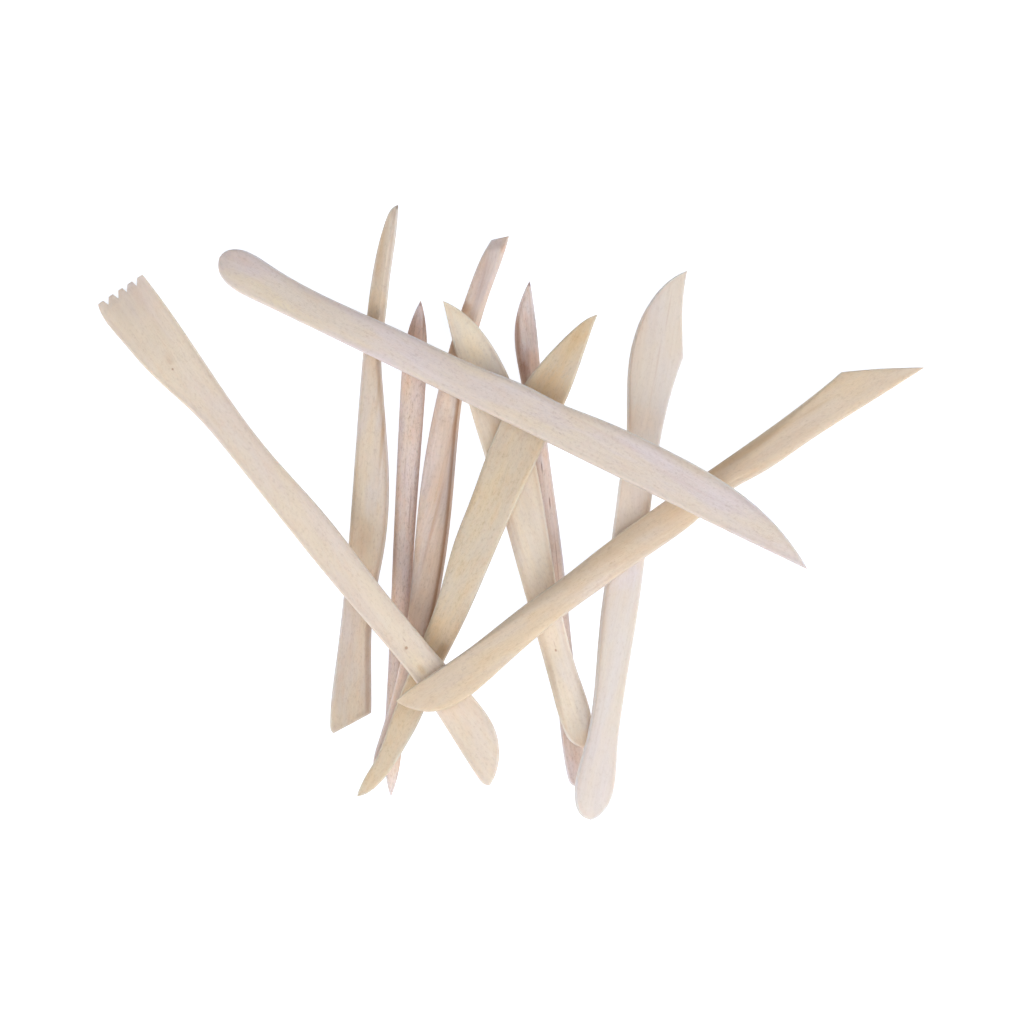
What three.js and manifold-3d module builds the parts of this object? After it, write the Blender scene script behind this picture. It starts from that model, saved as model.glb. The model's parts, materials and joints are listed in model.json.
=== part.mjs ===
// Set of ten wooden clay modelling tools lying in a loose crossed pile.
// Millimetres, +Z up. Origin: centre of the pile's plan outline, on the surface it lies on.
//
// Every tool is one solid carved from a single stick. It is lofted through
// cross-sections along its length. In a tool's own frame +X runs along the tool
// from its first end to its second end, +Y is across the blade and +Z is the
// thickness, with Z = 0 in the middle of the thickness.

import * as THREE from "three";
import { mergeVertices } from "three/addons/utils/BufferGeometryUtils.js";
import Module from "manifold-3d";

const wasm = await Module();
wasm.setup();

// ---------------------------------------------------------------- dimensions

const LONGEST_TOOL = 201.4;      // overall length of the longest tool, tip to tip
const FLAT_DEPTH = 2.65;          // half thickness of the one handle that has a planed flat underside
const DEFAULT_SHOULDER = 0.8;     // where a section without a bevel turns down, as a share of its half width
const WELD = 1e-3;                // vertices closer than this are one vertex

// Comb of the spatula: five teeth with four V notches between them.
const COMB_NOTCHES = [            // [edge of tooth x, y], [edge of next tooth x, y], [root of the notch x, y]
  [[-94.96, -6.73], [-94.65, -4.76], [-92.97, -6.13]],
  [[-94.48, -3.06], [-94.37, -1.26], [-92.65, -2.47]],
  [[-94.49, 0.19], [-94.38, 2.11], [-92.69, 0.54]],
  [[-94.33, 3.78], [-94.29, 5.60], [-92.44, 4.21]],
];
const NOTCH_OVERRUN = 1.35;       // the cutting wedge runs this many notch depths out past the teeth

// Cross-sections. Each row is
//   [x, slant, yLow, yHigh, T, e, p, bLow, bHigh]
//   x      place along the tool, measured on its centre line
//   slant  how far the section leans along the tool for each mm across it
//   yLow, yHigh   the two edges of the outline
//   T      half thickness in the middle of the section
//   e      half thickness left at the edges
//   p      fullness of the section: 2 is an ellipse, 4 and more is a flat with rounded edges
//   bLow, bHigh   width of the straight bevel along each edge, 0 for none
//
// Pose of each tool in the pile:
//   at     its middle point
//   yaw    heading of its +X, in radians from the row's +X
//   rise   slope along the tool: height gained for each mm forward
//   lean   slope across the tool: height gained for each mm to its left
const TOOLS = [
  {
    // ridged knife blade at the first end, flat-bottomed handle, slanting chisel cut at the other
    name: "D_slim_knife_chisel",
    color: 0xcfbeae, roughness: 0.66,
    flatUnderside: FLAT_DEPTH,
    at: [-41.177, 14.035, 2.650], yaw: -1.66055, rise: -0.00000, lean: -0.00000,
    sections: [
      [-78.65, 0, 0, 0, 0.4, 0.4, 6, 0, 0],
      [-78.33, 0, -0.69, 0.03, 0.44, 0.4, 6, 0.13, 0.06],
      [-77.81, 0, -1.41, 0.07, 0.52, 0.4, 6, 0.35, 0.17],
      [-76.45, 0, -2.44, 0.14, 0.7, 0.4, 6, 0.9, 0.44],
      [-74.56, 0, -3.18, 0.21, 0.94, 0.4, 6, 1.59, 0.78],
      [-71.21, 0, -3.99, 0.21, 1.27, 0.4, 6, 2.52, 1.25],
      [-66.39, 0, -4.88, 0.04, 1.56, 0.41, 6, 3.28, 1.73],
      [-61.15, 0, -5.56, -0.24, 1.79, 0.44, 6, 3.81, 2.07],
      [-55.49, 0, -6.04, -0.51, 1.99, 0.48, 6, 4.15, 2.15],
      [-48.99, 0, -6.35, -0.64, 2.18, 0.53, 6, 4.39, 2.2],
      [-44.27, 0, -6.47, -0.77, 2.35, 0.6, 5.8, 4.18, 2.15],
      [-37.04, 0, -6.58, -1.12, 2.62, 0.79, 4.61, 2.75, 1.83],
      [-32.01, 0, -6.61, -0.9, 2.76, 0.85, 3.96, 1.7, 1.62],
      [-25.62, 0, -6.59, -0.02, 2.88, 0.9, 3.4, 0.62, 1.4],
      [-13.26, 0, -6.45, 2.06, 2.88, 0.9, 3.4, 0.3, 1.35],
      [-0.89, 0, -6.22, 4.05, 2.88, 0.9, 3.4, 0.1, 1.32],
      [5.92, 0, -6.09, 4.85, 2.88, 0.9, 3.4, 0.04, 1.31],
      [12.52, 0, -5.98, 5.31, 2.88, 0.9, 3.4, 0.01, 1.3],
      [18.5, 0, -5.9, 5.42, 2.88, 0.9, 3.4, 0, 1.3],
      [24.36, 0, -5.84, 5.22, 2.87, 0.89, 3.43, 0, 1.34],
      [38.72, 0, -5.84, 3.79, 2.79, 0.85, 3.61, 0, 1.62],
      [43.12, 0, -5.89, 3.49, 2.74, 0.82, 3.67, 0, 1.7],
      [47.94, 0, -5.98, 3.45, 2.65, 0.8, 3.74, 0, 1.8],
      [53.39, 0, -6.12, 3.7, 2.54, 0.77, 3.79, 0, 1.89],
      [62.41, -0.236, -6.54, 4.4, 2.36, 0.72, 3.8, 0, 1.9],
      [71.73, -0.48, -6.73, 5.19, 2.13, 0.7, 3.8, 0, 1.9],
      [76.55, -0.607, -6.33, 5.52, 1.99, 0.7, 3.8, 0, 1.9],
      [77.6, -0.634, -5.95, 5.58, 1.95, 0.7, 3.8, 0, 1.9],
      [78.54, -0.659, -5.25, 5.63, 1.92, 0.7, 3.8, 0, 1.9],
    ],
  },
  {
    // round stick with a ridged point at the first end and a plain point at the other
    name: "E_twin_point_stylus",
    color: 0xc8b4a9, roughness: 0.72,
    at: [-31.871, -11.308, 2.930], yaw: -1.63105, rise: -0.00000, lean: -0.00000,
    sections: [
      [-74.93, 0, 0, 0, 0.35, 0.35, 3, 1, 1],
      [-72.43, 0, -1.14, 0.88, 0.72, 0.38, 3, 1.08, 1.04],
      [-69.84, 0, -2.09, 1.57, 1.08, 0.41, 3, 1.25, 1.13],
      [-67.04, 0, -2.89, 2.12, 1.42, 0.44, 2.87, 1.7, 1.52],
      [-64.14, 0, -3.5, 2.5, 1.74, 0.48, 2.67, 2.14, 1.94],
      [-61.44, 0, -3.92, 2.73, 2.04, 0.52, 2.52, 2.11, 1.93],
      [-57.75, 0, -4.28, 2.92, 2.43, 0.58, 2.3, 1.43, 1.37],
      [-54.15, 0, -4.46, 3.01, 2.69, 0.6, 2.15, 0.79, 0.8],
      [-49.95, 0, -4.52, 3.06, 2.9, 0.6, 2.02, 0.12, 0.12],
      [-47.96, 0, -4.51, 3.06, 2.93, 0.6, 2, 0, 0],
      [-36.77, 0, -4.37, 2.94, 2.93, 0.6, 2, 0, 0],
      [-25.58, 0, -4.23, 2.77, 2.93, 0.6, 2, 0, 0],
      [-14.39, 0, -4.07, 2.62, 2.93, 0.6, 2, 0, 0],
      [-3.2, 0, -3.89, 2.53, 2.93, 0.6, 2, 0, 0],
      [8.49, 0, -3.67, 2.56, 2.93, 0.6, 2, 0, 0],
      [23.48, 0, -3.37, 2.73, 2.93, 0.6, 2, 0, 0],
      [38.46, 0, -3.14, 2.86, 2.93, 0.6, 2, 0, 0],
      [47.45, 0, -3.08, 2.83, 2.93, 0.6, 2, 0, 0],
      [55.45, 0, -3.07, 2.69, 2.91, 0.59, 2, 0, 0],
      [58.14, 0, -3.02, 2.62, 2.82, 0.57, 2, 0, 0],
      [61.34, 0, -2.88, 2.49, 2.63, 0.52, 2, 0, 0],
      [63.94, 0, -2.66, 2.33, 2.44, 0.49, 2, 0, 0],
      [66.24, 0, -2.37, 2.1, 2.18, 0.46, 2, 0, 0],
      [68.73, 0, -1.92, 1.73, 1.8, 0.43, 2, 0, 0],
      [71.13, 0, -1.34, 1.23, 1.36, 0.39, 2, 0, 0],
      [72.83, 0, -0.83, 0.77, 0.93, 0.35, 2, 0, 0],
      [74.93, 0, 0, 0, 0.3, 0.3, 2, 0, 0],
    ],
  },
  {
    // slim stick, ridged spear point at the first end, rounded butt at the other
    name: "I_slim_spear_rod",
    color: 0xcbb8af, roughness: 0.7,
    at: [12.637, -6.871, 2.815], yaw: -1.47807, rise: -0.00113, lean: 0.02960,
    sections: [
      [-76.61, 0, 0, 0, 0.35, 0.35, 3, 0, 0],
      [-74.46, 0, -1.42, 0.2, 0.63, 0.37, 3, 0.32, 0.6],
      [-72.11, 0, -2.73, 0.39, 0.92, 0.39, 3, 0.62, 1.21],
      [-69.66, 0, -3.87, 0.54, 1.19, 0.41, 3, 0.88, 1.79],
      [-67.21, 0, -4.78, 0.65, 1.43, 0.42, 3, 1.1, 2.43],
      [-64.76, 0, -5.48, 0.74, 1.66, 0.43, 3, 1.3, 3.01],
      [-62.3, 0, -5.96, 0.79, 1.86, 0.45, 3, 1.45, 3.36],
      [-57.3, 0, -6.31, 0.83, 2.21, 0.47, 2.96, 1.66, 3.37],
      [-53.83, 0, -6.19, 0.82, 2.42, 0.49, 2.88, 1.76, 3.3],
      [-49.23, 0, -5.78, 0.78, 2.57, 0.51, 2.76, 1.79, 3.11],
      [-43.41, 0, -5.23, 0.71, 2.68, 0.53, 2.48, 1.59, 1.91],
      [-37.48, 0, -4.87, 0.68, 2.75, 0.55, 2.22, 1.24, 0.67],
      [-27.17, 0, -4.57, 0.86, 2.79, 0.55, 2.01, 0.12, 0.04],
      [-13.48, 0, -4.22, 1.43, 2.79, 0.55, 2, 0, 0],
      [0.21, 0, -3.7, 2.03, 2.79, 0.55, 2, 0, 0],
      [12.16, 0, -3.39, 2.34, 2.78, 0.55, 2, 0, 0],
      [26.56, 0, -3.33, 2.47, 2.77, 0.55, 2, 0, 0],
      [40.97, 0, -3.41, 2.67, 2.76, 0.55, 2, 0, 0],
      [54.86, 0, -3.41, 3.26, 2.73, 0.55, 2, 0, 0],
      [64.46, 0, -3.22, 3.62, 2.71, 0.55, 2, 0, 0],
      [69.26, 0, -2.94, 3.41, 2.57, 0.55, 2, 0, 0],
      [72.22, 0, -2.66, 3.03, 2.27, 0.55, 2, 0, 0],
      [73.55, 0, -2.49, 2.73, 2.02, 0.55, 2, 0, 0],
      [74.78, 0, -2.23, 2.22, 1.51, 0.53, 2, 0, 0],
      [75.7, 0, -1.74, 1.52, 1.03, 0.52, 2, 0, 0],
      [76.31, 0, -0.97, 0.7, 0.68, 0.51, 2, 0, 0],
      [76.62, 0, 0, 0, 0.5, 0.5, 2, 0, 0],
    ],
  },
  {
    // round-sided stick, skew chisel cut at the first end, thinned rounded end at the other
    name: "F_skew_chisel_tool",
    color: 0xcab5a7, roughness: 0.68,
    at: [-22.047, 1.711, 5.988], yaw: -1.80290, rise: 0.04933, lean: 0.04917,
    sections: [
      [-83.08, -0.485, -2.9, 2.16, 0.75, 0.6, 3.4, 0, 0.3],
      [-79.44, -0.378, -4.16, 2.03, 1.93, 0.78, 3.4, 0, 0.82],
      [-78.78, -0.359, -4.33, 1.98, 2.05, 0.8, 3.4, 0, 0.9],
      [-73.82, -0.213, -5.25, 1.44, 2.19, 0.86, 3.36, 0, 1.05],
      [-66.53, 0, -6.06, 0.51, 2.28, 0.9, 3.25, 0, 1.14],
      [-56.6, 0, -7.05, -0.24, 2.43, 0.9, 3.12, 0.07, 1.36],
      [-47.22, 0, -7.68, -0.89, 2.57, 0.9, 3.02, 0.3, 1.64],
      [-38.95, 0, -7.96, -0.74, 2.67, 0.9, 3, 0.43, 1.89],
      [-28.14, 0, -7.96, 0.25, 2.78, 0.93, 3, 0.51, 2.25],
      [-17.87, 0, -7.56, 1.62, 2.85, 0.95, 3, 0.59, 2.57],
      [-7.5, 0, -6.79, 3.18, 2.87, 0.95, 3, 0.74, 2.89],
      [4.08, 0, -5.47, 4.8, 2.88, 0.95, 3, 0.8, 2.98],
      [14.35, 0, -4, 5.89, 2.87, 0.94, 3, 0.77, 2.83],
      [24.28, 0, -2.54, 6.61, 2.85, 0.93, 3, 0.72, 2.57],
      [34.43, 0, -1.27, 7.04, 2.82, 0.91, 3, 0.66, 2.23],
      [42.26, 0, -0.58, 7.17, 2.79, 0.9, 3, 0.58, 1.96],
      [49.55, 0, -0.25, 7.14, 2.67, 0.87, 2.93, 0.37, 1.59],
      [56.17, 0, -0.25, 7.01, 2.46, 0.84, 2.84, 0.12, 1.19],
      [63.45, 0, -0.51, 6.71, 2.21, 0.8, 2.8, 0, 0.74],
      [67.53, 0, -0.75, 6.34, 2.06, 0.77, 2.8, 0, 0.43],
      [71.06, 0, -0.99, 5.75, 1.9, 0.74, 2.8, 0, 0.17],
      [75.03, 0, -1.29, 4.63, 1.66, 0.71, 2.8, 0, 0.01],
      [78.57, 0, -1.32, 3.06, 1.27, 0.66, 2.8, 0, 0],
      [80.66, 0, -0.86, 1.71, 0.93, 0.63, 2.8, 0, 0],
      [82.43, 0, 0.12, 0.12, 0.6, 0.6, 2.8, 0, 0],
    ],
  },
  {
    // spear-shaped flat blade at the first end, round handle, slanting cut at the other
    name: "H_spear_blade_skew",
    color: 0xdccbbb, roughness: 0.6,
    at: [0.740, -4.242, 8.393], yaw: -1.26447, rise: 0.00995, lean: -0.06609,
    sections: [
      [-70.58, 0, 0, 0, 0.45, 0.45, 3.8, 0, 0],
      [-69.26, 0, -0.1, 1.52, 0.56, 0.46, 3.8, 0, 0.2],
      [-67.75, 0, -0.22, 2.97, 0.68, 0.47, 3.8, 0, 0.42],
      [-66.16, 0, -0.35, 4.27, 0.8, 0.48, 3.8, 0, 0.62],
      [-64.37, 0, -0.48, 5.5, 0.91, 0.49, 3.8, 0, 0.77],
      [-62.39, 0, -0.63, 6.65, 1, 0.51, 3.8, 0, 0.81],
      [-60.33, 0, -0.78, 7.67, 1.07, 0.52, 3.8, 0, 0.84],
      [-55.62, 0, -1.09, 9.46, 1.2, 0.55, 3.8, 0, 0.88],
      [-50.36, 0, -1.41, 10.85, 1.33, 0.58, 3.8, 0, 0.9],
      [-44.52, 0, -1.71, 11.83, 1.51, 0.63, 3.76, 0.03, 0.87],
      [-37.85, 0, -1.96, 12.45, 1.74, 0.71, 3.54, 0.21, 0.7],
      [-30.8, 0, -2.1, 12.66, 1.98, 0.78, 3.27, 0.49, 0.47],
      [-21.77, 0, -2.11, 12.36, 2.26, 0.84, 3.07, 0.98, 0.23],
      [-11.8, 0, -2.08, 11.47, 2.53, 0.89, 2.93, 1.67, 0.02],
      [-2.11, 0, -2.25, 10.23, 2.68, 0.92, 2.86, 1.96, 0],
      [9.46, 0, -2.7, 8.5, 2.79, 0.94, 2.81, 2.16, 0],
      [21.02, 0, -3.11, 6.81, 2.82, 0.95, 2.8, 2.19, 0],
      [32.87, 0, -3.45, 5.49, 2.79, 0.95, 2.8, 2.11, 0],
      [43.12, 0, -3.8, 4.95, 2.73, 0.95, 2.8, 1.99, 0],
      [56.01, 0, -4.4, 5.2, 2.46, 0.92, 2.8, 1.63, 0],
      [60.33, 0, -4.45, 5, 2.32, 0.89, 2.8, 1.45, 0],
      [63.91, 0, -4.23, 4.32, 2.16, 0.85, 2.8, 1.27, 0],
      [65.5, 0, -3.96, 3.76, 2.04, 0.83, 2.8, 1.15, 0],
      [66.82, 0, -3.53, 3.12, 1.92, 0.8, 2.8, 1.02, 0],
      [67.67, 0, -3.07, 2.61, 1.77, 0.79, 2.79, 0.88, 0],
      [68.42, 0, -2.46, 2.07, 1.55, 0.77, 2.75, 0.7, 0],
      [69.55, 0, -1.1, 1.06, 1.11, 0.73, 2.67, 0.33, 0],
      [70.49, 0, 0, 0, 0.7, 0.7, 2.6, 0, 0],
    ],
  },
  {
    // broad flat leaf blade at the first end, rounded handle, curved knife at the other
    name: "G_leaf_blade_tool",
    color: 0xd3bfa8, roughness: 0.64,
    at: [-10.193, -13.391, 13.564], yaw: -2.03345, rise: 0.01529, lean: 0.05089,
    sections: [
      [-80.59, 0, 0, 0, 0.45, 0.45, 3.4, 0, 0],
      [-79.51, 0, -1.13, 0.11, 0.53, 0.46, 3.43, 0.09, 0.12],
      [-78.33, 0, -2.09, 0.25, 0.61, 0.46, 3.46, 0.18, 0.25],
      [-75.33, 0, -3.81, 0.63, 0.81, 0.48, 3.54, 0.39, 0.55],
      [-69.75, 0, -5.96, 1.4, 1.05, 0.53, 3.65, 0.56, 0.76],
      [-63.31, 0, -7.98, 2.26, 1.25, 0.6, 3.74, 0.65, 0.85],
      [-56.87, 0, -9.59, 2.92, 1.4, 0.68, 3.8, 0.7, 0.9],
      [-50.64, 0, -10.75, 3.2, 1.54, 0.74, 3.8, 0.7, 0.89],
      [-44.74, 0, -11.44, 3.17, 1.65, 0.8, 3.8, 0.7, 0.87],
      [-39.05, 0, -11.67, 3.15, 1.76, 0.86, 3.8, 0.7, 0.83],
      [-30.14, 0, -11.22, 3.42, 1.95, 0.97, 3.78, 0.66, 0.72],
      [-21.88, 0, -10.31, 3.6, 2.16, 1.09, 3.7, 0.48, 0.5],
      [-13.61, 0, -9.36, 3.81, 2.34, 1.19, 3.61, 0.31, 0.31],
      [-2.23, 0, -8.31, 4.36, 2.54, 1.3, 3.46, 0.15, 0.15],
      [2.81, 0, -7.55, 4.66, 2.62, 1.34, 3.38, 0.09, 0.08],
      [13.12, 0, -5.5, 5.19, 2.72, 1.4, 3.23, 0.01, 0.01],
      [23.1, 0, -4.12, 5.41, 2.71, 1.37, 3.12, 0, 0],
      [36.62, 0, -3.01, 5.39, 2.6, 1.22, 3, 0, 0],
      [40.81, 0, -2.71, 5.66, 2.55, 1.17, 3, 0, 0],
      [49.29, 0, -2.03, 6.6, 2.34, 1.04, 3, 0, 0],
      [54.76, 0, -1.44, 6.7, 2.16, 0.95, 3, 0, 0],
      [65.07, 0, -0.19, 6, 1.79, 0.78, 3.1, 0, 0],
      [69.14, 0, -0.19, 5.5, 1.59, 0.71, 3.17, 0, 0],
      [72.47, 0, -0.44, 4.81, 1.39, 0.65, 3.2, 0, 0],
      [75.26, 0, -0.59, 3.92, 1.14, 0.58, 3.2, 0, 0],
      [77.41, 0, -0.54, 2.87, 0.87, 0.53, 3.2, 0, 0],
      [79.13, 0, -0.31, 1.56, 0.63, 0.48, 3.2, 0, 0],
      [80.42, 0, 0, 0, 0.45, 0.45, 3.2, 0, 0],
    ],
  },
  {
    // broad curved knife with a shoulder at the first end, rounded paddle at the other
    name: "J_paddle_knife",
    color: 0xe1d3ca, roughness: 0.64,
    at: [38.371, -10.390, 7.844], yaw: -1.74497, rise: 0.08753, lean: -0.07800,
    sections: [
      [-84.61, 0, 0.25, 0.25, 0.45, 0.45, 3.6, 0, 0],
      [-82.7, 0, -2.5, 0.2, 0.58, 0.46, 3.6, 0.23, 0],
      [-80.24, 0, -4.99, 0.22, 0.74, 0.48, 3.6, 0.51, 0],
      [-77.32, 0, -7.12, 0.37, 0.9, 0.49, 3.6, 0.75, 0],
      [-73.85, 0, -8.98, 0.7, 1.04, 0.51, 3.6, 0.88, 0],
      [-69.81, 0, -10.54, 1.27, 1.17, 0.52, 3.6, 0.99, 0],
      [-65.55, 0, -11.66, 2.04, 1.29, 0.53, 3.6, 1.07, 0],
      [-58.6, 0, -12.52, 3.56, 1.46, 0.56, 3.6, 1.1, 0],
      [-56.47, 0, -12.57, 3.18, 1.5, 0.57, 3.58, 1.1, 0],
      [-50.31, 0, -12.22, 2.2, 1.63, 0.62, 3.52, 1.1, 0],
      [-42.24, 0, -11.03, 1.37, 1.79, 0.69, 3.42, 1.1, 0],
      [-32.71, 0, -9.5, 0.95, 2.04, 0.79, 3.22, 1.03, 0],
      [-26.09, 0, -9.02, 0.95, 2.22, 0.86, 3.06, 0.94, 0],
      [-17.24, 0, -9.16, 1.2, 2.4, 0.92, 3, 0.9, 0],
      [-6.25, 0, -8.68, 1.77, 2.58, 0.98, 3, 0.9, 0],
      [4.73, 0, -8.24, 2.4, 2.64, 1, 3, 0.9, 0],
      [19.19, 0, -7.97, 2.96, 2.64, 1, 3, 0.93, 0],
      [31.97, 0, -7.05, 3.12, 2.64, 1, 3, 0.97, 0],
      [44.75, 0, -5.86, 3.22, 2.64, 1, 3, 1, 0],
      [51.7, 0, -5.49, 3.38, 2.61, 0.99, 2.97, 0.93, 0],
      [59.21, 0, -5.62, 3.8, 2.47, 0.95, 2.86, 0.68, 0],
      [70.09, 0, -6.65, 4.94, 2.16, 0.87, 2.8, 0.27, 0],
      [74.8, 0, -6.62, 4.9, 1.94, 0.82, 2.8, 0.07, 0],
      [78.5, 0, -5.95, 4.05, 1.67, 0.8, 2.8, 0, 0],
      [80.06, 0, -5.38, 3.34, 1.48, 0.8, 2.8, 0, 0],
      [81.41, 0, -4.6, 2.46, 1.24, 0.8, 2.8, 0, 0],
      [82.31, 0, -3.78, 1.62, 1.06, 0.8, 2.8, 0, 0],
      [82.98, 0, -2.78, 0.77, 0.92, 0.8, 2.8, 0, 0],
      [83.54, 0, -0.25, -0.25, 0.8, 0.8, 2.8, 0, 0],
    ],
  },
  {
    // flat spatula: five-tooth comb at the first end, rounded knife at the other
    name: "B_comb_spatula",
    color: 0xdfd2c1, roughness: 0.66,
    notches: COMB_NOTCHES,
    at: [-61.671, -8.041, 13.130], yaw: -0.93079, rise: 0.12837, lean: 0.01141,
    sections: [
      [-94.52, 0.053, -8.68, 7.48, 1, 0.75, 4.5, 0, 1.2],
      [-91.65, 0.045, -9.55, 7.59, 1.06, 0.79, 4.5, 0, 1.24],
      [-88.29, 0.035, -9.86, 7.66, 1.14, 0.84, 4.5, 0, 1.27],
      [-73.69, 0, -8.87, 7.45, 1.47, 1, 4.42, 0, 1.3],
      [-66.58, 0, -7.96, 7.16, 1.62, 1.08, 4.29, 0, 1.3],
      [-53.62, 0, -5.41, 6.57, 1.91, 1.26, 4.09, 0, 1.25],
      [-48.38, 0, -4.55, 6.39, 2.02, 1.36, 4, 0, 1.17],
      [-42.64, 0, -3.96, 6.27, 2.15, 1.47, 3.91, 0, 1.06],
      [-33.66, 0, -3.45, 6.34, 2.32, 1.61, 3.79, 0, 0.88],
      [-24.81, 0, -3.05, 6.82, 2.49, 1.76, 3.71, 0, 0.65],
      [-12.96, 0, -2.59, 7.95, 2.66, 1.89, 3.62, 0, 0.34],
      [-0.98, 0, -2.13, 8.93, 2.72, 1.9, 3.52, 0, 0.17],
      [14.73, 0, -1.37, 9.33, 2.76, 1.9, 3.42, 0, 0.02],
      [29.2, 0, -0.37, 9.62, 2.73, 1.86, 3.4, 0, 0],
      [39.8, 0, 0.42, 10.14, 2.61, 1.71, 3.4, 0, 0],
      [50.52, 0, 1.01, 10.88, 2.44, 1.51, 3.4, 0, 0],
      [60.87, 0, 0.97, 11.66, 2.23, 1.31, 3.25, 0, 0],
      [70.35, 0, 0.41, 12.34, 1.96, 1.08, 3.03, 0, 0],
      [74.72, 0, 0.08, 12.4, 1.82, 0.98, 3, 0, 0],
      [77.83, 0, -0.17, 12.12, 1.72, 0.91, 3, 0, 0],
      [80.58, 0, -0.37, 11.5, 1.62, 0.84, 3, 0, 0],
      [83.2, 0, -0.55, 10.5, 1.51, 0.78, 3, 0, 0],
      [85.69, 0, -0.7, 9.1, 1.38, 0.72, 3, 0, 0],
      [87.94, 0, -0.82, 7.34, 1.22, 0.68, 3, 0, 0],
      [89.81, 0, -0.84, 5.35, 1, 0.65, 3, 0, 0],
      [91.43, 0, -0.44, 2.96, 0.77, 0.62, 3, 0, 0],
      [92.05, 0, -0.01, 1.74, 0.68, 0.61, 3, 0, 0],
      [92.55, 0, 0.56, 0.56, 0.6, 0.6, 3, 0, 0],
    ],
  },
  {
    // round-bodied handle, skew-cut point at the first end, rounded paddle with a low point at the other
    name: "C_skew_point_knife",
    color: 0xdac5ae, roughness: 0.6,
    at: [44.419, -7.032, 14.295], yaw: -2.57884, rise: 0.14565, lean: 0.07800,
    sections: [
      [-95.94, 0, 0.35, 0.35, 0.5, 0.5, 3.2, 0, 0],
      [-84.82, 0, -6.24, 0.52, 1.29, 0.62, 3.21, 0.33, 0],
      [-73.57, 0, -11.96, 0.44, 1.76, 0.77, 3.39, 0.46, 0],
      [-63.45, 0, -10.74, 0.38, 2.16, 0.89, 3.35, 0.86, 0],
      [-52.33, 0, -9.76, 0.56, 2.51, 1, 3.24, 1.55, 0],
      [-39.18, 0, -8.97, 1.02, 2.8, 1.1, 3.1, 2.39, 0],
      [-28.18, 0, -8.51, 0.37, 2.92, 1.15, 3.05, 3.19, 0],
      [-24.39, 0, -8.37, 0.39, 2.96, 1.17, 3.03, 3.44, 0],
      [-20.22, 0, -8.21, 0.88, 2.98, 1.19, 3.02, 3.63, 0],
      [-11.24, 0, -7.88, 2.49, 3.02, 1.22, 2.97, 3.69, 0],
      [-6.69, 0, -7.69, 2.99, 3.03, 1.24, 2.94, 3.66, 0],
      [10.63, 0, -6.72, 3.69, 3.06, 1.29, 2.82, 3.43, 0],
      [25.55, 0, -5.33, 4.37, 3.03, 1.28, 2.8, 3.1, 0],
      [32.12, 0, -4.74, 4.75, 2.96, 1.23, 2.8, 2.86, 0],
      [41.6, 0, -4.23, 5.5, 2.82, 1.14, 2.8, 2.43, 0],
      [51.46, 0, -3.45, 6.72, 2.62, 1.05, 2.83, 1.89, 0],
      [62.97, 0, -2.27, 8.63, 2.23, 0.94, 2.98, 1.06, 0],
      [70.17, 0, -1.77, 9.79, 2, 0.87, 3, 0.62, 0],
      [76.88, 0, -1.53, 10.3, 1.8, 0.79, 3, 0.22, 0],
      [79.78, 0, -1.47, 10.14, 1.7, 0.76, 3, 0.09, 0],
      [82.44, 0, -1.41, 9.67, 1.59, 0.72, 3, 0.01, 0],
      [84.84, 0, -1.36, 8.87, 1.46, 0.69, 3, 0, 0],
      [86.99, 0, -1.29, 7.76, 1.3, 0.66, 3, 0, 0],
      [89.01, 0, -1.15, 6.23, 1.1, 0.63, 3, 0, 0],
      [90.91, 0, -0.92, 4.25, 0.89, 0.6, 3, 0, 0],
      [92.42, 0, -0.65, 2.12, 0.71, 0.57, 3, 0, 0],
      [93.69, 0, -0.34, -0.34, 0.55, 0.55, 3, 0, 0],
    ],
  },
  {
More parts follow.
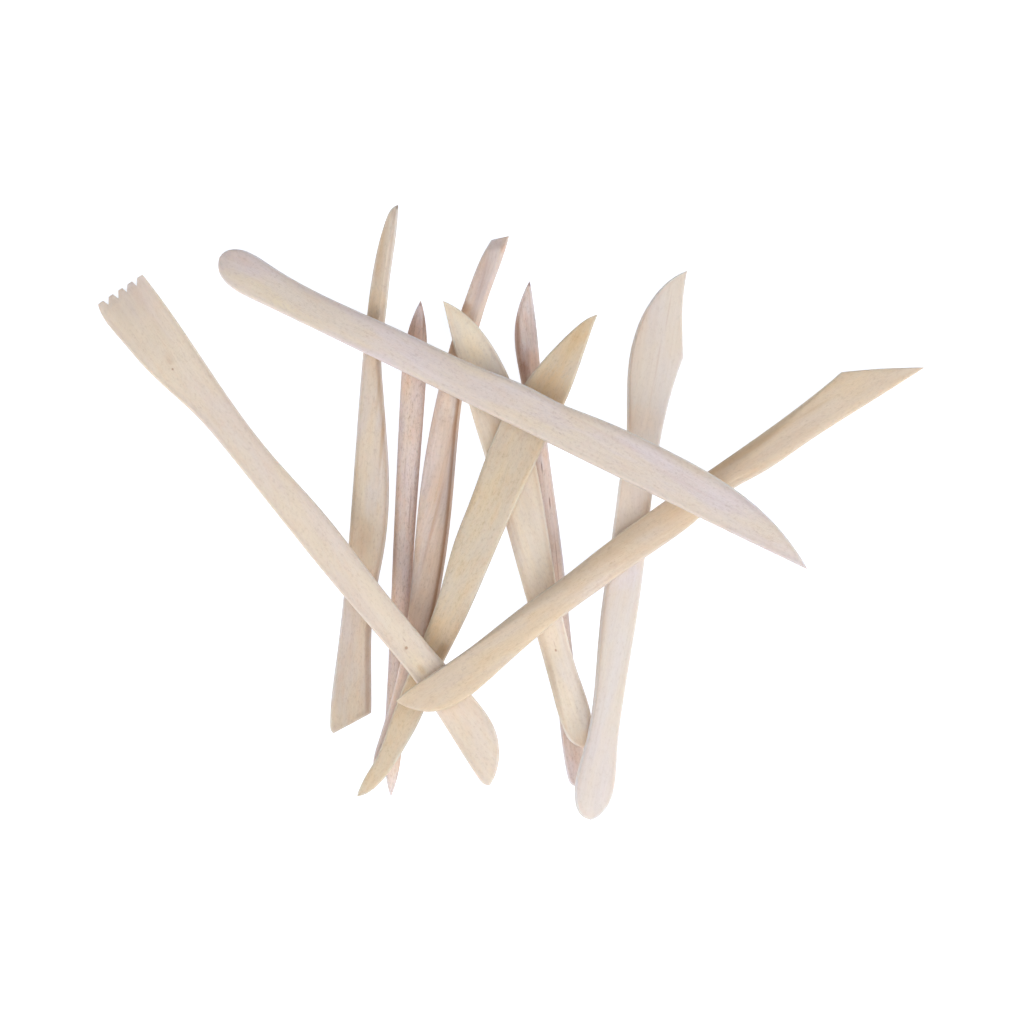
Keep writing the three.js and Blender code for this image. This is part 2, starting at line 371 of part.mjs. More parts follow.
    // longest tool of the set: rounded thumb-shaped smoother at the first end, bevelled knife at the other
    name: "A_long_round_end_knife",
    color: 0xd9cdc3, roughness: 0.62,
    at: [0.915, 28.273, 17.585], yaw: -0.48228, rise: 0.16116, lean: -0.03710,
    sections: [
      [-102.62, 0, 1.46, 1.46, 1, 1, 2.2, 0, 0],
      [-101.68, 0, -1.12, 4.1, 1.25, 1, 2.2, 0, 0],
      [-100.61, 0, -2.49, 5.21, 1.51, 1, 2.2, 0, 0],
      [-99.26, 0, -3.53, 6.04, 1.72, 1, 2.2, 0, 0],
      [-97.79, 0, -4.25, 6.59, 1.88, 1, 2.2, 0, 0],
      [-96.04, 0, -4.78, 6.94, 2.03, 1, 2.2, 0, 0],
      [-91.48, 0, -5.27, 6.94, 2.29, 1, 2.2, 0, 0],
      [-78.99, 0, -4.92, 5.89, 2.64, 1.1, 2.2, 0, 0],
      [-72.68, 0, -4.71, 5.77, 2.73, 1.12, 2.21, 0, 0],
      [-65.56, 0, -4.5, 5.91, 2.8, 1.15, 2.23, 0, 0],
      [-54.55, 0, -4.18, 6.45, 2.88, 1.19, 2.29, 0, 0],
      [-43.4, 0, -3.88, 7.06, 2.92, 1.25, 2.38, 0, 0.07],
      [-32.12, 0, -3.6, 7.44, 2.95, 1.34, 2.54, 0, 0.33],
      [-20.84, 0, -3.33, 7.9, 2.97, 1.46, 2.75, 0, 0.7],
      [-1.5, 0, -2.86, 9.55, 2.9, 1.9, 3.21, 0, 1.81],
      [11.52, 0, -2.54, 9.69, 2.81, 1.9, 3.35, 0, 2.03],
      [24.68, 0, -2.22, 11.01, 2.71, 1.9, 3.4, 0, 2.1],
      [32.2, 0, -2.06, 11.53, 2.65, 1.87, 3.4, 0, 2.1],
      [41.06, 0, -1.89, 11.83, 2.57, 1.8, 3.4, 0, 2.1],
      [51.14, 0, -1.7, 11.89, 2.45, 1.69, 3.4, 0, 2.1],
      [59.06, 0, -1.54, 11.66, 2.34, 1.58, 3.4, 0, 2.08],
      [65.91, 0, -1.4, 11.13, 2.21, 1.45, 3.4, 0, 1.97],
      [72.08, 0, -1.25, 10.26, 2.07, 1.31, 3.4, 0, 1.85],
      [77.86, 0, -1.1, 9.03, 1.91, 1.17, 3.36, 0, 1.74],
      [83.36, 0, -0.93, 7.37, 1.74, 1.03, 3.17, 0, 1.61],
      [88.74, 0, -0.75, 5.23, 1.51, 0.87, 3.02, 0, 1.47],
      [93.97, 0, -0.56, 2.61, 1.11, 0.67, 3, 0, 1.26],
      [98.81, 0, -0.35, -0.35, 0.45, 0.45, 3, 0, 1],
    ],
  },
];

// ------------------------------------------------------------------ geometry

// Places across a section, from -1 at yLow to +1 at yHigh. The outer pair sits
// on the bevel ridges where there are bevels, so that a bevel is one plane.
function stepsAcross(halfWidth, bevelLow, bevelHigh) {
  if (halfWidth < 0.02) return [-1, -0.8, -0.4, 0, 0.4, 0.8, 1];
  let low = bevelLow > 0.02 ? -Math.min(0.97, Math.max(-0.8, 1 - bevelLow / halfWidth)) : -DEFAULT_SHOULDER;
  let high = bevelHigh > 0.02 ? Math.min(0.97, Math.max(-0.8, 1 - bevelHigh / halfWidth)) : DEFAULT_SHOULDER;
  const least = 0.2;
  if (high - low < least) {
    const middle = (high + low) / 2;
    low = middle - least / 2;
    high = middle + least / 2;
  }
  const at = (u) => low + (high - low) * u;
  return [-1, low, at(0.24), at(0.5), at(0.76), high, 1];
}

// Height of the upper surface above the middle plane at place s of a section.
function heightAt(s, halfWidth, T, e, p, bevelLow, bevelHigh) {
  const crown = e + (T - e) * Math.pow(Math.max(0, 1 - Math.pow(Math.abs(s), p)), 1 / p);
  let z = crown;
  if (bevelHigh > 0.02) z = Math.min(z, e + (T - e) * Math.min(1, ((1 - s) * halfWidth) / bevelHigh));
  if (bevelLow > 0.02) z = Math.min(z, e + (T - e) * Math.min(1, ((1 + s) * halfWidth) / bevelLow));
  return z;
}

// One ring of points round a section: the upper surface, then the lower one.
function ringOf([x, slant, yLow, yHigh, T, e, p, bevelLow, bevelHigh], flatUnderside) {
  const halfWidth = (yHigh - yLow) / 2;
  const middle = (yHigh + yLow) / 2;
  const upper = [];
  const lower = [];
  for (const s of stepsAcross(halfWidth, bevelLow, bevelHigh)) {
    const y = middle + halfWidth * s;
    const z = halfWidth < 0.02 ? e : heightAt(s, halfWidth, T, e, p, bevelLow, bevelHigh);
    const zUnder = flatUnderside === undefined ? z : Math.min(z, flatUnderside);
    upper.push([x + slant * y, y, z]);
    lower.push([x + slant * y, y, -zUnder]);
  }
  return [...upper, ...lower.reverse()];
}

// Joins the rings into one closed body. A ring that has closed up to a point
// leaves no faces of its own, and a ring with width is closed by a flat end.
function loft(sections, flatUnderside) {
  const rings = sections.map((row) => ringOf(row, flatUnderside));
  const count = rings[0].length;
  const points = [];
  const index = new Map();
  const ids = rings.map((ring) =>
    ring.map((point) => {
      const key = point.map((v) => Math.round(v / WELD)).join(",");
      if (!index.has(key)) {
        index.set(key, points.length);
        points.push(point);
      }
      return index.get(key);
    }),
  );
  const faces = [];
  const face = (a, b, c) => {
    if (a !== b && b !== c && c !== a) faces.push([a, b, c]);
  };
  const quad = (a, b, c, d) => {
    // split along the shorter diagonal
    const gap = (m, n) => Math.hypot(...points[m].map((v, i) => v - points[n][i]));
    if (gap(a, c) <= gap(b, d)) {
      face(a, b, c);
      face(a, c, d);
    } else {
      face(a, b, d);
      face(b, c, d);
    }
  };
  for (let r = 0; r + 1 < ids.length; r++) {
    for (let j = 0; j < count; j++) {
      const k = (j + 1) % count;
      quad(ids[r][j], ids[r][k], ids[r + 1][k], ids[r + 1][j]);
    }
  }
  const half = count / 2;
  const close = (ring, flip) => {
    for (let j = 0; j + 1 < half; j++) {
      const a = ring[j];
      const b = ring[j + 1];
      const c = ring[count - 2 - j];
      const d = ring[count - 1 - j];
      if (flip) quad(a, d, c, b);
      else quad(a, b, c, d);
    }
  };
  close(ids[0], true);
  close(ids[ids.length - 1], false);

  // outward faces: turn them all round if the enclosed volume comes out negative
  const volume = faces.reduce((sum, [a, b, c]) => {
    const [p, q, r] = [points[a], points[b], points[c]].map((v) => new THREE.Vector3(...v));
    return sum + p.dot(q.cross(r)) / 6;
  }, 0);
  const ordered = volume < 0 ? faces.map(([a, b, c]) => [a, c, b]) : faces;

  const geometry = new THREE.BufferGeometry();
  geometry.setAttribute("position", new THREE.Float32BufferAttribute(points.flat(), 3));
  geometry.setIndex(ordered.flat());
  return geometry;
}

function toSolid(geometry) {
  const bare = geometry.clone();
  bare.deleteAttribute("normal");
  bare.deleteAttribute("uv");
  const merged = mergeVertices(bare, WELD);
  return new wasm.Manifold(
    new wasm.Mesh({
      numProp: 3,
      vertProperties: Float32Array.from(merged.attributes.position.array),
      triVerts: Uint32Array.from(merged.index.array),
    }),
  );
}

function toGeometry(solid) {
  const mesh = solid.getMesh();
  const geometry = new THREE.BufferGeometry();
  const positions = [];
  for (let i = 0; i < mesh.vertProperties.length; i += mesh.numProp) {
    positions.push(mesh.vertProperties[i], mesh.vertProperties[i + 1], mesh.vertProperties[i + 2]);
  }
  geometry.setAttribute("position", new THREE.Float32BufferAttribute(positions, 3));
  geometry.setIndex(Array.from(mesh.triVerts));
  return geometry;
}

// A wedge that clears one V notch: from the root of the notch out past the teeth.
function notchWedge([edgeA, edgeB, root]) {
  const out = (edge) => [
    root[0] + (edge[0] - root[0]) * NOTCH_OVERRUN,
    root[1] + (edge[1] - root[1]) * NOTCH_OVERRUN,
  ];
  const outline = new THREE.Shape();
  outline.moveTo(...root);
  outline.lineTo(...out(edgeA));
  outline.lineTo(...out(edgeB));
  outline.closePath();
  const wedge = new THREE.ExtrudeGeometry(outline, { depth: 8, bevelEnabled: false });
  wedge.translate(0, 0, -4);
  return wedge;
}

function toolGeometry(tool) {
  let geometry = loft(tool.sections, tool.flatUnderside);
  if (tool.notches) {
    let solid = toSolid(geometry);
    for (const notch of tool.notches) solid = solid.subtract(toSolid(notchWedge(notch)));
    geometry = toGeometry(solid);
  }
  geometry.computeVertexNormals();
  return geometry;
}

// Turns a tool to its heading and slopes and sets it at its place in the pile.
function placeInPile(mesh, tool) {
  const c = Math.cos(tool.yaw);
  const s = Math.sin(tool.yaw);
  const along = new THREE.Vector3(c, s, tool.rise).normalize();
  const across = new THREE.Vector3(-s, c, tool.lean);
  across.addScaledVector(along, -across.dot(along)).normalize();
  const up = new THREE.Vector3().crossVectors(along, across);
  mesh.quaternion.setFromRotationMatrix(new THREE.Matrix4().makeBasis(along, across, up));
  mesh.position.set(...tool.at);
}

// ------------------------------------------------------------------ assembly

const pile = new THREE.Group();
pile.name = "clay_modelling_tool_set";
pile.userData = { longestTool: LONGEST_TOOL };

for (const tool of TOOLS) {
  const mesh = new THREE.Mesh(
    toolGeometry(tool),
    new THREE.MeshStandardMaterial({ color: tool.color, roughness: tool.roughness, metalness: 0 }),
  );
  mesh.name = tool.name;
  placeInPile(mesh, tool);
  pile.add(mesh);
}

export default pile;
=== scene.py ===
import json
import math

import bpy
import numpy as np
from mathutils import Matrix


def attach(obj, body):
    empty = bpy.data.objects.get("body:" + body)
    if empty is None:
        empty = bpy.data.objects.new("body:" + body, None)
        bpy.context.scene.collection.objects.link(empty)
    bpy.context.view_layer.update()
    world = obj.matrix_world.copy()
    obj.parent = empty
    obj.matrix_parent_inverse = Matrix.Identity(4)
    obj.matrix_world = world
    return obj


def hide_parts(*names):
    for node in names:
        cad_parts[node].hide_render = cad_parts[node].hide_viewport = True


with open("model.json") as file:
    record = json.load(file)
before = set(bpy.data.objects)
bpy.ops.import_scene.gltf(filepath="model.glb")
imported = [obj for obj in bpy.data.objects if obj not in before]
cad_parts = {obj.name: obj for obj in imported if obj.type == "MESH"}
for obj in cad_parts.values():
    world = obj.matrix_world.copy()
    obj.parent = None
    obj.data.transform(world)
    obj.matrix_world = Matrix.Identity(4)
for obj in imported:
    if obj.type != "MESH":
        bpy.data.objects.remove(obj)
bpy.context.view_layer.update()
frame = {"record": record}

# ---------------------------------------------------------------- what is built
# Ten carved wooden clay modelling tools in a loose crossed pile. Each one is a
# fine mesh lofted from its section table and set at its pose in the pile, which
# are the same as in the CAD model. Tables are in millimetres in the tool's own
# frame: X along the tool, Y across it, Z its thickness.
# Row: x, slant, yLow, yHigh, T, e, p, bevelLow, bevelHigh
#   T half thickness mid section, e half thickness at the edge, p fullness of the
#   section, bevels measured in from each edge.

TABLES = {
    "D": {
        "at": (-41.177, 14.035, 2.650), "yaw": -1.660553, "rise": -0.000000, "lean": -0.000000,
        "blunt": (False, True),
        "rows": [
            (-78.65, 0, 0, 0, 0.4, 0.4, 6, 0, 0), (-78.44, 0, -0.49, 0.02, 0.43, 0.4, 6, 0.09, 0.04),
            (-78.33, 0, -0.69, 0.03, 0.44, 0.4, 6, 0.13, 0.06), (-78.12, 0, -1.01, 0.04, 0.47, 0.4, 6, 0.22, 0.11),
            (-77.81, 0, -1.41, 0.07, 0.52, 0.4, 6, 0.35, 0.17), (-77.7, 0, -1.52, 0.07, 0.53, 0.4, 6, 0.39, 0.19),
            (-77.18, 0, -1.98, 0.1, 0.6, 0.4, 6, 0.6, 0.29), (-76.55, 0, -2.38, 0.14, 0.69, 0.4, 6, 0.86, 0.42),
            (-76.45, 0, -2.44, 0.14, 0.7, 0.4, 6, 0.9, 0.44), (-76.03, 0, -2.65, 0.16, 0.76, 0.4, 6, 1.06, 0.51),
            (-74.56, 0, -3.18, 0.21, 0.94, 0.4, 6, 1.59, 0.78), (-73.41, 0, -3.49, 0.23, 1.07, 0.4, 6, 1.96, 0.96),
            (-71.21, 0, -3.99, 0.21, 1.27, 0.4, 6, 2.52, 1.25), (-70.79, 0, -4.08, 0.21, 1.3, 0.4, 6, 2.6, 1.3),
            (-68.17, 0, -4.58, 0.12, 1.47, 0.4, 6, 3.03, 1.56), (-66.39, 0, -4.88, 0.04, 1.56, 0.41, 6, 3.28, 1.73),
            (-65.55, 0, -5.01, 0, 1.6, 0.42, 6, 3.38, 1.8), (-62.93, 0, -5.36, -0.14, 1.72, 0.43, 6, 3.66, 1.98),
            (-61.15, 0, -5.56, -0.24, 1.79, 0.44, 6, 3.81, 2.07), (-60.31, 0, -5.65, -0.29, 1.82, 0.45, 6, 3.87, 2.09),
            (-57.69, 0, -5.88, -0.42, 1.92, 0.46, 6, 4.03, 2.13), (-55.49, 0, -6.04, -0.51, 1.99, 0.48, 6, 4.15, 2.15),
            (-55.07, 0, -6.06, -0.52, 2, 0.48, 6, 4.17, 2.16), (-52.45, 0, -6.21, -0.58, 2.08, 0.5, 6, 4.29, 2.18),
            (-49.83, 0, -6.32, -0.62, 2.16, 0.52, 6, 4.37, 2.19), (-48.99, 0, -6.35, -0.64, 2.18, 0.53, 6, 4.39, 2.2),
            (-47.21, 0, -6.4, -0.68, 2.24, 0.55, 6, 4.4, 2.2), (-44.59, 0, -6.46, -0.75, 2.34, 0.6, 5.84, 4.22, 2.16),
            (-44.27, 0, -6.47, -0.77, 2.35, 0.6, 5.8, 4.18, 2.15), (-41.97, 0, -6.52, -0.88, 2.44, 0.67, 5.45, 3.79, 2.06),
            (-39.35, 0, -6.55, -1.04, 2.54, 0.74, 4.98, 3.23, 1.94), (-37.04, 0, -6.58, -1.12, 2.62, 0.79, 4.61, 2.75, 1.83),
            (-36.73, 0, -6.58, -1.13, 2.62, 0.79, 4.57, 2.69, 1.82), (-34.11, 0, -6.6, -1.06, 2.7, 0.83, 4.24, 2.18, 1.71),
            (-32.01, 0, -6.61, -0.9, 2.76, 0.85, 3.96, 1.7, 1.62), (-31.49, 0, -6.61, -0.85, 2.78, 0.86, 3.89, 1.58, 1.59),
            (-28.87, 0, -6.6, -0.52, 2.84, 0.89, 3.59, 1.03, 1.48), (-26.25, 0, -6.59, -0.12, 2.88, 0.9, 3.42, 0.66, 1.41),
            (-25.62, 0, -6.59, -0.02, 2.88, 0.9, 3.4, 0.62, 1.4), (-23.63, 0, -6.58, 0.32, 2.88, 0.9, 3.4, 0.55, 1.39),
            (-21.01, 0, -6.55, 0.77, 2.88, 0.9, 3.4, 0.48, 1.38), (-18.39, 0, -6.52, 1.2, 2.88, 0.9, 3.4, 0.41, 1.37),
            (-15.77, 0, -6.48, 1.64, 2.88, 0.9, 3.4, 0.35, 1.36), (-13.26, 0, -6.45, 2.06, 2.88, 0.9, 3.4, 0.3, 1.35),
            (-13.15, 0, -6.44, 2.08, 2.88, 0.9, 3.4, 0.29, 1.35), (-10.53, 0, -6.4, 2.53, 2.88, 0.9, 3.4, 0.24, 1.34),
            (-7.91, 0, -6.35, 2.97, 2.88, 0.9, 3.4, 0.2, 1.33), (-5.29, 0, -6.3, 3.39, 2.88, 0.9, 3.4, 0.16, 1.33),
            (-2.67, 0, -6.25, 3.8, 2.88, 0.9, 3.4, 0.12, 1.32), (-0.89, 0, -6.22, 4.05, 2.88, 0.9, 3.4, 0.1, 1.32),
            (-0.05, 0, -6.21, 4.17, 2.88, 0.9, 3.4, 0.1, 1.31), (2.57, 0, -6.16, 4.5, 2.88, 0.9, 3.4, 0.07, 1.31),
            (5.19, 0, -6.11, 4.78, 2.88, 0.9, 3.4, 0.05, 1.31), (5.92, 0, -6.09, 4.85, 2.88, 0.9, 3.4, 0.04, 1.31),
            (7.81, 0, -6.06, 5.02, 2.88, 0.9, 3.4, 0.03, 1.3), (10.43, 0, -6.01, 5.2, 2.88, 0.9, 3.4, 0.02, 1.3),
            (12.52, 0, -5.98, 5.31, 2.88, 0.9, 3.4, 0.01, 1.3), (13.05, 0, -5.97, 5.33, 2.88, 0.9, 3.4, 0.01, 1.3),
            (15.67, 0, -5.94, 5.4, 2.88, 0.9, 3.4, 0, 1.3), (18.29, 0, -5.9, 5.42, 2.88, 0.9, 3.4, 0, 1.3),
            (18.5, 0, -5.9, 5.42, 2.88, 0.9, 3.4, 0, 1.3), (20.91, 0, -5.87, 5.37, 2.88, 0.9, 3.4, 0, 1.31),
            (23.53, 0, -5.85, 5.27, 2.87, 0.9, 3.42, 0, 1.33), (24.36, 0, -5.84, 5.22, 2.87, 0.89, 3.43, 0, 1.34),
            (26.15, 0, -5.83, 5.1, 2.87, 0.89, 3.45, 0, 1.37), (28.77, 0, -5.82, 4.87, 2.85, 0.88, 3.48, 0, 1.42),
            (31.39, 0, -5.82, 4.59, 2.84, 0.87, 3.52, 0, 1.48), (34.01, 0, -5.82, 4.29, 2.82, 0.86, 3.56, 0, 1.53),
            (36.63, 0, -5.83, 4, 2.81, 0.85, 3.59, 0, 1.58), (38.72, 0, -5.84, 3.79, 2.79, 0.85, 3.61, 0, 1.62),
            (39.25, 0, -5.85, 3.74, 2.79, 0.84, 3.62, 0, 1.63), (41.87, 0, -5.88, 3.55, 2.76, 0.83, 3.65, 0, 1.68),
            (43.12, 0, -5.89, 3.49, 2.74, 0.82, 3.67, 0, 1.7), (44.49, 0, -5.91, 3.45, 2.72, 0.82, 3.69, 0, 1.73),
            (47.11, 0, -5.96, 3.44, 2.67, 0.8, 3.73, 0, 1.79), (47.94, 0, -5.98, 3.45, 2.65, 0.8, 3.74, 0, 1.8),
            (49.73, 0, -6.02, 3.5, 2.62, 0.79, 3.76, 0, 1.84), (52.34, 0, -6.09, 3.63, 2.56, 0.77, 3.78, 0, 1.87),
            (53.39, 0, -6.12, 3.7, 2.54, 0.77, 3.79, 0, 1.89), (54.97, -0.041, -6.18, 3.8, 2.51, 0.76, 3.8, 0, 1.9),
            (57.59, -0.11, -6.29, 4, 2.46, 0.74, 3.8, 0, 1.9), (60.2, -0.178, -6.42, 4.21, 2.41, 0.73, 3.8, 0, 1.9),
            (62.41, -0.236, -6.54, 4.4, 2.36, 0.72, 3.8, 0, 1.9), (62.83, -0.247, -6.56, 4.44, 2.35, 0.72, 3.8, 0, 1.9),
            (65.44, -0.316, -6.68, 4.67, 2.29, 0.71, 3.8, 0, 1.9), (68.06, -0.384, -6.76, 4.9, 2.23, 0.7, 3.8, 0, 1.9),
            (70.68, -0.453, -6.76, 5.11, 2.16, 0.7, 3.8, 0, 1.9), (71.73, -0.48, -6.73, 5.19, 2.13, 0.7, 3.8, 0, 1.9),
            (73.3, -0.521, -6.66, 5.31, 2.09, 0.7, 3.8, 0, 1.9), (75.92, -0.59, -6.43, 5.48, 2.01, 0.7, 3.8, 0, 1.9),
            (76.45, -0.604, -6.35, 5.51, 1.99, 0.7, 3.8, 0, 1.9), (76.55, -0.607, -6.33, 5.52, 1.99, 0.7, 3.8, 0, 1.9),
            (77.08, -0.62, -6.18, 5.55, 1.97, 0.7, 3.8, 0, 1.9), (77.6, -0.634, -5.95, 5.58, 1.95, 0.7, 3.8, 0, 1.9),
            (78.02, -0.645, -5.68, 5.6, 1.94, 0.7, 3.8, 0, 1.9), (78.33, -0.653, -5.44, 5.62, 1.93, 0.7, 3.8, 0, 1.9),
            (78.54, -0.659, -5.25, 5.63, 1.92, 0.7, 3.8, 0, 1.9),
        ],
    },
    "E": {
        "at": (-31.871, -11.308, 2.930), "yaw": -1.631054, "rise": -0.000000, "lean": -0.000000,
        "blunt": (False, False),
        "rows": [
            (-74.93, 0, 0, 0, 0.35, 0.35, 3, 1, 1), (-74.73, 0, -0.1, 0.08, 0.38, 0.35, 3, 1, 1),
            (-74.43, 0, -0.25, 0.19, 0.43, 0.35, 3, 1.01, 1), (-74.03, 0, -0.44, 0.34, 0.49, 0.36, 3, 1.02, 1),
            (-73.53, 0, -0.67, 0.52, 0.56, 0.36, 3, 1.03, 1.01), (-72.93, 0, -0.93, 0.72, 0.65, 0.37, 3, 1.06, 1.02),
            (-72.43, 0, -1.14, 0.88, 0.72, 0.38, 3, 1.08, 1.04), (-69.94, 0, -2.06, 1.55, 1.06, 0.41, 3, 1.24, 1.13),
            (-69.84, 0, -2.09, 1.57, 1.08, 0.41, 3, 1.25, 1.13), (-67.44, 0, -2.79, 2.05, 1.37, 0.44, 2.9, 1.62, 1.46),
            (-67.04, 0, -2.89, 2.12, 1.42, 0.44, 2.87, 1.7, 1.52), (-64.94, 0, -3.35, 2.41, 1.65, 0.47, 2.73, 2.05, 1.86),
            (-64.14, 0, -3.5, 2.5, 1.74, 0.48, 2.67, 2.14, 1.94), (-62.44, 0, -3.78, 2.66, 1.92, 0.51, 2.57, 2.19, 1.99),
            (-61.44, 0, -3.92, 2.73, 2.04, 0.52, 2.52, 2.11, 1.93), (-59.95, 0, -4.09, 2.82, 2.2, 0.55, 2.43, 1.88, 1.74),
            (-57.75, 0, -4.28, 2.92, 2.43, 0.58, 2.3, 1.43, 1.37), (-57.45, 0, -4.3, 2.93, 2.46, 0.59, 2.29, 1.37, 1.32),
            (-54.95, 0, -4.44, 2.99, 2.64, 0.6, 2.18, 0.92, 0.93), (-54.15, 0, -4.46, 3.01, 2.69, 0.6, 2.15, 0.79, 0.8),
            (-52.45, 0, -4.5, 3.04, 2.79, 0.6, 2.09, 0.49, 0.5), (-49.95, 0, -4.52, 3.06, 2.9, 0.6, 2.02, 0.12, 0.12),
            (-47.96, 0, -4.51, 3.06, 2.93, 0.6, 2, 0, 0), (-47.46, 0, -4.51, 3.06, 2.93, 0.6, 2, 0, 0),
            (-44.96, 0, -4.48, 3.04, 2.93, 0.6, 2, 0, 0), (-42.46, 0, -4.45, 3.02, 2.93, 0.6, 2, 0, 0),
            (-39.96, 0, -4.42, 2.98, 2.93, 0.6, 2, 0, 0), (-37.47, 0, -4.38, 2.95, 2.93, 0.6, 2, 0, 0),
            (-36.77, 0, -4.37, 2.94, 2.93, 0.6, 2, 0, 0), (-34.97, 0, -4.35, 2.91, 2.93, 0.6, 2, 0, 0),
            (-32.47, 0, -4.32, 2.87, 2.93, 0.6, 2, 0, 0), (-29.97, 0, -4.29, 2.83, 2.93, 0.6, 2, 0, 0),
            (-27.48, 0, -4.25, 2.8, 2.93, 0.6, 2, 0, 0), (-25.58, 0, -4.23, 2.77, 2.93, 0.6, 2, 0, 0),
            (-24.98, 0, -4.22, 2.76, 2.93, 0.6, 2, 0, 0), (-22.48, 0, -4.19, 2.72, 2.93, 0.6, 2, 0, 0),
            (-19.98, 0, -4.15, 2.69, 2.93, 0.6, 2, 0, 0), (-17.48, 0, -4.12, 2.65, 2.93, 0.6, 2, 0, 0),
            (-14.99, 0, -4.08, 2.62, 2.93, 0.6, 2, 0, 0), (-14.39, 0, -4.07, 2.62, 2.93, 0.6, 2, 0, 0),
            (-12.49, 0, -4.04, 2.6, 2.93, 0.6, 2, 0, 0), (-9.99, 0, -4, 2.57, 2.93, 0.6, 2, 0, 0),
            (-7.5, 0, -3.97, 2.56, 2.93, 0.6, 2, 0, 0), (-5, 0, -3.92, 2.54, 2.93, 0.6, 2, 0, 0),
            (-3.2, 0, -3.89, 2.53, 2.93, 0.6, 2, 0, 0), (-2.5, 0, -3.88, 2.53, 2.93, 0.6, 2, 0, 0),
            (0, 0, -3.84, 2.53, 2.93, 0.6, 2, 0, 0), (2.5, 0, -3.79, 2.53, 2.93, 0.6, 2, 0, 0),
            (4.99, 0, -3.74, 2.54, 2.93, 0.6, 2, 0, 0), (7.49, 0, -3.69, 2.55, 2.93, 0.6, 2, 0, 0),
            (8.49, 0, -3.67, 2.56, 2.93, 0.6, 2, 0, 0), (9.99, 0, -3.64, 2.57, 2.93, 0.6, 2, 0, 0),
            (12.49, 0, -3.59, 2.6, 2.93, 0.6, 2, 0, 0), (14.98, 0, -3.54, 2.62, 2.93, 0.6, 2, 0, 0),
            (17.48, 0, -3.49, 2.65, 2.93, 0.6, 2, 0, 0), (19.98, 0, -3.44, 2.68, 2.93, 0.6, 2, 0, 0),
            (22.48, 0, -3.39, 2.71, 2.93, 0.6, 2, 0, 0), (23.48, 0, -3.37, 2.73, 2.93, 0.6, 2, 0, 0),
            (24.98, 0, -3.34, 2.74, 2.93, 0.6, 2, 0, 0), (27.47, 0, -3.3, 2.77, 2.93, 0.6, 2, 0, 0),
            (29.97, 0, -3.26, 2.8, 2.93, 0.6, 2, 0, 0), (32.47, 0, -3.22, 2.82, 2.93, 0.6, 2, 0, 0),
            (34.97, 0, -3.18, 2.84, 2.93, 0.6, 2, 0, 0), (37.46, 0, -3.15, 2.85, 2.93, 0.6, 2, 0, 0),
            (38.46, 0, -3.14, 2.86, 2.93, 0.6, 2, 0, 0), (39.96, 0, -3.12, 2.86, 2.93, 0.6, 2, 0, 0),
            (42.46, 0, -3.1, 2.86, 2.93, 0.6, 2, 0, 0), (44.96, 0, -3.09, 2.85, 2.93, 0.6, 2, 0, 0),
            (47.45, 0, -3.08, 2.83, 2.93, 0.6, 2, 0, 0), (49.95, 0, -3.07, 2.8, 2.93, 0.6, 2, 0, 0),
            (52.45, 0, -3.08, 2.76, 2.93, 0.6, 2, 0, 0), (54.95, 0, -3.07, 2.71, 2.92, 0.6, 2, 0, 0),
            (55.45, 0, -3.07, 2.69, 2.91, 0.59, 2, 0, 0), (57.44, 0, -3.04, 2.64, 2.85, 0.58, 2, 0, 0),
            (58.14, 0, -3.02, 2.62, 2.82, 0.57, 2, 0, 0), (59.94, 0, -2.95, 2.56, 2.72, 0.54, 2, 0, 0),
            (61.34, 0, -2.88, 2.49, 2.63, 0.52, 2, 0, 0), (62.44, 0, -2.79, 2.43, 2.56, 0.51, 2, 0, 0),
            (63.94, 0, -2.66, 2.33, 2.44, 0.49, 2, 0, 0), (64.94, 0, -2.54, 2.24, 2.34, 0.48, 2, 0, 0),
            (66.24, 0, -2.37, 2.1, 2.18, 0.46, 2, 0, 0), (67.44, 0, -2.17, 1.94, 2.01, 0.45, 2, 0, 0),
            (68.73, 0, -1.92, 1.73, 1.8, 0.43, 2, 0, 0), (69.93, 0, -1.65, 1.5, 1.59, 0.41, 2, 0, 0),
            (71.13, 0, -1.34, 1.23, 1.36, 0.39, 2, 0, 0), (72.43, 0, -0.96, 0.89, 1.04, 0.36, 2, 0, 0),
            (72.83, 0, -0.83, 0.77, 0.93, 0.35, 2, 0, 0), (72.93, 0, -0.8, 0.74, 0.9, 0.35, 2, 0, 0),
            (73.53, 0, -0.59, 0.55, 0.73, 0.34, 2, 0, 0), (74.03, 0, -0.41, 0.39, 0.58, 0.32, 2, 0, 0),
            (74.43, 0, -0.26, 0.24, 0.46, 0.31, 2, 0, 0), (74.73, 0, -0.14, 0.14, 0.36, 0.3, 2, 0, 0),
            (74.93, 0, 0, 0, 0.3, 0.3, 2, 0, 0),
        ],
    },
    "I": {
        "at": (12.637, -6.871, 2.815), "yaw": -1.478067, "rise": -0.001132, "lean": 0.029603,
        "blunt": (False, False),
        "rows": [
            (-76.61, 0, 0, 0, 0.35, 0.35, 3, 0, 0), (-76.4, 0, -0.15, 0.02, 0.38, 0.35, 3, 0.03, 0.06),
            (-76.09, 0, -0.36, 0.05, 0.42, 0.35, 3, 0.08, 0.15), (-75.69, 0, -0.64, 0.09, 0.47, 0.36, 3, 0.14, 0.26),
            (-75.18, 0, -0.97, 0.14, 0.54, 0.36, 3, 0.21, 0.4), (-74.56, 0, -1.36, 0.19, 0.62, 0.37, 3, 0.3, 0.57),
            (-74.46, 0, -1.42, 0.2, 0.63, 0.37, 3, 0.32, 0.6), (-74.05, 0, -1.67, 0.24, 0.68, 0.37, 3, 0.37, 0.71),
            (-72.11, 0, -2.73, 0.39, 0.92, 0.39, 3, 0.62, 1.21), (-71.5, 0, -3.04, 0.43, 0.99, 0.39, 3, 0.69, 1.36),
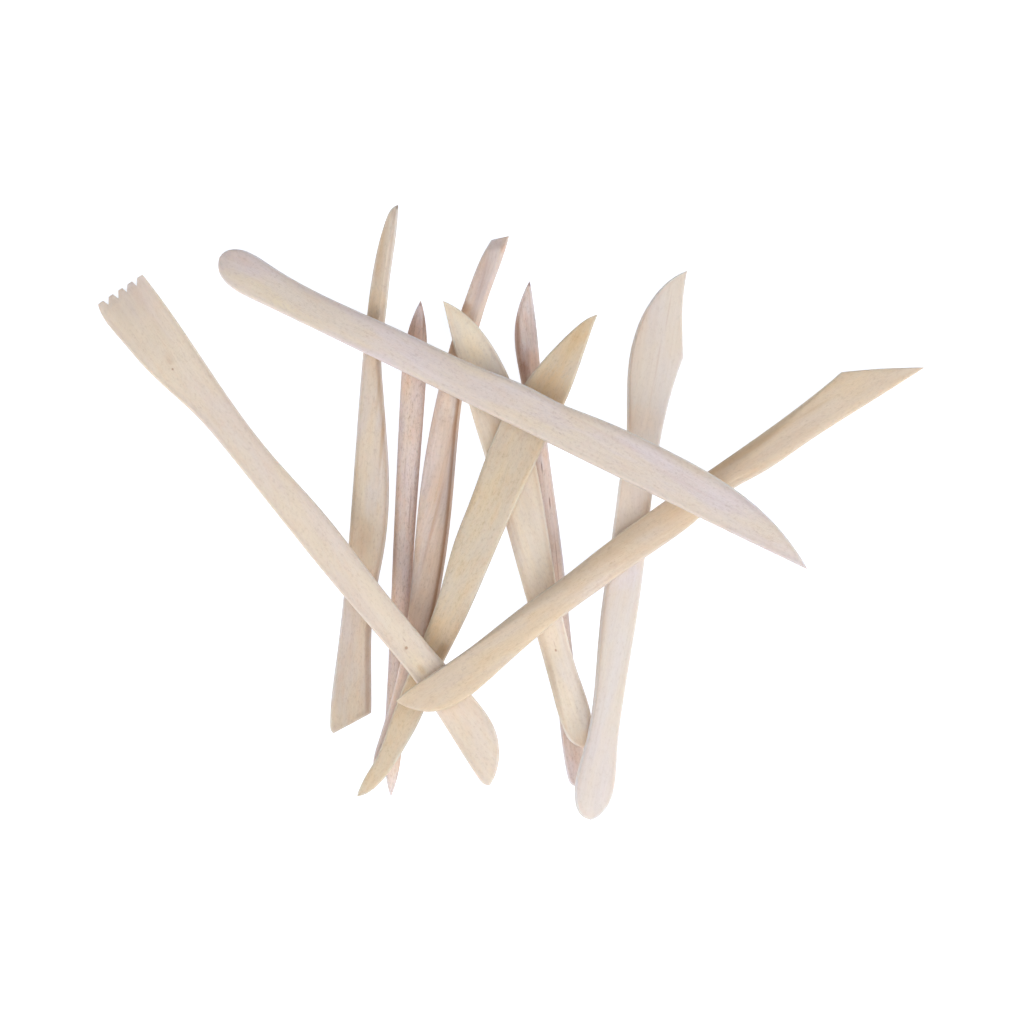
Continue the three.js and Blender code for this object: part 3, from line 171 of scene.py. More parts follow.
            (-69.66, 0, -3.87, 0.54, 1.19, 0.41, 3, 0.88, 1.79), (-68.94, 0, -4.16, 0.58, 1.26, 0.41, 3, 0.95, 1.97),
            (-67.21, 0, -4.78, 0.65, 1.43, 0.42, 3, 1.1, 2.43), (-66.39, 0, -5.04, 0.69, 1.51, 0.42, 3, 1.17, 2.64),
            (-64.76, 0, -5.48, 0.74, 1.66, 0.43, 3, 1.3, 3.01), (-63.84, 0, -5.68, 0.76, 1.74, 0.44, 3, 1.36, 3.18),
            (-62.3, 0, -5.96, 0.79, 1.86, 0.45, 3, 1.45, 3.36), (-61.28, 0, -6.1, 0.81, 1.94, 0.45, 3, 1.5, 3.4),
            (-58.73, 0, -6.29, 0.83, 2.12, 0.46, 2.98, 1.6, 3.39), (-57.3, 0, -6.31, 0.83, 2.21, 0.47, 2.96, 1.66, 3.37),
            (-56.18, 0, -6.3, 0.83, 2.29, 0.47, 2.94, 1.7, 3.35), (-53.83, 0, -6.19, 0.82, 2.42, 0.49, 2.88, 1.76, 3.3),
            (-53.62, 0, -6.18, 0.82, 2.43, 0.49, 2.88, 1.77, 3.29), (-51.07, 0, -5.96, 0.8, 2.53, 0.5, 2.81, 1.8, 3.22),
            (-49.23, 0, -5.78, 0.78, 2.57, 0.51, 2.76, 1.79, 3.11), (-48.52, 0, -5.71, 0.77, 2.59, 0.51, 2.73, 1.78, 3.02),
            (-45.96, 0, -5.45, 0.74, 2.64, 0.52, 2.62, 1.71, 2.54), (-43.41, 0, -5.23, 0.71, 2.68, 0.53, 2.48, 1.59, 1.91),
            (-40.85, 0, -5.05, 0.69, 2.72, 0.54, 2.35, 1.45, 1.28), (-38.3, 0, -4.91, 0.68, 2.74, 0.55, 2.25, 1.29, 0.78),
            (-37.48, 0, -4.87, 0.68, 2.75, 0.55, 2.22, 1.24, 0.67), (-35.75, 0, -4.8, 0.69, 2.75, 0.55, 2.18, 1.12, 0.52),
            (-33.19, 0, -4.71, 0.72, 2.77, 0.55, 2.12, 0.84, 0.34), (-30.64, 0, -4.64, 0.77, 2.78, 0.55, 2.06, 0.51, 0.18),
            (-28.09, 0, -4.58, 0.84, 2.79, 0.55, 2.02, 0.2, 0.07), (-27.17, 0, -4.57, 0.86, 2.79, 0.55, 2.01, 0.12, 0.04),
            (-25.53, 0, -4.53, 0.92, 2.79, 0.55, 2, 0.02, 0.01), (-22.98, 0, -4.48, 1.01, 2.79, 0.55, 2, 0, 0),
            (-20.42, 0, -4.43, 1.11, 2.79, 0.55, 2, 0, 0), (-17.87, 0, -4.36, 1.23, 2.79, 0.55, 2, 0, 0),
            (-15.32, 0, -4.28, 1.34, 2.79, 0.55, 2, 0, 0), (-13.48, 0, -4.22, 1.43, 2.79, 0.55, 2, 0, 0),
            (-12.76, 0, -4.19, 1.46, 2.79, 0.55, 2, 0, 0), (-10.21, 0, -4.1, 1.58, 2.79, 0.55, 2, 0, 0),
            (-7.66, 0, -4, 1.7, 2.79, 0.55, 2, 0, 0), (-5.1, 0, -3.9, 1.81, 2.79, 0.55, 2, 0, 0),
            (-2.55, 0, -3.8, 1.92, 2.79, 0.55, 2, 0, 0), (0.01, 0, -3.71, 2.03, 2.79, 0.55, 2, 0, 0),
            (0.21, 0, -3.7, 2.03, 2.79, 0.55, 2, 0, 0), (2.56, 0, -3.62, 2.12, 2.79, 0.55, 2, 0, 0),
            (5.11, 0, -3.54, 2.19, 2.79, 0.55, 2, 0, 0), (7.67, 0, -3.47, 2.26, 2.79, 0.55, 2, 0, 0),
            (10.22, 0, -3.42, 2.31, 2.78, 0.55, 2, 0, 0), (12.16, 0, -3.39, 2.34, 2.78, 0.55, 2, 0, 0),
            (12.77, 0, -3.38, 2.35, 2.78, 0.55, 2, 0, 0), (15.33, 0, -3.35, 2.38, 2.78, 0.55, 2, 0, 0),
            (17.88, 0, -3.33, 2.41, 2.78, 0.55, 2, 0, 0), (20.44, 0, -3.32, 2.43, 2.78, 0.55, 2, 0, 0),
            (22.99, 0, -3.32, 2.45, 2.78, 0.55, 2, 0, 0), (25.54, 0, -3.32, 2.47, 2.77, 0.55, 2, 0, 0),
            (26.56, 0, -3.33, 2.47, 2.77, 0.55, 2, 0, 0), (28.1, 0, -3.33, 2.49, 2.77, 0.55, 2, 0, 0),
            (30.65, 0, -3.35, 2.51, 2.77, 0.55, 2, 0, 0), (33.2, 0, -3.36, 2.54, 2.77, 0.55, 2, 0, 0),
            (35.76, 0, -3.38, 2.57, 2.76, 0.55, 2, 0, 0), (38.31, 0, -3.4, 2.62, 2.76, 0.55, 2, 0, 0),
            (40.87, 0, -3.41, 2.67, 2.76, 0.55, 2, 0, 0), (40.97, 0, -3.41, 2.67, 2.76, 0.55, 2, 0, 0),
            (43.42, 0, -3.42, 2.74, 2.75, 0.55, 2, 0, 0), (45.97, 0, -3.43, 2.83, 2.75, 0.55, 2, 0, 0),
            (48.53, 0, -3.44, 2.93, 2.75, 0.55, 2, 0, 0), (51.08, 0, -3.43, 3.05, 2.74, 0.55, 2, 0, 0),
            (53.63, 0, -3.42, 3.19, 2.74, 0.55, 2, 0, 0), (54.86, 0, -3.41, 3.26, 2.73, 0.55, 2, 0, 0),
            (56.19, 0, -3.4, 3.34, 2.73, 0.55, 2, 0, 0), (58.74, 0, -3.37, 3.48, 2.73, 0.55, 2, 0, 0),
            (61.3, 0, -3.32, 3.58, 2.72, 0.55, 2, 0, 0), (63.85, 0, -3.25, 3.62, 2.71, 0.55, 2, 0, 0),
            (64.46, 0, -3.22, 3.62, 2.71, 0.55, 2, 0, 0), (66.4, 0, -3.13, 3.58, 2.71, 0.55, 2, 0, 0),
            (68.96, 0, -2.97, 3.43, 2.6, 0.55, 2, 0, 0), (69.26, 0, -2.94, 3.41, 2.57, 0.55, 2, 0, 0),
            (71.51, 0, -2.74, 3.14, 2.35, 0.55, 2, 0, 0), (72.22, 0, -2.66, 3.03, 2.27, 0.55, 2, 0, 0),
            (73.55, 0, -2.49, 2.73, 2.02, 0.55, 2, 0, 0), (74.06, 0, -2.41, 2.55, 1.84, 0.54, 2, 0, 0),
            (74.57, 0, -2.29, 2.33, 1.61, 0.54, 2, 0, 0), (74.78, 0, -2.23, 2.22, 1.51, 0.53, 2, 0, 0),
            (75.19, 0, -2.06, 1.96, 1.31, 0.53, 2, 0, 0), (75.7, 0, -1.74, 1.52, 1.03, 0.52, 2, 0, 0),
            (76.11, 0, -1.31, 1.03, 0.79, 0.51, 2, 0, 0), (76.31, 0, -0.97, 0.7, 0.68, 0.51, 2, 0, 0),
            (76.41, 0, -0.74, 0.5, 0.62, 0.5, 2, 0, 0), (76.62, 0, 0, 0, 0.5, 0.5, 2, 0, 0),
        ],
    },
    "F": {
        "at": (-22.047, 1.711, 5.988), "yaw": -1.802903, "rise": 0.049332, "lean": 0.049166,
        "blunt": (True, False),
        "rows": [
            (-83.08, -0.485, -2.9, 2.16, 0.75, 0.6, 3.4, 0, 0.3), (-82.86, -0.478, -3, 2.16, 0.81, 0.61, 3.4, 0, 0.32),
            (-82.53, -0.468, -3.14, 2.16, 0.89, 0.63, 3.4, 0, 0.34), (-82.09, -0.455, -3.32, 2.15, 1.01, 0.65, 3.4, 0, 0.39),
            (-81.54, -0.439, -3.52, 2.14, 1.17, 0.68, 3.4, 0, 0.45), (-80.88, -0.42, -3.75, 2.11, 1.37, 0.71, 3.4, 0, 0.53),
            (-80.33, -0.404, -3.92, 2.08, 1.59, 0.74, 3.4, 0, 0.64), (-79.44, -0.378, -4.16, 2.03, 1.93, 0.78, 3.4, 0, 0.82),
            (-78.78, -0.359, -4.33, 1.98, 2.05, 0.8, 3.4, 0, 0.9), (-77.57, -0.323, -4.6, 1.87, 2.1, 0.82, 3.4, 0, 0.95),
            (-74.81, -0.242, -5.1, 1.57, 2.17, 0.85, 3.38, 0, 1.03), (-73.82, -0.213, -5.25, 1.44, 2.19, 0.86, 3.36, 0, 1.05),
            (-72.05, -0.162, -5.48, 1.21, 2.22, 0.87, 3.34, 0, 1.08), (-69.29, -0.081, -5.79, 0.84, 2.25, 0.89, 3.29, 0, 1.11),
            (-66.53, 0, -6.06, 0.51, 2.28, 0.9, 3.25, 0, 1.14), (-63.77, 0, -6.36, 0.23, 2.31, 0.9, 3.21, 0, 1.19),
            (-61.02, 0, -6.64, 0.03, 2.36, 0.9, 3.17, 0.01, 1.25), (-58.26, 0, -6.9, -0.14, 2.4, 0.9, 3.14, 0.04, 1.32),
            (-56.6, 0, -7.05, -0.24, 2.43, 0.9, 3.12, 0.07, 1.36), (-55.5, 0, -7.14, -0.31, 2.45, 0.9, 3.11, 0.1, 1.4),
            (-52.74, 0, -7.34, -0.53, 2.49, 0.9, 3.07, 0.16, 1.47), (-49.98, 0, -7.53, -0.74, 2.53, 0.9, 3.04, 0.23, 1.55),
            (-47.22, 0, -7.68, -0.89, 2.57, 0.9, 3.02, 0.3, 1.64), (-44.47, 0, -7.8, -0.93, 2.61, 0.9, 3.01, 0.36, 1.72),
            (-41.71, 0, -7.9, -0.87, 2.64, 0.9, 3, 0.4, 1.8), (-38.95, 0, -7.96, -0.74, 2.67, 0.9, 3, 0.43, 1.89),
            (-36.19, 0, -8, -0.55, 2.7, 0.91, 3, 0.45, 1.97), (-33.43, 0, -8.01, -0.31, 2.73, 0.91, 3, 0.48, 2.07),
            (-30.67, 0, -8, -0.04, 2.76, 0.92, 3, 0.49, 2.16), (-28.14, 0, -7.96, 0.25, 2.78, 0.93, 3, 0.51, 2.25),
            (-27.91, 0, -7.95, 0.27, 2.78, 0.93, 3, 0.51, 2.25), (-25.16, 0, -7.88, 0.61, 2.81, 0.94, 3, 0.53, 2.35),
            (-22.4, 0, -7.78, 0.98, 2.82, 0.94, 3, 0.55, 2.44), (-19.64, 0, -7.66, 1.37, 2.84, 0.95, 3, 0.57, 2.52),
            (-17.87, 0, -7.56, 1.62, 2.85, 0.95, 3, 0.59, 2.57), (-16.88, 0, -7.5, 1.77, 2.85, 0.95, 3, 0.6, 2.6),
            (-14.12, 0, -7.33, 2.18, 2.86, 0.95, 3, 0.63, 2.68), (-11.36, 0, -7.12, 2.6, 2.87, 0.95, 3, 0.68, 2.77),
            (-8.6, 0, -6.88, 3.02, 2.87, 0.95, 3, 0.72, 2.86), (-7.5, 0, -6.79, 3.18, 2.87, 0.95, 3, 0.74, 2.89),
            (-5.85, 0, -6.63, 3.43, 2.88, 0.95, 3, 0.76, 2.93), (-3.09, 0, -6.34, 3.83, 2.88, 0.95, 3, 0.79, 2.98),
            (-0.33, 0, -6.03, 4.22, 2.88, 0.95, 3, 0.8, 3), (2.43, 0, -5.69, 4.59, 2.88, 0.95, 3, 0.8, 2.99),
            (4.08, 0, -5.47, 4.8, 2.88, 0.95, 3, 0.8, 2.98), (5.19, 0, -5.32, 4.94, 2.88, 0.95, 3, 0.8, 2.97),
            (7.95, 0, -4.94, 5.25, 2.88, 0.95, 3, 0.79, 2.94), (10.71, 0, -4.54, 5.54, 2.88, 0.95, 3, 0.78, 2.9),
            (13.46, 0, -4.13, 5.81, 2.87, 0.94, 3, 0.78, 2.85), (14.35, 0, -4, 5.89, 2.87, 0.94, 3, 0.77, 2.83),
            (16.22, 0, -3.71, 6.05, 2.87, 0.94, 3, 0.77, 2.79), (18.98, 0, -3.3, 6.27, 2.86, 0.94, 3, 0.75, 2.72),
            (21.74, 0, -2.9, 6.46, 2.86, 0.93, 3, 0.74, 2.64), (24.28, 0, -2.54, 6.61, 2.85, 0.93, 3, 0.72, 2.57),
            (24.5, 0, -2.51, 6.62, 2.85, 0.93, 3, 0.72, 2.56), (27.26, 0, -2.13, 6.77, 2.85, 0.93, 3, 0.71, 2.48),
            (30.02, 0, -1.78, 6.89, 2.84, 0.92, 3, 0.69, 2.38), (32.77, 0, -1.46, 6.99, 2.83, 0.92, 3, 0.67, 2.29),
            (34.43, 0, -1.27, 7.04, 2.82, 0.91, 3, 0.66, 2.23), (35.53, 0, -1.16, 7.07, 2.82, 0.91, 3, 0.65, 2.19),
            (38.29, 0, -0.9, 7.12, 2.81, 0.91, 3, 0.62, 2.1), (41.05, 0, -0.67, 7.16, 2.8, 0.9, 3, 0.6, 2),
            (42.26, 0, -0.58, 7.17, 2.79, 0.9, 3, 0.58, 1.96), (43.81, 0, -0.48, 7.17, 2.78, 0.89, 2.99, 0.55, 1.89),
            (46.57, 0, -0.35, 7.17, 2.73, 0.88, 2.97, 0.47, 1.76), (49.33, 0, -0.26, 7.14, 2.67, 0.87, 2.93, 0.37, 1.61),
            (49.55, 0, -0.25, 7.14, 2.67, 0.87, 2.93, 0.37, 1.59), (52.08, 0, -0.22, 7.1, 2.59, 0.86, 2.9, 0.27, 1.45),
            (54.84, 0, -0.23, 7.04, 2.51, 0.84, 2.86, 0.16, 1.27), (56.17, 0, -0.25, 7.01, 2.46, 0.84, 2.84, 0.12, 1.19),
            (57.6, 0, -0.28, 6.96, 2.41, 0.83, 2.83, 0.07, 1.1), (60.36, 0, -0.37, 6.87, 2.32, 0.81, 2.81, 0.02, 0.93),
            (63.12, 0, -0.49, 6.74, 2.22, 0.8, 2.8, 0, 0.77), (63.45, 0, -0.51, 6.71, 2.21, 0.8, 2.8, 0, 0.74),
            (65.88, 0, -0.64, 6.52, 2.12, 0.78, 2.8, 0, 0.57), (67.53, 0, -0.75, 6.34, 2.06, 0.77, 2.8, 0, 0.43),
            (68.64, 0, -0.82, 6.18, 2.02, 0.76, 2.8, 0, 0.35), (71.06, 0, -0.99, 5.75, 1.9, 0.74, 2.8, 0, 0.17),
            (71.39, 0, -1.01, 5.67, 1.88, 0.74, 2.8, 0, 0.15), (74.15, 0, -1.22, 4.93, 1.72, 0.72, 2.8, 0, 0.02),
            (75.03, 0, -1.29, 4.63, 1.66, 0.71, 2.8, 0, 0.01), (76.91, 0, -1.38, 3.88, 1.5, 0.69, 2.8, 0, 0),
            (78.57, 0, -1.32, 3.06, 1.27, 0.66, 2.8, 0, 0), (79.67, 0, -1.15, 2.4, 1.1, 0.65, 2.8, 0, 0),
            (80.22, 0, -1, 2.03, 1, 0.64, 2.8, 0, 0), (80.66, 0, -0.86, 1.71, 0.93, 0.63, 2.8, 0, 0),
            (80.88, 0, -0.77, 1.54, 0.89, 0.63, 2.8, 0, 0), (81.44, 0, -0.52, 1.08, 0.78, 0.62, 2.8, 0, 0),
            (81.88, 0, -0.27, 0.68, 0.7, 0.61, 2.8, 0, 0), (82.21, 0, -0.04, 0.35, 0.64, 0.6, 2.8, 0, 0),
            (82.43, 0, 0.12, 0.12, 0.6, 0.6, 2.8, 0, 0),
        ],
    },
    "H": {
        "at": (0.740, -4.242, 8.393), "yaw": -1.264469, "rise": 0.009948, "lean": -0.066087,
        "blunt": (False, False),
        "rows": [
            (-70.58, 0, 0, 0, 0.45, 0.45, 3.8, 0, 0), (-70.39, 0, -0.01, 0.23, 0.47, 0.45, 3.8, 0, 0.03),
            (-70.11, 0, -0.04, 0.57, 0.49, 0.45, 3.8, 0, 0.07), (-69.73, 0, -0.07, 1.01, 0.52, 0.46, 3.8, 0, 0.13),
            (-69.26, 0, -0.1, 1.52, 0.56, 0.46, 3.8, 0, 0.2), (-68.69, 0, -0.15, 2.1, 0.61, 0.46, 3.8, 0, 0.28),
            (-68.22, 0, -0.19, 2.55, 0.65, 0.47, 3.8, 0, 0.35), (-67.75, 0, -0.22, 2.97, 0.68, 0.47, 3.8, 0, 0.42),
            (-66.16, 0, -0.35, 4.27, 0.8, 0.48, 3.8, 0, 0.62), (-65.87, 0, -0.37, 4.48, 0.82, 0.48, 3.8, 0, 0.66),
            (-64.37, 0, -0.48, 5.5, 0.91, 0.49, 3.8, 0, 0.77), (-63.52, 0, -0.55, 6.02, 0.95, 0.5, 3.8, 0, 0.8),
            (-62.39, 0, -0.63, 6.65, 1, 0.51, 3.8, 0, 0.81), (-61.17, 0, -0.72, 7.27, 1.04, 0.52, 3.8, 0, 0.83),
            (-60.33, 0, -0.78, 7.67, 1.07, 0.52, 3.8, 0, 0.84), (-58.82, 0, -0.88, 8.31, 1.12, 0.53, 3.8, 0, 0.85),
            (-56.47, 0, -1.04, 9.19, 1.18, 0.54, 3.8, 0, 0.87), (-55.62, 0, -1.09, 9.46, 1.2, 0.55, 3.8, 0, 0.88),
            (-54.12, 0, -1.19, 9.92, 1.24, 0.56, 3.8, 0, 0.89), (-51.77, 0, -1.33, 10.53, 1.3, 0.57, 3.8, 0, 0.9),
            (-50.36, 0, -1.41, 10.85, 1.33, 0.58, 3.8, 0, 0.9), (-49.42, 0, -1.46, 11.04, 1.36, 0.59, 3.8, 0, 0.9),
            (-47.06, 0, -1.58, 11.46, 1.43, 0.61, 3.8, 0, 0.9), (-44.71, 0, -1.7, 11.81, 1.51, 0.63, 3.77, 0.03, 0.87),
            (-44.52, 0, -1.71, 11.83, 1.51, 0.63, 3.76, 0.03, 0.87), (-42.36, 0, -1.8, 12.08, 1.59, 0.65, 3.7, 0.07, 0.83),
            (-40.01, 0, -1.89, 12.3, 1.67, 0.68, 3.62, 0.14, 0.76), (-37.85, 0, -1.96, 12.45, 1.74, 0.71, 3.54, 0.21, 0.7),
            (-37.66, 0, -1.96, 12.46, 1.75, 0.71, 3.53, 0.22, 0.69), (-35.31, 0, -2.02, 12.58, 1.83, 0.73, 3.43, 0.31, 0.61),
            (-32.96, 0, -2.07, 12.64, 1.91, 0.76, 3.34, 0.4, 0.53), (-30.8, 0, -2.1, 12.66, 1.98, 0.78, 3.27, 0.49, 0.47),
            (-30.61, 0, -2.1, 12.66, 1.99, 0.78, 3.26, 0.5, 0.46), (-28.26, 0, -2.12, 12.63, 2.06, 0.8, 3.2, 0.6, 0.4),
            (-25.91, 0, -2.12, 12.57, 2.13, 0.82, 3.15, 0.71, 0.34), (-23.55, 0, -2.12, 12.47, 2.21, 0.83, 3.11, 0.86, 0.28),
            (-21.77, 0, -2.11, 12.36, 2.26, 0.84, 3.07, 0.98, 0.23), (-21.2, 0, -2.1, 12.33, 2.28, 0.84, 3.06, 1.03, 0.22),
            (-18.85, 0, -2.09, 12.16, 2.35, 0.86, 3.02, 1.2, 0.16), (-16.5, 0, -2.08, 11.96, 2.42, 0.87, 2.99, 1.38, 0.1),
            (-14.15, 0, -2.07, 11.73, 2.48, 0.88, 2.96, 1.53, 0.05), (-11.8, 0, -2.08, 11.47, 2.53, 0.89, 2.93, 1.67, 0.02),
            (-9.45, 0, -2.09, 11.2, 2.58, 0.9, 2.91, 1.77, 0), (-7.1, 0, -2.12, 10.91, 2.61, 0.9, 2.89, 1.84, 0),
            (-4.75, 0, -2.18, 10.59, 2.64, 0.91, 2.88, 1.89, 0), (-2.39, 0, -2.24, 10.27, 2.67, 0.92, 2.86, 1.95, 0),
            (-2.11, 0, -2.25, 10.23, 2.68, 0.92, 2.86, 1.96, 0), (-0.04, 0, -2.32, 9.93, 2.7, 0.92, 2.85, 2, 0),
            (2.31, 0, -2.41, 9.58, 2.73, 0.93, 2.84, 2.05, 0), (4.66, 0, -2.5, 9.23, 2.75, 0.94, 2.83, 2.09, 0),
            (7.01, 0, -2.6, 8.87, 2.77, 0.94, 2.82, 2.13, 0), (9.36, 0, -2.69, 8.51, 2.79, 0.94, 2.81, 2.16, 0),
            (9.46, 0, -2.7, 8.5, 2.79, 0.94, 2.81, 2.16, 0), (11.71, 0, -2.79, 8.16, 2.81, 0.95, 2.81, 2.18, 0),
            (14.06, 0, -2.88, 7.8, 2.82, 0.95, 2.8, 2.19, 0), (16.41, 0, -2.96, 7.46, 2.82, 0.95, 2.8, 2.2, 0),
            (18.77, 0, -3.04, 7.12, 2.82, 0.95, 2.8, 2.2, 0), (21.02, 0, -3.11, 6.81, 2.82, 0.95, 2.8, 2.19, 0),
            (21.12, 0, -3.11, 6.8, 2.82, 0.95, 2.8, 2.19, 0), (23.47, 0, -3.18, 6.5, 2.81, 0.95, 2.8, 2.18, 0),
            (25.82, 0, -3.25, 6.21, 2.81, 0.95, 2.8, 2.17, 0), (28.17, 0, -3.31, 5.94, 2.8, 0.95, 2.8, 2.15, 0),
            (30.52, 0, -3.38, 5.7, 2.79, 0.95, 2.8, 2.13, 0), (32.87, 0, -3.45, 5.49, 2.79, 0.95, 2.8, 2.11, 0),
            (35.22, 0, -3.52, 5.31, 2.78, 0.95, 2.8, 2.08, 0), (37.57, 0, -3.6, 5.16, 2.77, 0.95, 2.8, 2.06, 0),
            (39.92, 0, -3.68, 5.04, 2.75, 0.95, 2.8, 2.03, 0), (42.28, 0, -3.76, 4.97, 2.74, 0.95, 2.8, 2, 0),
            (43.12, 0, -3.8, 4.95, 2.73, 0.95, 2.8, 1.99, 0), (44.63, 0, -3.86, 4.93, 2.72, 0.95, 2.8, 1.96, 0),
            (46.98, 0, -3.96, 4.94, 2.69, 0.94, 2.8, 1.91, 0), (49.33, 0, -4.07, 4.99, 2.64, 0.94, 2.8, 1.85, 0),
            (51.68, 0, -4.18, 5.08, 2.59, 0.93, 2.8, 1.78, 0), (54.03, 0, -4.31, 5.16, 2.52, 0.92, 2.8, 1.7, 0),
            (56.01, 0, -4.4, 5.2, 2.46, 0.92, 2.8, 1.63, 0), (56.38, 0, -4.41, 5.2, 2.45, 0.91, 2.8, 1.61, 0),
            (58.73, 0, -4.46, 5.13, 2.38, 0.9, 2.8, 1.52, 0), (60.33, 0, -4.45, 5, 2.32, 0.89, 2.8, 1.45, 0),
            (61.09, 0, -4.43, 4.9, 2.29, 0.89, 2.8, 1.42, 0), (63.44, 0, -4.28, 4.45, 2.19, 0.86, 2.8, 1.3, 0),
            (63.91, 0, -4.23, 4.32, 2.16, 0.85, 2.8, 1.27, 0), (65.5, 0, -3.96, 3.76, 2.04, 0.83, 2.8, 1.15, 0),
            (65.79, 0, -3.89, 3.64, 2.02, 0.82, 2.8, 1.12, 0), (66.82, 0, -3.53, 3.12, 1.92, 0.8, 2.8, 1.02, 0),
            (67.67, 0, -3.07, 2.61, 1.77, 0.79, 2.79, 0.88, 0), (68.14, 0, -2.71, 2.28, 1.64, 0.77, 2.77, 0.77, 0),
            (68.42, 0, -2.46, 2.07, 1.55, 0.77, 2.75, 0.7, 0), (68.61, 0, -2.27, 1.92, 1.48, 0.76, 2.74, 0.64, 0),
            (69.17, 0, -1.6, 1.43, 1.26, 0.74, 2.7, 0.46, 0), (69.55, 0, -1.1, 1.06, 1.11, 0.73, 2.67, 0.33, 0),
            (69.64, 0, -0.98, 0.97, 1.07, 0.73, 2.67, 0.3, 0), (70.02, 0, -0.51, 0.56, 0.9, 0.72, 2.64, 0.17, 0),
            (70.3, 0, -0.18, 0.23, 0.78, 0.71, 2.61, 0.07, 0), (70.49, 0, 0, 0, 0.7, 0.7, 2.6, 0, 0),
        ],
    },
    "G": {
        "at": (-10.193, -13.391, 13.564), "yaw": -2.033447, "rise": 0.015289, "lean": 0.050887,
        "blunt": (False, False),
        "rows": [
            (-80.59, 0, 0, 0, 0.45, 0.45, 3.4, 0, 0), (-80.37, 0, -0.25, 0.02, 0.47, 0.45, 3.41, 0.02, 0.02),
            (-80.05, 0, -0.6, 0.05, 0.49, 0.45, 3.42, 0.04, 0.06), (-79.62, 0, -1.03, 0.1, 0.52, 0.46, 3.43, 0.08, 0.11),
            (-79.51, 0, -1.13, 0.11, 0.53, 0.46, 3.43, 0.09, 0.12), (-79.08, 0, -1.5, 0.16, 0.56, 0.46, 3.44, 0.12, 0.17),
            (-78.44, 0, -2.01, 0.24, 0.6, 0.46, 3.46, 0.17, 0.24), (-78.33, 0, -2.09, 0.25, 0.61, 0.46, 3.46, 0.18, 0.25),
            (-77.9, 0, -2.39, 0.3, 0.64, 0.46, 3.48, 0.21, 0.3), (-75.33, 0, -3.81, 0.63, 0.81, 0.48, 3.54, 0.39, 0.55),
            (-75.22, 0, -3.85, 0.65, 0.81, 0.48, 3.55, 0.39, 0.56), (-72.54, 0, -4.95, 1.01, 0.95, 0.5, 3.6, 0.5, 0.7),
            (-69.85, 0, -5.93, 1.39, 1.05, 0.52, 3.64, 0.55, 0.76), (-69.75, 0, -5.96, 1.4, 1.05, 0.53, 3.65, 0.56, 0.76),
            (-67.17, 0, -6.82, 1.76, 1.14, 0.55, 3.69, 0.6, 0.8), (-64.49, 0, -7.64, 2.12, 1.22, 0.58, 3.73, 0.64, 0.84),
            (-63.31, 0, -7.98, 2.26, 1.25, 0.6, 3.74, 0.65, 0.85), (-61.8, 0, -8.39, 2.44, 1.29, 0.62, 3.76, 0.67, 0.87),
            (-59.12, 0, -9.07, 2.73, 1.35, 0.65, 3.78, 0.69, 0.89), (-56.87, 0, -9.59, 2.92, 1.4, 0.68, 3.8, 0.7, 0.9),
            (-56.44, 0, -9.68, 2.96, 1.41, 0.68, 3.8, 0.7, 0.9), (-53.75, 0, -10.22, 3.12, 1.47, 0.71, 3.8, 0.7, 0.9),
            (-51.07, 0, -10.69, 3.2, 1.53, 0.74, 3.8, 0.7, 0.9), (-50.64, 0, -10.75, 3.2, 1.54, 0.74, 3.8, 0.7, 0.89),
            (-48.39, 0, -11.07, 3.21, 1.58, 0.77, 3.8, 0.7, 0.89), (-45.7, 0, -11.36, 3.18, 1.64, 0.79, 3.8, 0.7, 0.87),
            (-44.74, 0, -11.44, 3.17, 1.65, 0.8, 3.8, 0.7, 0.87), (-43.02, 0, -11.56, 3.15, 1.68, 0.82, 3.8, 0.7, 0.86),
            (-40.34, 0, -11.66, 3.14, 1.73, 0.85, 3.8, 0.7, 0.84), (-39.05, 0, -11.67, 3.15, 1.76, 0.86, 3.8, 0.7, 0.83),
            (-37.65, 0, -11.66, 3.19, 1.79, 0.88, 3.8, 0.7, 0.82), (-34.97, 0, -11.57, 3.27, 1.84, 0.91, 3.8, 0.7, 0.8),
            (-32.29, 0, -11.4, 3.36, 1.9, 0.94, 3.79, 0.68, 0.76), (-30.14, 0, -11.22, 3.42, 1.95, 0.97, 3.78, 0.66, 0.72),
            (-29.6, 0, -11.17, 3.43, 1.97, 0.98, 3.78, 0.65, 0.7), (-26.92, 0, -10.9, 3.49, 2.03, 1.02, 3.76, 0.6, 0.64),
            (-24.24, 0, -10.59, 3.55, 2.1, 1.06, 3.73, 0.54, 0.57), (-21.88, 0, -10.31, 3.6, 2.16, 1.09, 3.7, 0.48, 0.5),
            (-21.55, 0, -10.27, 3.6, 2.17, 1.1, 3.7, 0.47, 0.49), (-18.87, 0, -9.94, 3.66, 2.23, 1.13, 3.67, 0.41, 0.42),
            (-16.19, 0, -9.63, 3.73, 2.29, 1.17, 3.64, 0.35, 0.36), (-13.61, 0, -9.36, 3.81, 2.34, 1.19, 3.61, 0.31, 0.31),
            (-13.5, 0, -9.35, 3.81, 2.34, 1.2, 3.61, 0.31, 0.31), (-10.82, 0, -9.11, 3.92, 2.39, 1.22, 3.58, 0.27, 0.27),
            (-8.14, 0, -8.88, 4.04, 2.44, 1.25, 3.54, 0.23, 0.23), (-5.45, 0, -8.65, 4.18, 2.48, 1.27, 3.5, 0.2, 0.19),
            (-2.77, 0, -8.38, 4.33, 2.53, 1.3, 3.46, 0.16, 0.15), (-2.23, 0, -8.31, 4.36, 2.54, 1.3, 3.46, 0.15, 0.15),
            (-0.09, 0, -8.03, 4.49, 2.58, 1.32, 3.42, 0.12, 0.12), (2.6, 0, -7.59, 4.64, 2.62, 1.34, 3.38, 0.09, 0.09),
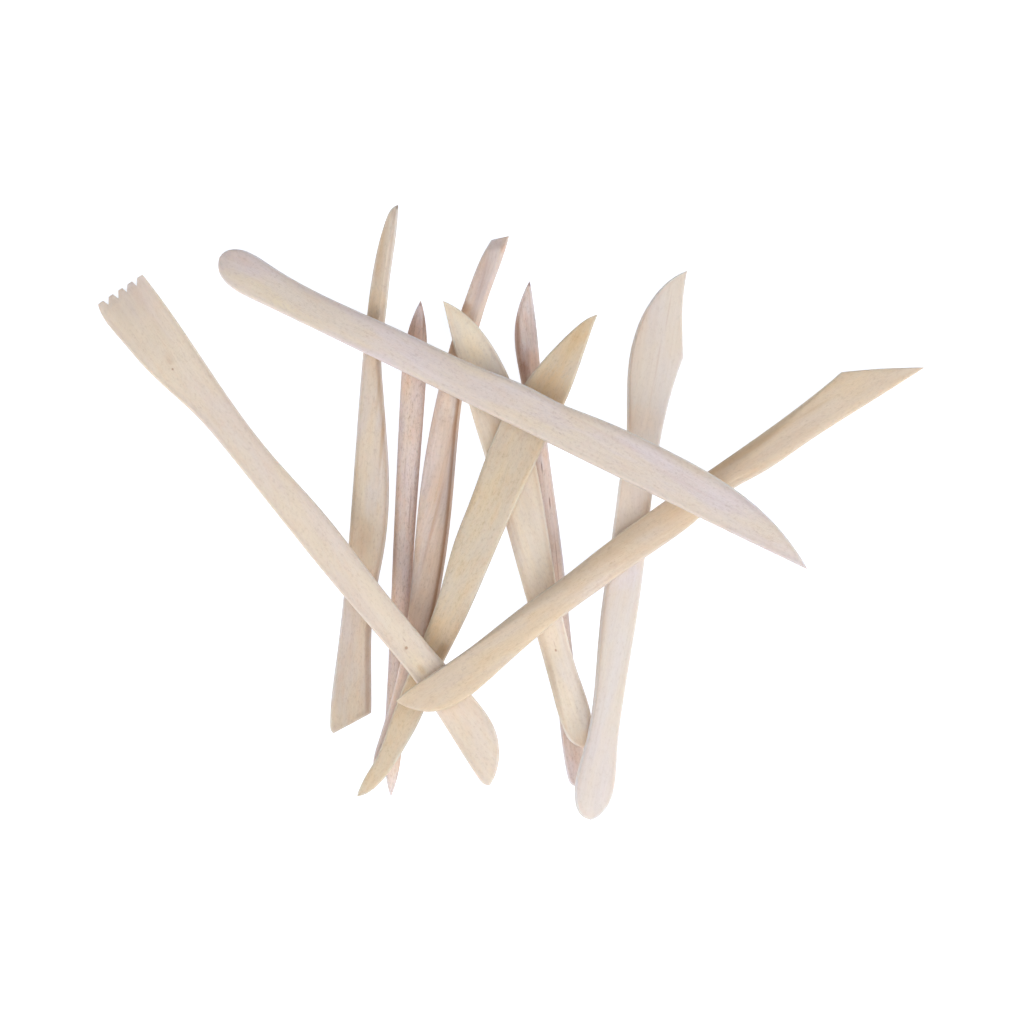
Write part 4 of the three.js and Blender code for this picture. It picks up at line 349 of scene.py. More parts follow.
            (2.81, 0, -7.55, 4.66, 2.62, 1.34, 3.38, 0.09, 0.08), (5.28, 0, -7.07, 4.8, 2.65, 1.36, 3.34, 0.06, 0.06),
            (7.96, 0, -6.52, 4.95, 2.69, 1.38, 3.3, 0.04, 0.03), (10.65, 0, -5.97, 5.08, 2.71, 1.39, 3.27, 0.02, 0.01),
            (13.12, 0, -5.5, 5.19, 2.72, 1.4, 3.23, 0.01, 0.01), (13.33, 0, -5.46, 5.2, 2.73, 1.4, 3.23, 0, 0),
            (16.01, 0, -5.02, 5.3, 2.73, 1.4, 3.2, 0, 0), (18.7, 0, -4.64, 5.37, 2.73, 1.4, 3.17, 0, 0),
            (21.38, 0, -4.31, 5.4, 2.72, 1.38, 3.14, 0, 0), (23.1, 0, -4.12, 5.41, 2.71, 1.37, 3.12, 0, 0),
            (24.06, 0, -4.02, 5.4, 2.71, 1.36, 3.11, 0, 0), (26.75, 0, -3.76, 5.37, 2.69, 1.34, 3.08, 0, 0),
            (29.43, 0, -3.54, 5.34, 2.67, 1.31, 3.05, 0, 0), (32.11, 0, -3.33, 5.32, 2.65, 1.28, 3.03, 0, 0),
            (34.8, 0, -3.13, 5.34, 2.62, 1.24, 3.01, 0, 0), (36.62, 0, -3.01, 5.39, 2.6, 1.22, 3, 0, 0),
            (37.48, 0, -2.95, 5.42, 2.59, 1.21, 3, 0, 0), (40.16, 0, -2.76, 5.6, 2.56, 1.18, 3, 0, 0),
            (40.81, 0, -2.71, 5.66, 2.55, 1.17, 3, 0, 0), (42.85, 0, -2.57, 5.88, 2.51, 1.15, 3, 0, 0),
            (45.53, 0, -2.36, 6.21, 2.45, 1.1, 3, 0, 0), (48.21, 0, -2.13, 6.51, 2.37, 1.06, 3, 0, 0),
            (49.29, 0, -2.03, 6.6, 2.34, 1.04, 3, 0, 0), (50.9, 0, -1.87, 6.69, 2.29, 1.02, 3, 0, 0),
            (53.58, 0, -1.58, 6.72, 2.2, 0.97, 3, 0, 0), (54.76, 0, -1.44, 6.7, 2.16, 0.95, 3, 0, 0),
            (56.27, 0, -1.25, 6.65, 2.11, 0.93, 3, 0, 0), (58.95, 0, -0.87, 6.49, 2.01, 0.88, 3, 0, 0),
            (61.63, 0, -0.51, 6.29, 1.92, 0.84, 3.03, 0, 0), (64.31, 0, -0.24, 6.07, 1.82, 0.8, 3.08, 0, 0),
            (65.07, 0, -0.19, 6, 1.79, 0.78, 3.1, 0, 0), (67, 0, -0.14, 5.79, 1.7, 0.75, 3.14, 0, 0),
            (69.14, 0, -0.19, 5.5, 1.59, 0.71, 3.17, 0, 0), (69.68, 0, -0.22, 5.41, 1.57, 0.7, 3.18, 0, 0),
            (72.36, 0, -0.43, 4.84, 1.4, 0.65, 3.2, 0, 0), (72.47, 0, -0.44, 4.81, 1.39, 0.65, 3.2, 0, 0),
            (75.05, 0, -0.59, 4, 1.16, 0.59, 3.2, 0, 0), (75.26, 0, -0.59, 3.92, 1.14, 0.58, 3.2, 0, 0),
            (77.41, 0, -0.54, 2.87, 0.87, 0.53, 3.2, 0, 0), (77.73, 0, -0.51, 2.67, 0.83, 0.52, 3.2, 0, 0),
            (78.27, 0, -0.45, 2.29, 0.76, 0.51, 3.2, 0, 0), (78.91, 0, -0.35, 1.76, 0.67, 0.49, 3.2, 0, 0),
            (79.13, 0, -0.31, 1.56, 0.63, 0.48, 3.2, 0, 0), (79.45, 0, -0.24, 1.24, 0.59, 0.48, 3.2, 0, 0),
            (79.88, 0, -0.14, 0.75, 0.53, 0.47, 3.2, 0, 0), (80.2, 0, -0.06, 0.32, 0.48, 0.46, 3.2, 0, 0),
            (80.42, 0, 0, 0, 0.45, 0.45, 3.2, 0, 0),
        ],
    },
    "J": {
        "at": (38.371, -10.390, 7.844), "yaw": -1.744970, "rise": 0.087525, "lean": -0.078000,
        "blunt": (False, False),
        "rows": [
            (-84.61, 0, 0.25, 0.25, 0.45, 0.45, 3.6, 0, 0), (-84.39, 0, -0.13, 0.24, 0.47, 0.45, 3.6, 0.03, 0),
            (-84.05, 0, -0.68, 0.23, 0.49, 0.45, 3.6, 0.07, 0), (-83.6, 0, -1.34, 0.22, 0.52, 0.46, 3.6, 0.12, 0),
            (-83.04, 0, -2.09, 0.2, 0.56, 0.46, 3.6, 0.19, 0), (-82.7, 0, -2.5, 0.2, 0.58, 0.46, 3.6, 0.23, 0),
            (-82.37, 0, -2.9, 0.2, 0.6, 0.47, 3.6, 0.27, 0), (-81.81, 0, -3.51, 0.2, 0.64, 0.47, 3.6, 0.34, 0),
            (-80.24, 0, -4.99, 0.22, 0.74, 0.48, 3.6, 0.51, 0), (-79.01, 0, -5.97, 0.27, 0.81, 0.49, 3.6, 0.62, 0),
            (-77.32, 0, -7.12, 0.37, 0.9, 0.49, 3.6, 0.75, 0), (-76.2, 0, -7.79, 0.46, 0.95, 0.5, 3.6, 0.8, 0),
            (-73.85, 0, -8.98, 0.7, 1.04, 0.51, 3.6, 0.88, 0), (-73.4, 0, -9.18, 0.75, 1.06, 0.51, 3.6, 0.89, 0),
            (-70.6, 0, -10.28, 1.14, 1.15, 0.52, 3.6, 0.97, 0), (-69.81, 0, -10.54, 1.27, 1.17, 0.52, 3.6, 0.99, 0),
            (-67.8, 0, -11.13, 1.61, 1.23, 0.53, 3.6, 1.03, 0), (-65.55, 0, -11.66, 2.04, 1.29, 0.53, 3.6, 1.07, 0),
            (-64.99, 0, -11.77, 2.15, 1.3, 0.54, 3.6, 1.08, 0), (-62.19, 0, -12.21, 2.75, 1.37, 0.55, 3.6, 1.1, 0),
            (-59.39, 0, -12.47, 3.38, 1.44, 0.56, 3.6, 1.1, 0), (-58.6, 0, -12.52, 3.56, 1.46, 0.56, 3.6, 1.1, 0),
            (-56.59, 0, -12.57, 3.2, 1.5, 0.57, 3.58, 1.1, 0), (-56.47, 0, -12.57, 3.18, 1.5, 0.57, 3.58, 1.1, 0),
            (-53.78, 0, -12.5, 2.71, 1.56, 0.59, 3.56, 1.1, 0), (-50.98, 0, -12.29, 2.29, 1.61, 0.61, 3.53, 1.1, 0),
            (-50.31, 0, -12.22, 2.2, 1.63, 0.62, 3.52, 1.1, 0), (-48.18, 0, -11.96, 1.93, 1.67, 0.64, 3.5, 1.1, 0),
            (-45.38, 0, -11.55, 1.64, 1.72, 0.66, 3.46, 1.1, 0), (-42.57, 0, -11.08, 1.4, 1.78, 0.69, 3.42, 1.1, 0),
            (-42.24, 0, -11.03, 1.37, 1.79, 0.69, 3.42, 1.1, 0), (-39.77, 0, -10.6, 1.21, 1.85, 0.71, 3.38, 1.1, 0),
            (-36.97, 0, -10.12, 1.07, 1.92, 0.74, 3.33, 1.08, 0), (-34.17, 0, -9.7, 0.98, 2, 0.77, 3.26, 1.05, 0),
            (-32.71, 0, -9.5, 0.95, 2.04, 0.79, 3.22, 1.03, 0), (-31.36, 0, -9.35, 0.94, 2.08, 0.8, 3.18, 1.01, 0),
            (-28.56, 0, -9.11, 0.93, 2.16, 0.83, 3.11, 0.97, 0), (-26.09, 0, -9.02, 0.95, 2.22, 0.86, 3.06, 0.94, 0),
            (-25.76, 0, -9.02, 0.95, 2.23, 0.86, 3.05, 0.93, 0), (-22.96, 0, -9.07, 1.01, 2.3, 0.88, 3.01, 0.91, 0),
            (-20.15, 0, -9.16, 1.09, 2.35, 0.9, 3, 0.9, 0), (-17.35, 0, -9.16, 1.2, 2.4, 0.92, 3, 0.9, 0),
            (-17.24, 0, -9.16, 1.2, 2.4, 0.92, 3, 0.9, 0), (-14.55, 0, -9.06, 1.32, 2.45, 0.94, 3, 0.9, 0),
            (-11.74, 0, -8.91, 1.46, 2.5, 0.95, 3, 0.9, 0), (-8.94, 0, -8.78, 1.61, 2.54, 0.97, 3, 0.9, 0),
            (-6.25, 0, -8.68, 1.77, 2.58, 0.98, 3, 0.9, 0), (-6.14, 0, -8.68, 1.77, 2.58, 0.98, 3, 0.9, 0),
            (-3.34, 0, -8.58, 1.94, 2.61, 0.99, 3, 0.9, 0), (-0.54, 0, -8.47, 2.1, 2.63, 1, 3, 0.9, 0),
            (2.27, 0, -8.34, 2.26, 2.64, 1, 3, 0.9, 0), (4.73, 0, -8.24, 2.4, 2.64, 1, 3, 0.9, 0),
            (5.07, 0, -8.23, 2.42, 2.64, 1, 3, 0.9, 0), (7.87, 0, -8.17, 2.56, 2.64, 1, 3, 0.9, 0),
            (10.68, 0, -8.16, 2.69, 2.64, 1, 3, 0.91, 0), (13.48, 0, -8.14, 2.8, 2.64, 1, 3, 0.92, 0),
            (16.28, 0, -8.08, 2.89, 2.64, 1, 3, 0.92, 0), (19.08, 0, -7.98, 2.96, 2.64, 1, 3, 0.93, 0),
            (19.19, 0, -7.97, 2.96, 2.64, 1, 3, 0.93, 0), (21.89, 0, -7.83, 3.02, 2.64, 1, 3, 0.94, 0),
            (24.69, 0, -7.65, 3.06, 2.64, 1, 3, 0.95, 0), (27.49, 0, -7.44, 3.09, 2.64, 1, 3, 0.96, 0),
            (30.29, 0, -7.2, 3.11, 2.64, 1, 3, 0.97, 0), (31.97, 0, -7.05, 3.12, 2.64, 1, 3, 0.97, 0),
            (33.09, 0, -6.94, 3.13, 2.64, 1, 3, 0.98, 0), (35.9, 0, -6.67, 3.15, 2.64, 1, 3, 0.98, 0),
            (38.7, 0, -6.39, 3.17, 2.64, 1, 3, 0.99, 0), (41.5, 0, -6.13, 3.19, 2.64, 1, 3, 1, 0),
            (44.3, 0, -5.89, 3.22, 2.64, 1, 3, 1, 0), (44.75, 0, -5.86, 3.22, 2.64, 1, 3, 1, 0),
            (47.11, 0, -5.69, 3.26, 2.64, 1, 3, 1, 0), (49.91, 0, -5.55, 3.32, 2.63, 1, 2.98, 0.97, 0),
            (51.7, 0, -5.49, 3.38, 2.61, 0.99, 2.97, 0.93, 0), (52.71, 0, -5.47, 3.42, 2.59, 0.99, 2.96, 0.91, 0),
            (55.52, 0, -5.47, 3.55, 2.55, 0.97, 2.92, 0.82, 0), (58.32, 0, -5.57, 3.73, 2.49, 0.96, 2.88, 0.72, 0),
            (59.21, 0, -5.62, 3.8, 2.47, 0.95, 2.86, 0.68, 0), (61.12, 0, -5.76, 3.97, 2.42, 0.94, 2.84, 0.61, 0),
            (63.92, 0, -6.05, 4.28, 2.35, 0.92, 2.81, 0.5, 0), (66.72, 0, -6.36, 4.62, 2.27, 0.9, 2.8, 0.4, 0),
            (69.53, 0, -6.62, 4.9, 2.18, 0.88, 2.8, 0.29, 0), (70.09, 0, -6.65, 4.94, 2.16, 0.87, 2.8, 0.27, 0),
            (72.33, 0, -6.72, 5.02, 2.07, 0.84, 2.8, 0.17, 0), (74.8, 0, -6.62, 4.9, 1.94, 0.82, 2.8, 0.07, 0),
            (75.13, 0, -6.58, 4.86, 1.92, 0.81, 2.8, 0.06, 0), (77.94, 0, -6.1, 4.25, 1.72, 0.8, 2.8, 0, 0),
            (78.5, 0, -5.95, 4.05, 1.67, 0.8, 2.8, 0, 0), (80.06, 0, -5.38, 3.34, 1.48, 0.8, 2.8, 0, 0),
            (80.74, 0, -5.04, 2.94, 1.36, 0.8, 2.8, 0, 0), (81.3, 0, -4.68, 2.54, 1.26, 0.8, 2.8, 0, 0),
            (81.41, 0, -4.6, 2.46, 1.24, 0.8, 2.8, 0, 0), (81.97, 0, -4.13, 1.97, 1.13, 0.8, 2.8, 0, 0),
            (82.31, 0, -3.78, 1.62, 1.06, 0.8, 2.8, 0, 0), (82.53, 0, -3.5, 1.37, 1.01, 0.8, 2.8, 0, 0),
            (82.98, 0, -2.78, 0.77, 0.92, 0.8, 2.8, 0, 0), (83.32, 0, -1.92, 0.21, 0.85, 0.8, 2.8, 0, 0),
            (83.54, 0, -0.25, -0.25, 0.8, 0.8, 2.8, 0, 0),
        ],
    },
    "B": {
        "at": (-61.671, -8.041, 13.130), "yaw": -0.930791, "rise": 0.128373, "lean": 0.011415,
        "blunt": (True, False),
        "rows": [
            (-94.52, 0.053, -8.68, 7.48, 1, 0.75, 4.5, 0, 1.2), (-94.27, 0.052, -8.78, 7.49, 1.01, 0.75, 4.5, 0, 1.2),
            (-93.9, 0.051, -8.93, 7.51, 1.01, 0.76, 4.5, 0, 1.21), (-93.4, 0.05, -9.1, 7.53, 1.02, 0.77, 4.5, 0, 1.21),
            (-92.78, 0.048, -9.29, 7.55, 1.04, 0.78, 4.5, 0, 1.22), (-92.03, 0.046, -9.47, 7.57, 1.06, 0.79, 4.5, 0, 1.23),
            (-91.65, 0.045, -9.55, 7.59, 1.06, 0.79, 4.5, 0, 1.24), (-91.4, 0.044, -9.59, 7.59, 1.07, 0.79, 4.5, 0, 1.24),
            (-88.29, 0.035, -9.86, 7.66, 1.14, 0.84, 4.5, 0, 1.27), (-85.17, 0.026, -9.74, 7.67, 1.21, 0.88, 4.5, 0, 1.3),
            (-82.05, 0.018, -9.48, 7.66, 1.28, 0.92, 4.5, 0, 1.3), (-78.93, 0.009, -9.25, 7.6, 1.35, 0.95, 4.48, 0, 1.3),
            (-75.81, 0, -9.04, 7.52, 1.42, 0.98, 4.45, 0, 1.3), (-73.69, 0, -8.87, 7.45, 1.47, 1, 4.42, 0, 1.3),
            (-72.7, 0, -8.78, 7.42, 1.49, 1.01, 4.4, 0, 1.3), (-69.58, 0, -8.42, 7.29, 1.56, 1.05, 4.35, 0, 1.3),
            (-66.58, 0, -7.96, 7.16, 1.62, 1.08, 4.29, 0, 1.3), (-66.46, 0, -7.93, 7.16, 1.63, 1.08, 4.29, 0, 1.3),
            (-63.34, 0, -7.36, 7.01, 1.7, 1.12, 4.24, 0, 1.3), (-60.23, 0, -6.74, 6.87, 1.76, 1.16, 4.19, 0, 1.3),
            (-57.11, 0, -6.1, 6.72, 1.83, 1.21, 4.14, 0, 1.29), (-53.99, 0, -5.48, 6.59, 1.9, 1.26, 4.09, 0, 1.26),
            (-53.62, 0, -5.41, 6.57, 1.91, 1.26, 4.09, 0, 1.25), (-50.87, 0, -4.92, 6.47, 1.97, 1.31, 4.04, 0, 1.22),
            (-48.38, 0, -4.55, 6.39, 2.02, 1.36, 4, 0, 1.17), (-47.75, 0, -4.47, 6.37, 2.04, 1.37, 3.99, 0, 1.16),
            (-44.63, 0, -4.13, 6.3, 2.1, 1.43, 3.94, 0, 1.1), (-42.64, 0, -3.96, 6.27, 2.15, 1.47, 3.91, 0, 1.06),
            (-41.52, 0, -3.88, 6.26, 2.17, 1.49, 3.89, 0, 1.04), (-38.4, 0, -3.7, 6.26, 2.23, 1.54, 3.85, 0, 0.97),
            (-35.28, 0, -3.53, 6.3, 2.29, 1.59, 3.81, 0, 0.91), (-33.66, 0, -3.45, 6.34, 2.32, 1.61, 3.79, 0, 0.88),
            (-32.16, 0, -3.38, 6.39, 2.35, 1.64, 3.77, 0, 0.85), (-29.05, 0, -3.23, 6.53, 2.41, 1.69, 3.75, 0, 0.77),
            (-25.93, 0, -3.1, 6.74, 2.47, 1.74, 3.72, 0, 0.68), (-24.81, 0, -3.05, 6.82, 2.49, 1.76, 3.71, 0, 0.65),
            (-22.81, 0, -2.97, 6.99, 2.52, 1.79, 3.69, 0, 0.59), (-19.69, 0, -2.85, 7.28, 2.58, 1.83, 3.67, 0, 0.51),
            (-16.57, 0, -2.73, 7.58, 2.62, 1.87, 3.65, 0, 0.42), (-13.46, 0, -2.61, 7.9, 2.66, 1.89, 3.62, 0, 0.35),
            (-12.96, 0, -2.59, 7.95, 2.66, 1.89, 3.62, 0, 0.34), (-10.34, 0, -2.5, 8.21, 2.68, 1.9, 3.6, 0, 0.3),
            (-7.22, 0, -2.38, 8.49, 2.69, 1.9, 3.58, 0, 0.26), (-4.1, 0, -2.26, 8.74, 2.71, 1.9, 3.55, 0, 0.21),
            (-0.98, 0, -2.13, 8.93, 2.72, 1.9, 3.52, 0, 0.17), (2.13, 0, -2, 9.08, 2.73, 1.9, 3.5, 0, 0.13),
            (5.25, 0, -1.86, 9.18, 2.74, 1.9, 3.47, 0, 0.1), (8.37, 0, -1.71, 9.25, 2.75, 1.9, 3.45, 0, 0.07),
            (11.49, 0, -1.55, 9.29, 2.75, 1.9, 3.43, 0, 0.04), (14.61, 0, -1.37, 9.32, 2.76, 1.9, 3.42, 0, 0.02),
            (14.73, 0, -1.37, 9.33, 2.76, 1.9, 3.42, 0, 0.02), (17.72, 0, -1.18, 9.36, 2.76, 1.9, 3.4, 0, 0.01),
            (20.84, 0, -0.98, 9.4, 2.76, 1.9, 3.4, 0, 0), (23.96, 0, -0.76, 9.46, 2.76, 1.9, 3.4, 0, 0),
            (27.08, 0, -0.53, 9.54, 2.74, 1.88, 3.4, 0, 0), (29.2, 0, -0.37, 9.62, 2.73, 1.86, 3.4, 0, 0),
            (30.19, 0, -0.29, 9.65, 2.72, 1.85, 3.4, 0, 0), (33.31, 0, -0.05, 9.79, 2.69, 1.81, 3.4, 0, 0),
            (36.43, 0, 0.18, 9.95, 2.65, 1.76, 3.4, 0, 0), (39.55, 0, 0.4, 10.13, 2.61, 1.71, 3.4, 0, 0),
            (39.8, 0, 0.42, 10.14, 2.61, 1.71, 3.4, 0, 0), (42.67, 0, 0.61, 10.33, 2.57, 1.66, 3.4, 0, 0),
            (45.78, 0, 0.8, 10.54, 2.52, 1.6, 3.4, 0, 0), (48.9, 0, 0.95, 10.76, 2.47, 1.54, 3.4, 0, 0),
            (50.52, 0, 1.01, 10.88, 2.44, 1.51, 3.4, 0, 0), (52.02, 0, 1.05, 10.99, 2.42, 1.49, 3.4, 0, 0),
            (55.14, 0, 1.09, 11.22, 2.36, 1.43, 3.37, 0, 0), (58.26, 0, 1.05, 11.46, 2.3, 1.36, 3.31, 0, 0),
            (60.87, 0, 0.97, 11.66, 2.23, 1.31, 3.25, 0, 0), (61.37, 0, 0.95, 11.7, 2.22, 1.29, 3.23, 0, 0),
            (64.49, 0, 0.8, 11.93, 2.14, 1.22, 3.15, 0, 0), (67.61, 0, 0.61, 12.16, 2.05, 1.15, 3.08, 0, 0),
            (70.35, 0, 0.41, 12.34, 1.96, 1.08, 3.03, 0, 0), (70.73, 0, 0.39, 12.36, 1.95, 1.07, 3.02, 0, 0),
            (73.84, 0, 0.15, 12.42, 1.85, 1, 3, 0, 0), (74.72, 0, 0.08, 12.4, 1.82, 0.98, 3, 0, 0),
            (76.96, 0, -0.1, 12.23, 1.75, 0.93, 3, 0, 0), (77.83, 0, -0.17, 12.12, 1.72, 0.91, 3, 0, 0),
            (80.08, 0, -0.34, 11.65, 1.64, 0.85, 3, 0, 0), (80.58, 0, -0.37, 11.5, 1.62, 0.84, 3, 0, 0),
            (83.2, 0, -0.55, 10.5, 1.51, 0.78, 3, 0, 0), (85.69, 0, -0.7, 9.1, 1.38, 0.72, 3, 0, 0),
            (86.32, 0, -0.74, 8.67, 1.34, 0.71, 3, 0, 0), (87.94, 0, -0.82, 7.34, 1.22, 0.68, 3, 0, 0),
            (89.43, 0, -0.86, 5.8, 1.05, 0.65, 3, 0, 0), (89.81, 0, -0.84, 5.35, 1, 0.65, 3, 0, 0),
            (90.06, 0, -0.82, 5.04, 0.97, 0.64, 3, 0, 0), (90.81, 0, -0.68, 3.98, 0.86, 0.63, 3, 0, 0),
            (91.43, 0, -0.44, 2.96, 0.77, 0.62, 3, 0, 0), (91.93, 0, -0.12, 2.01, 0.69, 0.61, 3, 0, 0),
            (92.05, 0, -0.01, 1.74, 0.68, 0.61, 3, 0, 0), (92.3, 0, 0.24, 1.18, 0.64, 0.6, 3, 0, 0),
            (92.55, 0, 0.56, 0.56, 0.6, 0.6, 3, 0, 0),
        ],
    },
    "C": {
        "at": (44.419, -7.032, 14.295), "yaw": -2.578839, "rise": 0.145651, "lean": 0.078000,
        "blunt": (False, False),
        "rows": [
            (-95.94, 0, 0.35, 0.35, 0.5, 0.5, 3.2, 0, 0), (-95.69, 0, 0.19, 0.36, 0.52, 0.5, 3.2, 0.01, 0),
            (-95.31, 0, -0.05, 0.37, 0.55, 0.51, 3.2, 0.02, 0), (-94.8, 0, -0.37, 0.39, 0.6, 0.51, 3.2, 0.04, 0),
            (-94.17, 0, -0.76, 0.4, 0.65, 0.52, 3.2, 0.07, 0), (-93.41, 0, -1.23, 0.42, 0.71, 0.53, 3.2, 0.1, 0),
            (-92.78, 0, -1.62, 0.44, 0.76, 0.53, 3.2, 0.12, 0), (-89.62, 0, -3.51, 0.49, 1, 0.56, 3.2, 0.22, 0),
            (-86.46, 0, -5.33, 0.51, 1.2, 0.6, 3.2, 0.3, 0), (-84.82, 0, -6.24, 0.52, 1.29, 0.62, 3.21, 0.33, 0),
            (-83.3, 0, -7.07, 0.51, 1.36, 0.64, 3.22, 0.35, 0), (-80.14, 0, -8.74, 0.5, 1.5, 0.68, 3.27, 0.38, 0),
            (-76.98, 0, -10.34, 0.47, 1.63, 0.72, 3.34, 0.41, 0), (-73.82, 0, -11.87, 0.45, 1.75, 0.77, 3.38, 0.45, 0),
            (-73.57, 0, -11.96, 0.44, 1.76, 0.77, 3.39, 0.46, 0), (-70.66, 0, -11.57, 0.42, 1.88, 0.81, 3.4, 0.52, 0),
            (-67.5, 0, -11.18, 0.39, 2, 0.85, 3.39, 0.64, 0), (-64.34, 0, -10.83, 0.38, 2.13, 0.88, 3.36, 0.81, 0),
            (-63.45, 0, -10.74, 0.38, 2.16, 0.89, 3.35, 0.86, 0), (-61.18, 0, -10.51, 0.39, 2.25, 0.92, 3.33, 1.01, 0),
            (-58.02, 0, -10.22, 0.42, 2.35, 0.95, 3.3, 1.2, 0), (-54.85, 0, -9.96, 0.48, 2.44, 0.98, 3.27, 1.39, 0),
            (-52.33, 0, -9.76, 0.56, 2.51, 1, 3.24, 1.55, 0), (-51.7, 0, -9.72, 0.58, 2.53, 1.01, 3.23, 1.59, 0),
            (-48.53, 0, -9.5, 0.72, 2.61, 1.03, 3.19, 1.79, 0), (-45.37, 0, -9.31, 0.87, 2.69, 1.06, 3.16, 2, 0),
            (-42.21, 0, -9.13, 0.98, 2.75, 1.08, 3.12, 2.2, 0), (-39.18, 0, -8.97, 1.02, 2.8, 1.1, 3.1, 2.39, 0),
            (-39.05, 0, -8.97, 1.02, 2.8, 1.1, 3.1, 2.4, 0), (-35.89, 0, -8.82, 0.93, 2.84, 1.12, 3.08, 2.61, 0),
            (-32.73, 0, -8.69, 0.69, 2.88, 1.13, 3.07, 2.84, 0), (-29.57, 0, -8.56, 0.44, 2.91, 1.15, 3.05, 3.08, 0),
            (-28.18, 0, -8.51, 0.37, 2.92, 1.15, 3.05, 3.19, 0), (-26.41, 0, -8.44, 0.33, 2.94, 1.16, 3.04, 3.31, 0),
            (-24.39, 0, -8.37, 0.39, 2.96, 1.17, 3.03, 3.44, 0), (-23.25, 0, -8.32, 0.49, 2.96, 1.17, 3.03, 3.5, 0),
            (-20.22, 0, -8.21, 0.88, 2.98, 1.19, 3.02, 3.63, 0), (-20.09, 0, -8.21, 0.91, 2.98, 1.19, 3.02, 3.63, 0),
            (-16.93, 0, -8.1, 1.47, 3, 1.2, 3, 3.7, 0), (-13.77, 0, -7.98, 2.07, 3.01, 1.21, 2.99, 3.7, 0),
            (-11.24, 0, -7.88, 2.49, 3.02, 1.22, 2.97, 3.69, 0), (-10.61, 0, -7.86, 2.58, 3.02, 1.22, 2.97, 3.69, 0),
            (-7.45, 0, -7.73, 2.93, 3.02, 1.23, 2.94, 3.66, 0), (-6.69, 0, -7.69, 2.99, 3.03, 1.24, 2.94, 3.66, 0),
            (-4.29, 0, -7.59, 3.15, 3.03, 1.25, 2.92, 3.64, 0), (-1.13, 0, -7.43, 3.28, 3.04, 1.26, 2.89, 3.6, 0),
            (2.03, 0, -7.27, 3.38, 3.04, 1.27, 2.87, 3.56, 0), (5.19, 0, -7.08, 3.49, 3.05, 1.28, 2.85, 3.52, 0),
            (8.36, 0, -6.88, 3.6, 3.06, 1.29, 2.83, 3.47, 0), (10.63, 0, -6.72, 3.69, 3.06, 1.29, 2.82, 3.43, 0),
            (11.52, 0, -6.65, 3.72, 3.06, 1.29, 2.81, 3.41, 0), (14.68, 0, -6.4, 3.85, 3.06, 1.3, 2.8, 3.36, 0),
            (17.84, 0, -6.13, 4, 3.06, 1.3, 2.8, 3.3, 0), (21, 0, -5.82, 4.14, 3.05, 1.3, 2.8, 3.23, 0),
            (24.16, 0, -5.48, 4.3, 3.04, 1.28, 2.8, 3.15, 0), (25.55, 0, -5.33, 4.37, 3.03, 1.28, 2.8, 3.1, 0),
            (27.32, 0, -5.15, 4.46, 3.01, 1.26, 2.8, 3.04, 0), (30.48, 0, -4.86, 4.64, 2.98, 1.24, 2.8, 2.92, 0),
            (32.12, 0, -4.74, 4.75, 2.96, 1.23, 2.8, 2.86, 0), (33.64, 0, -4.64, 4.85, 2.94, 1.22, 2.8, 2.8, 0),
            (36.8, 0, -4.47, 5.08, 2.89, 1.19, 2.8, 2.66, 0), (39.96, 0, -4.31, 5.34, 2.85, 1.16, 2.8, 2.51, 0),
            (41.6, 0, -4.23, 5.5, 2.82, 1.14, 2.8, 2.43, 0), (43.12, 0, -4.14, 5.65, 2.79, 1.13, 2.8, 2.36, 0),
            (46.28, 0, -3.92, 6.01, 2.74, 1.1, 2.8, 2.2, 0), (49.44, 0, -3.65, 6.42, 2.67, 1.07, 2.81, 2.02, 0),
            (51.46, 0, -3.45, 6.72, 2.62, 1.05, 2.83, 1.89, 0), (52.6, 0, -3.33, 6.89, 2.59, 1.04, 2.84, 1.81, 0),
            (55.76, 0, -3, 7.4, 2.49, 1.01, 2.89, 1.58, 0), (58.92, 0, -2.66, 7.93, 2.38, 0.98, 2.93, 1.35, 0),
            (62.08, 0, -2.35, 8.48, 2.27, 0.95, 2.97, 1.12, 0), (62.97, 0, -2.27, 8.63, 2.23, 0.94, 2.98, 1.06, 0),
            (65.24, 0, -2.07, 9.02, 2.15, 0.92, 3, 0.91, 0), (68.41, 0, -1.86, 9.53, 2.05, 0.89, 3, 0.73, 0),
            (70.17, 0, -1.77, 9.79, 2, 0.87, 3, 0.62, 0), (71.56, 0, -1.7, 9.97, 1.96, 0.85, 3, 0.53, 0),
            (74.73, 0, -1.59, 10.24, 1.87, 0.82, 3, 0.34, 0), (76.88, 0, -1.53, 10.3, 1.8, 0.79, 3, 0.22, 0),
            (77.89, 0, -1.51, 10.28, 1.77, 0.78, 3, 0.17, 0), (79.78, 0, -1.47, 10.14, 1.7, 0.76, 3, 0.09, 0),
            (81.05, 0, -1.44, 9.96, 1.65, 0.74, 3, 0.05, 0), (82.44, 0, -1.41, 9.67, 1.59, 0.72, 3, 0.01, 0),
            (84.21, 0, -1.38, 9.12, 1.5, 0.7, 3, 0, 0), (84.84, 0, -1.36, 8.87, 1.46, 0.69, 3, 0, 0),
            (86.99, 0, -1.29, 7.76, 1.3, 0.66, 3, 0, 0), (87.37, 0, -1.27, 7.51, 1.26, 0.65, 3, 0, 0),
            (89.01, 0, -1.15, 6.23, 1.1, 0.63, 3, 0, 0), (90.53, 0, -0.98, 4.7, 0.93, 0.6, 3, 0, 0),
            (90.91, 0, -0.92, 4.25, 0.89, 0.6, 3, 0, 0), (91.16, 0, -0.88, 3.94, 0.86, 0.59, 3, 0, 0),
            (91.92, 0, -0.75, 2.91, 0.77, 0.58, 3, 0, 0), (92.42, 0, -0.65, 2.12, 0.71, 0.57, 3, 0, 0),
            (92.55, 0, -0.62, 1.92, 0.69, 0.57, 3, 0, 0), (93.06, 0, -0.51, 1.01, 0.63, 0.56, 3, 0, 0),
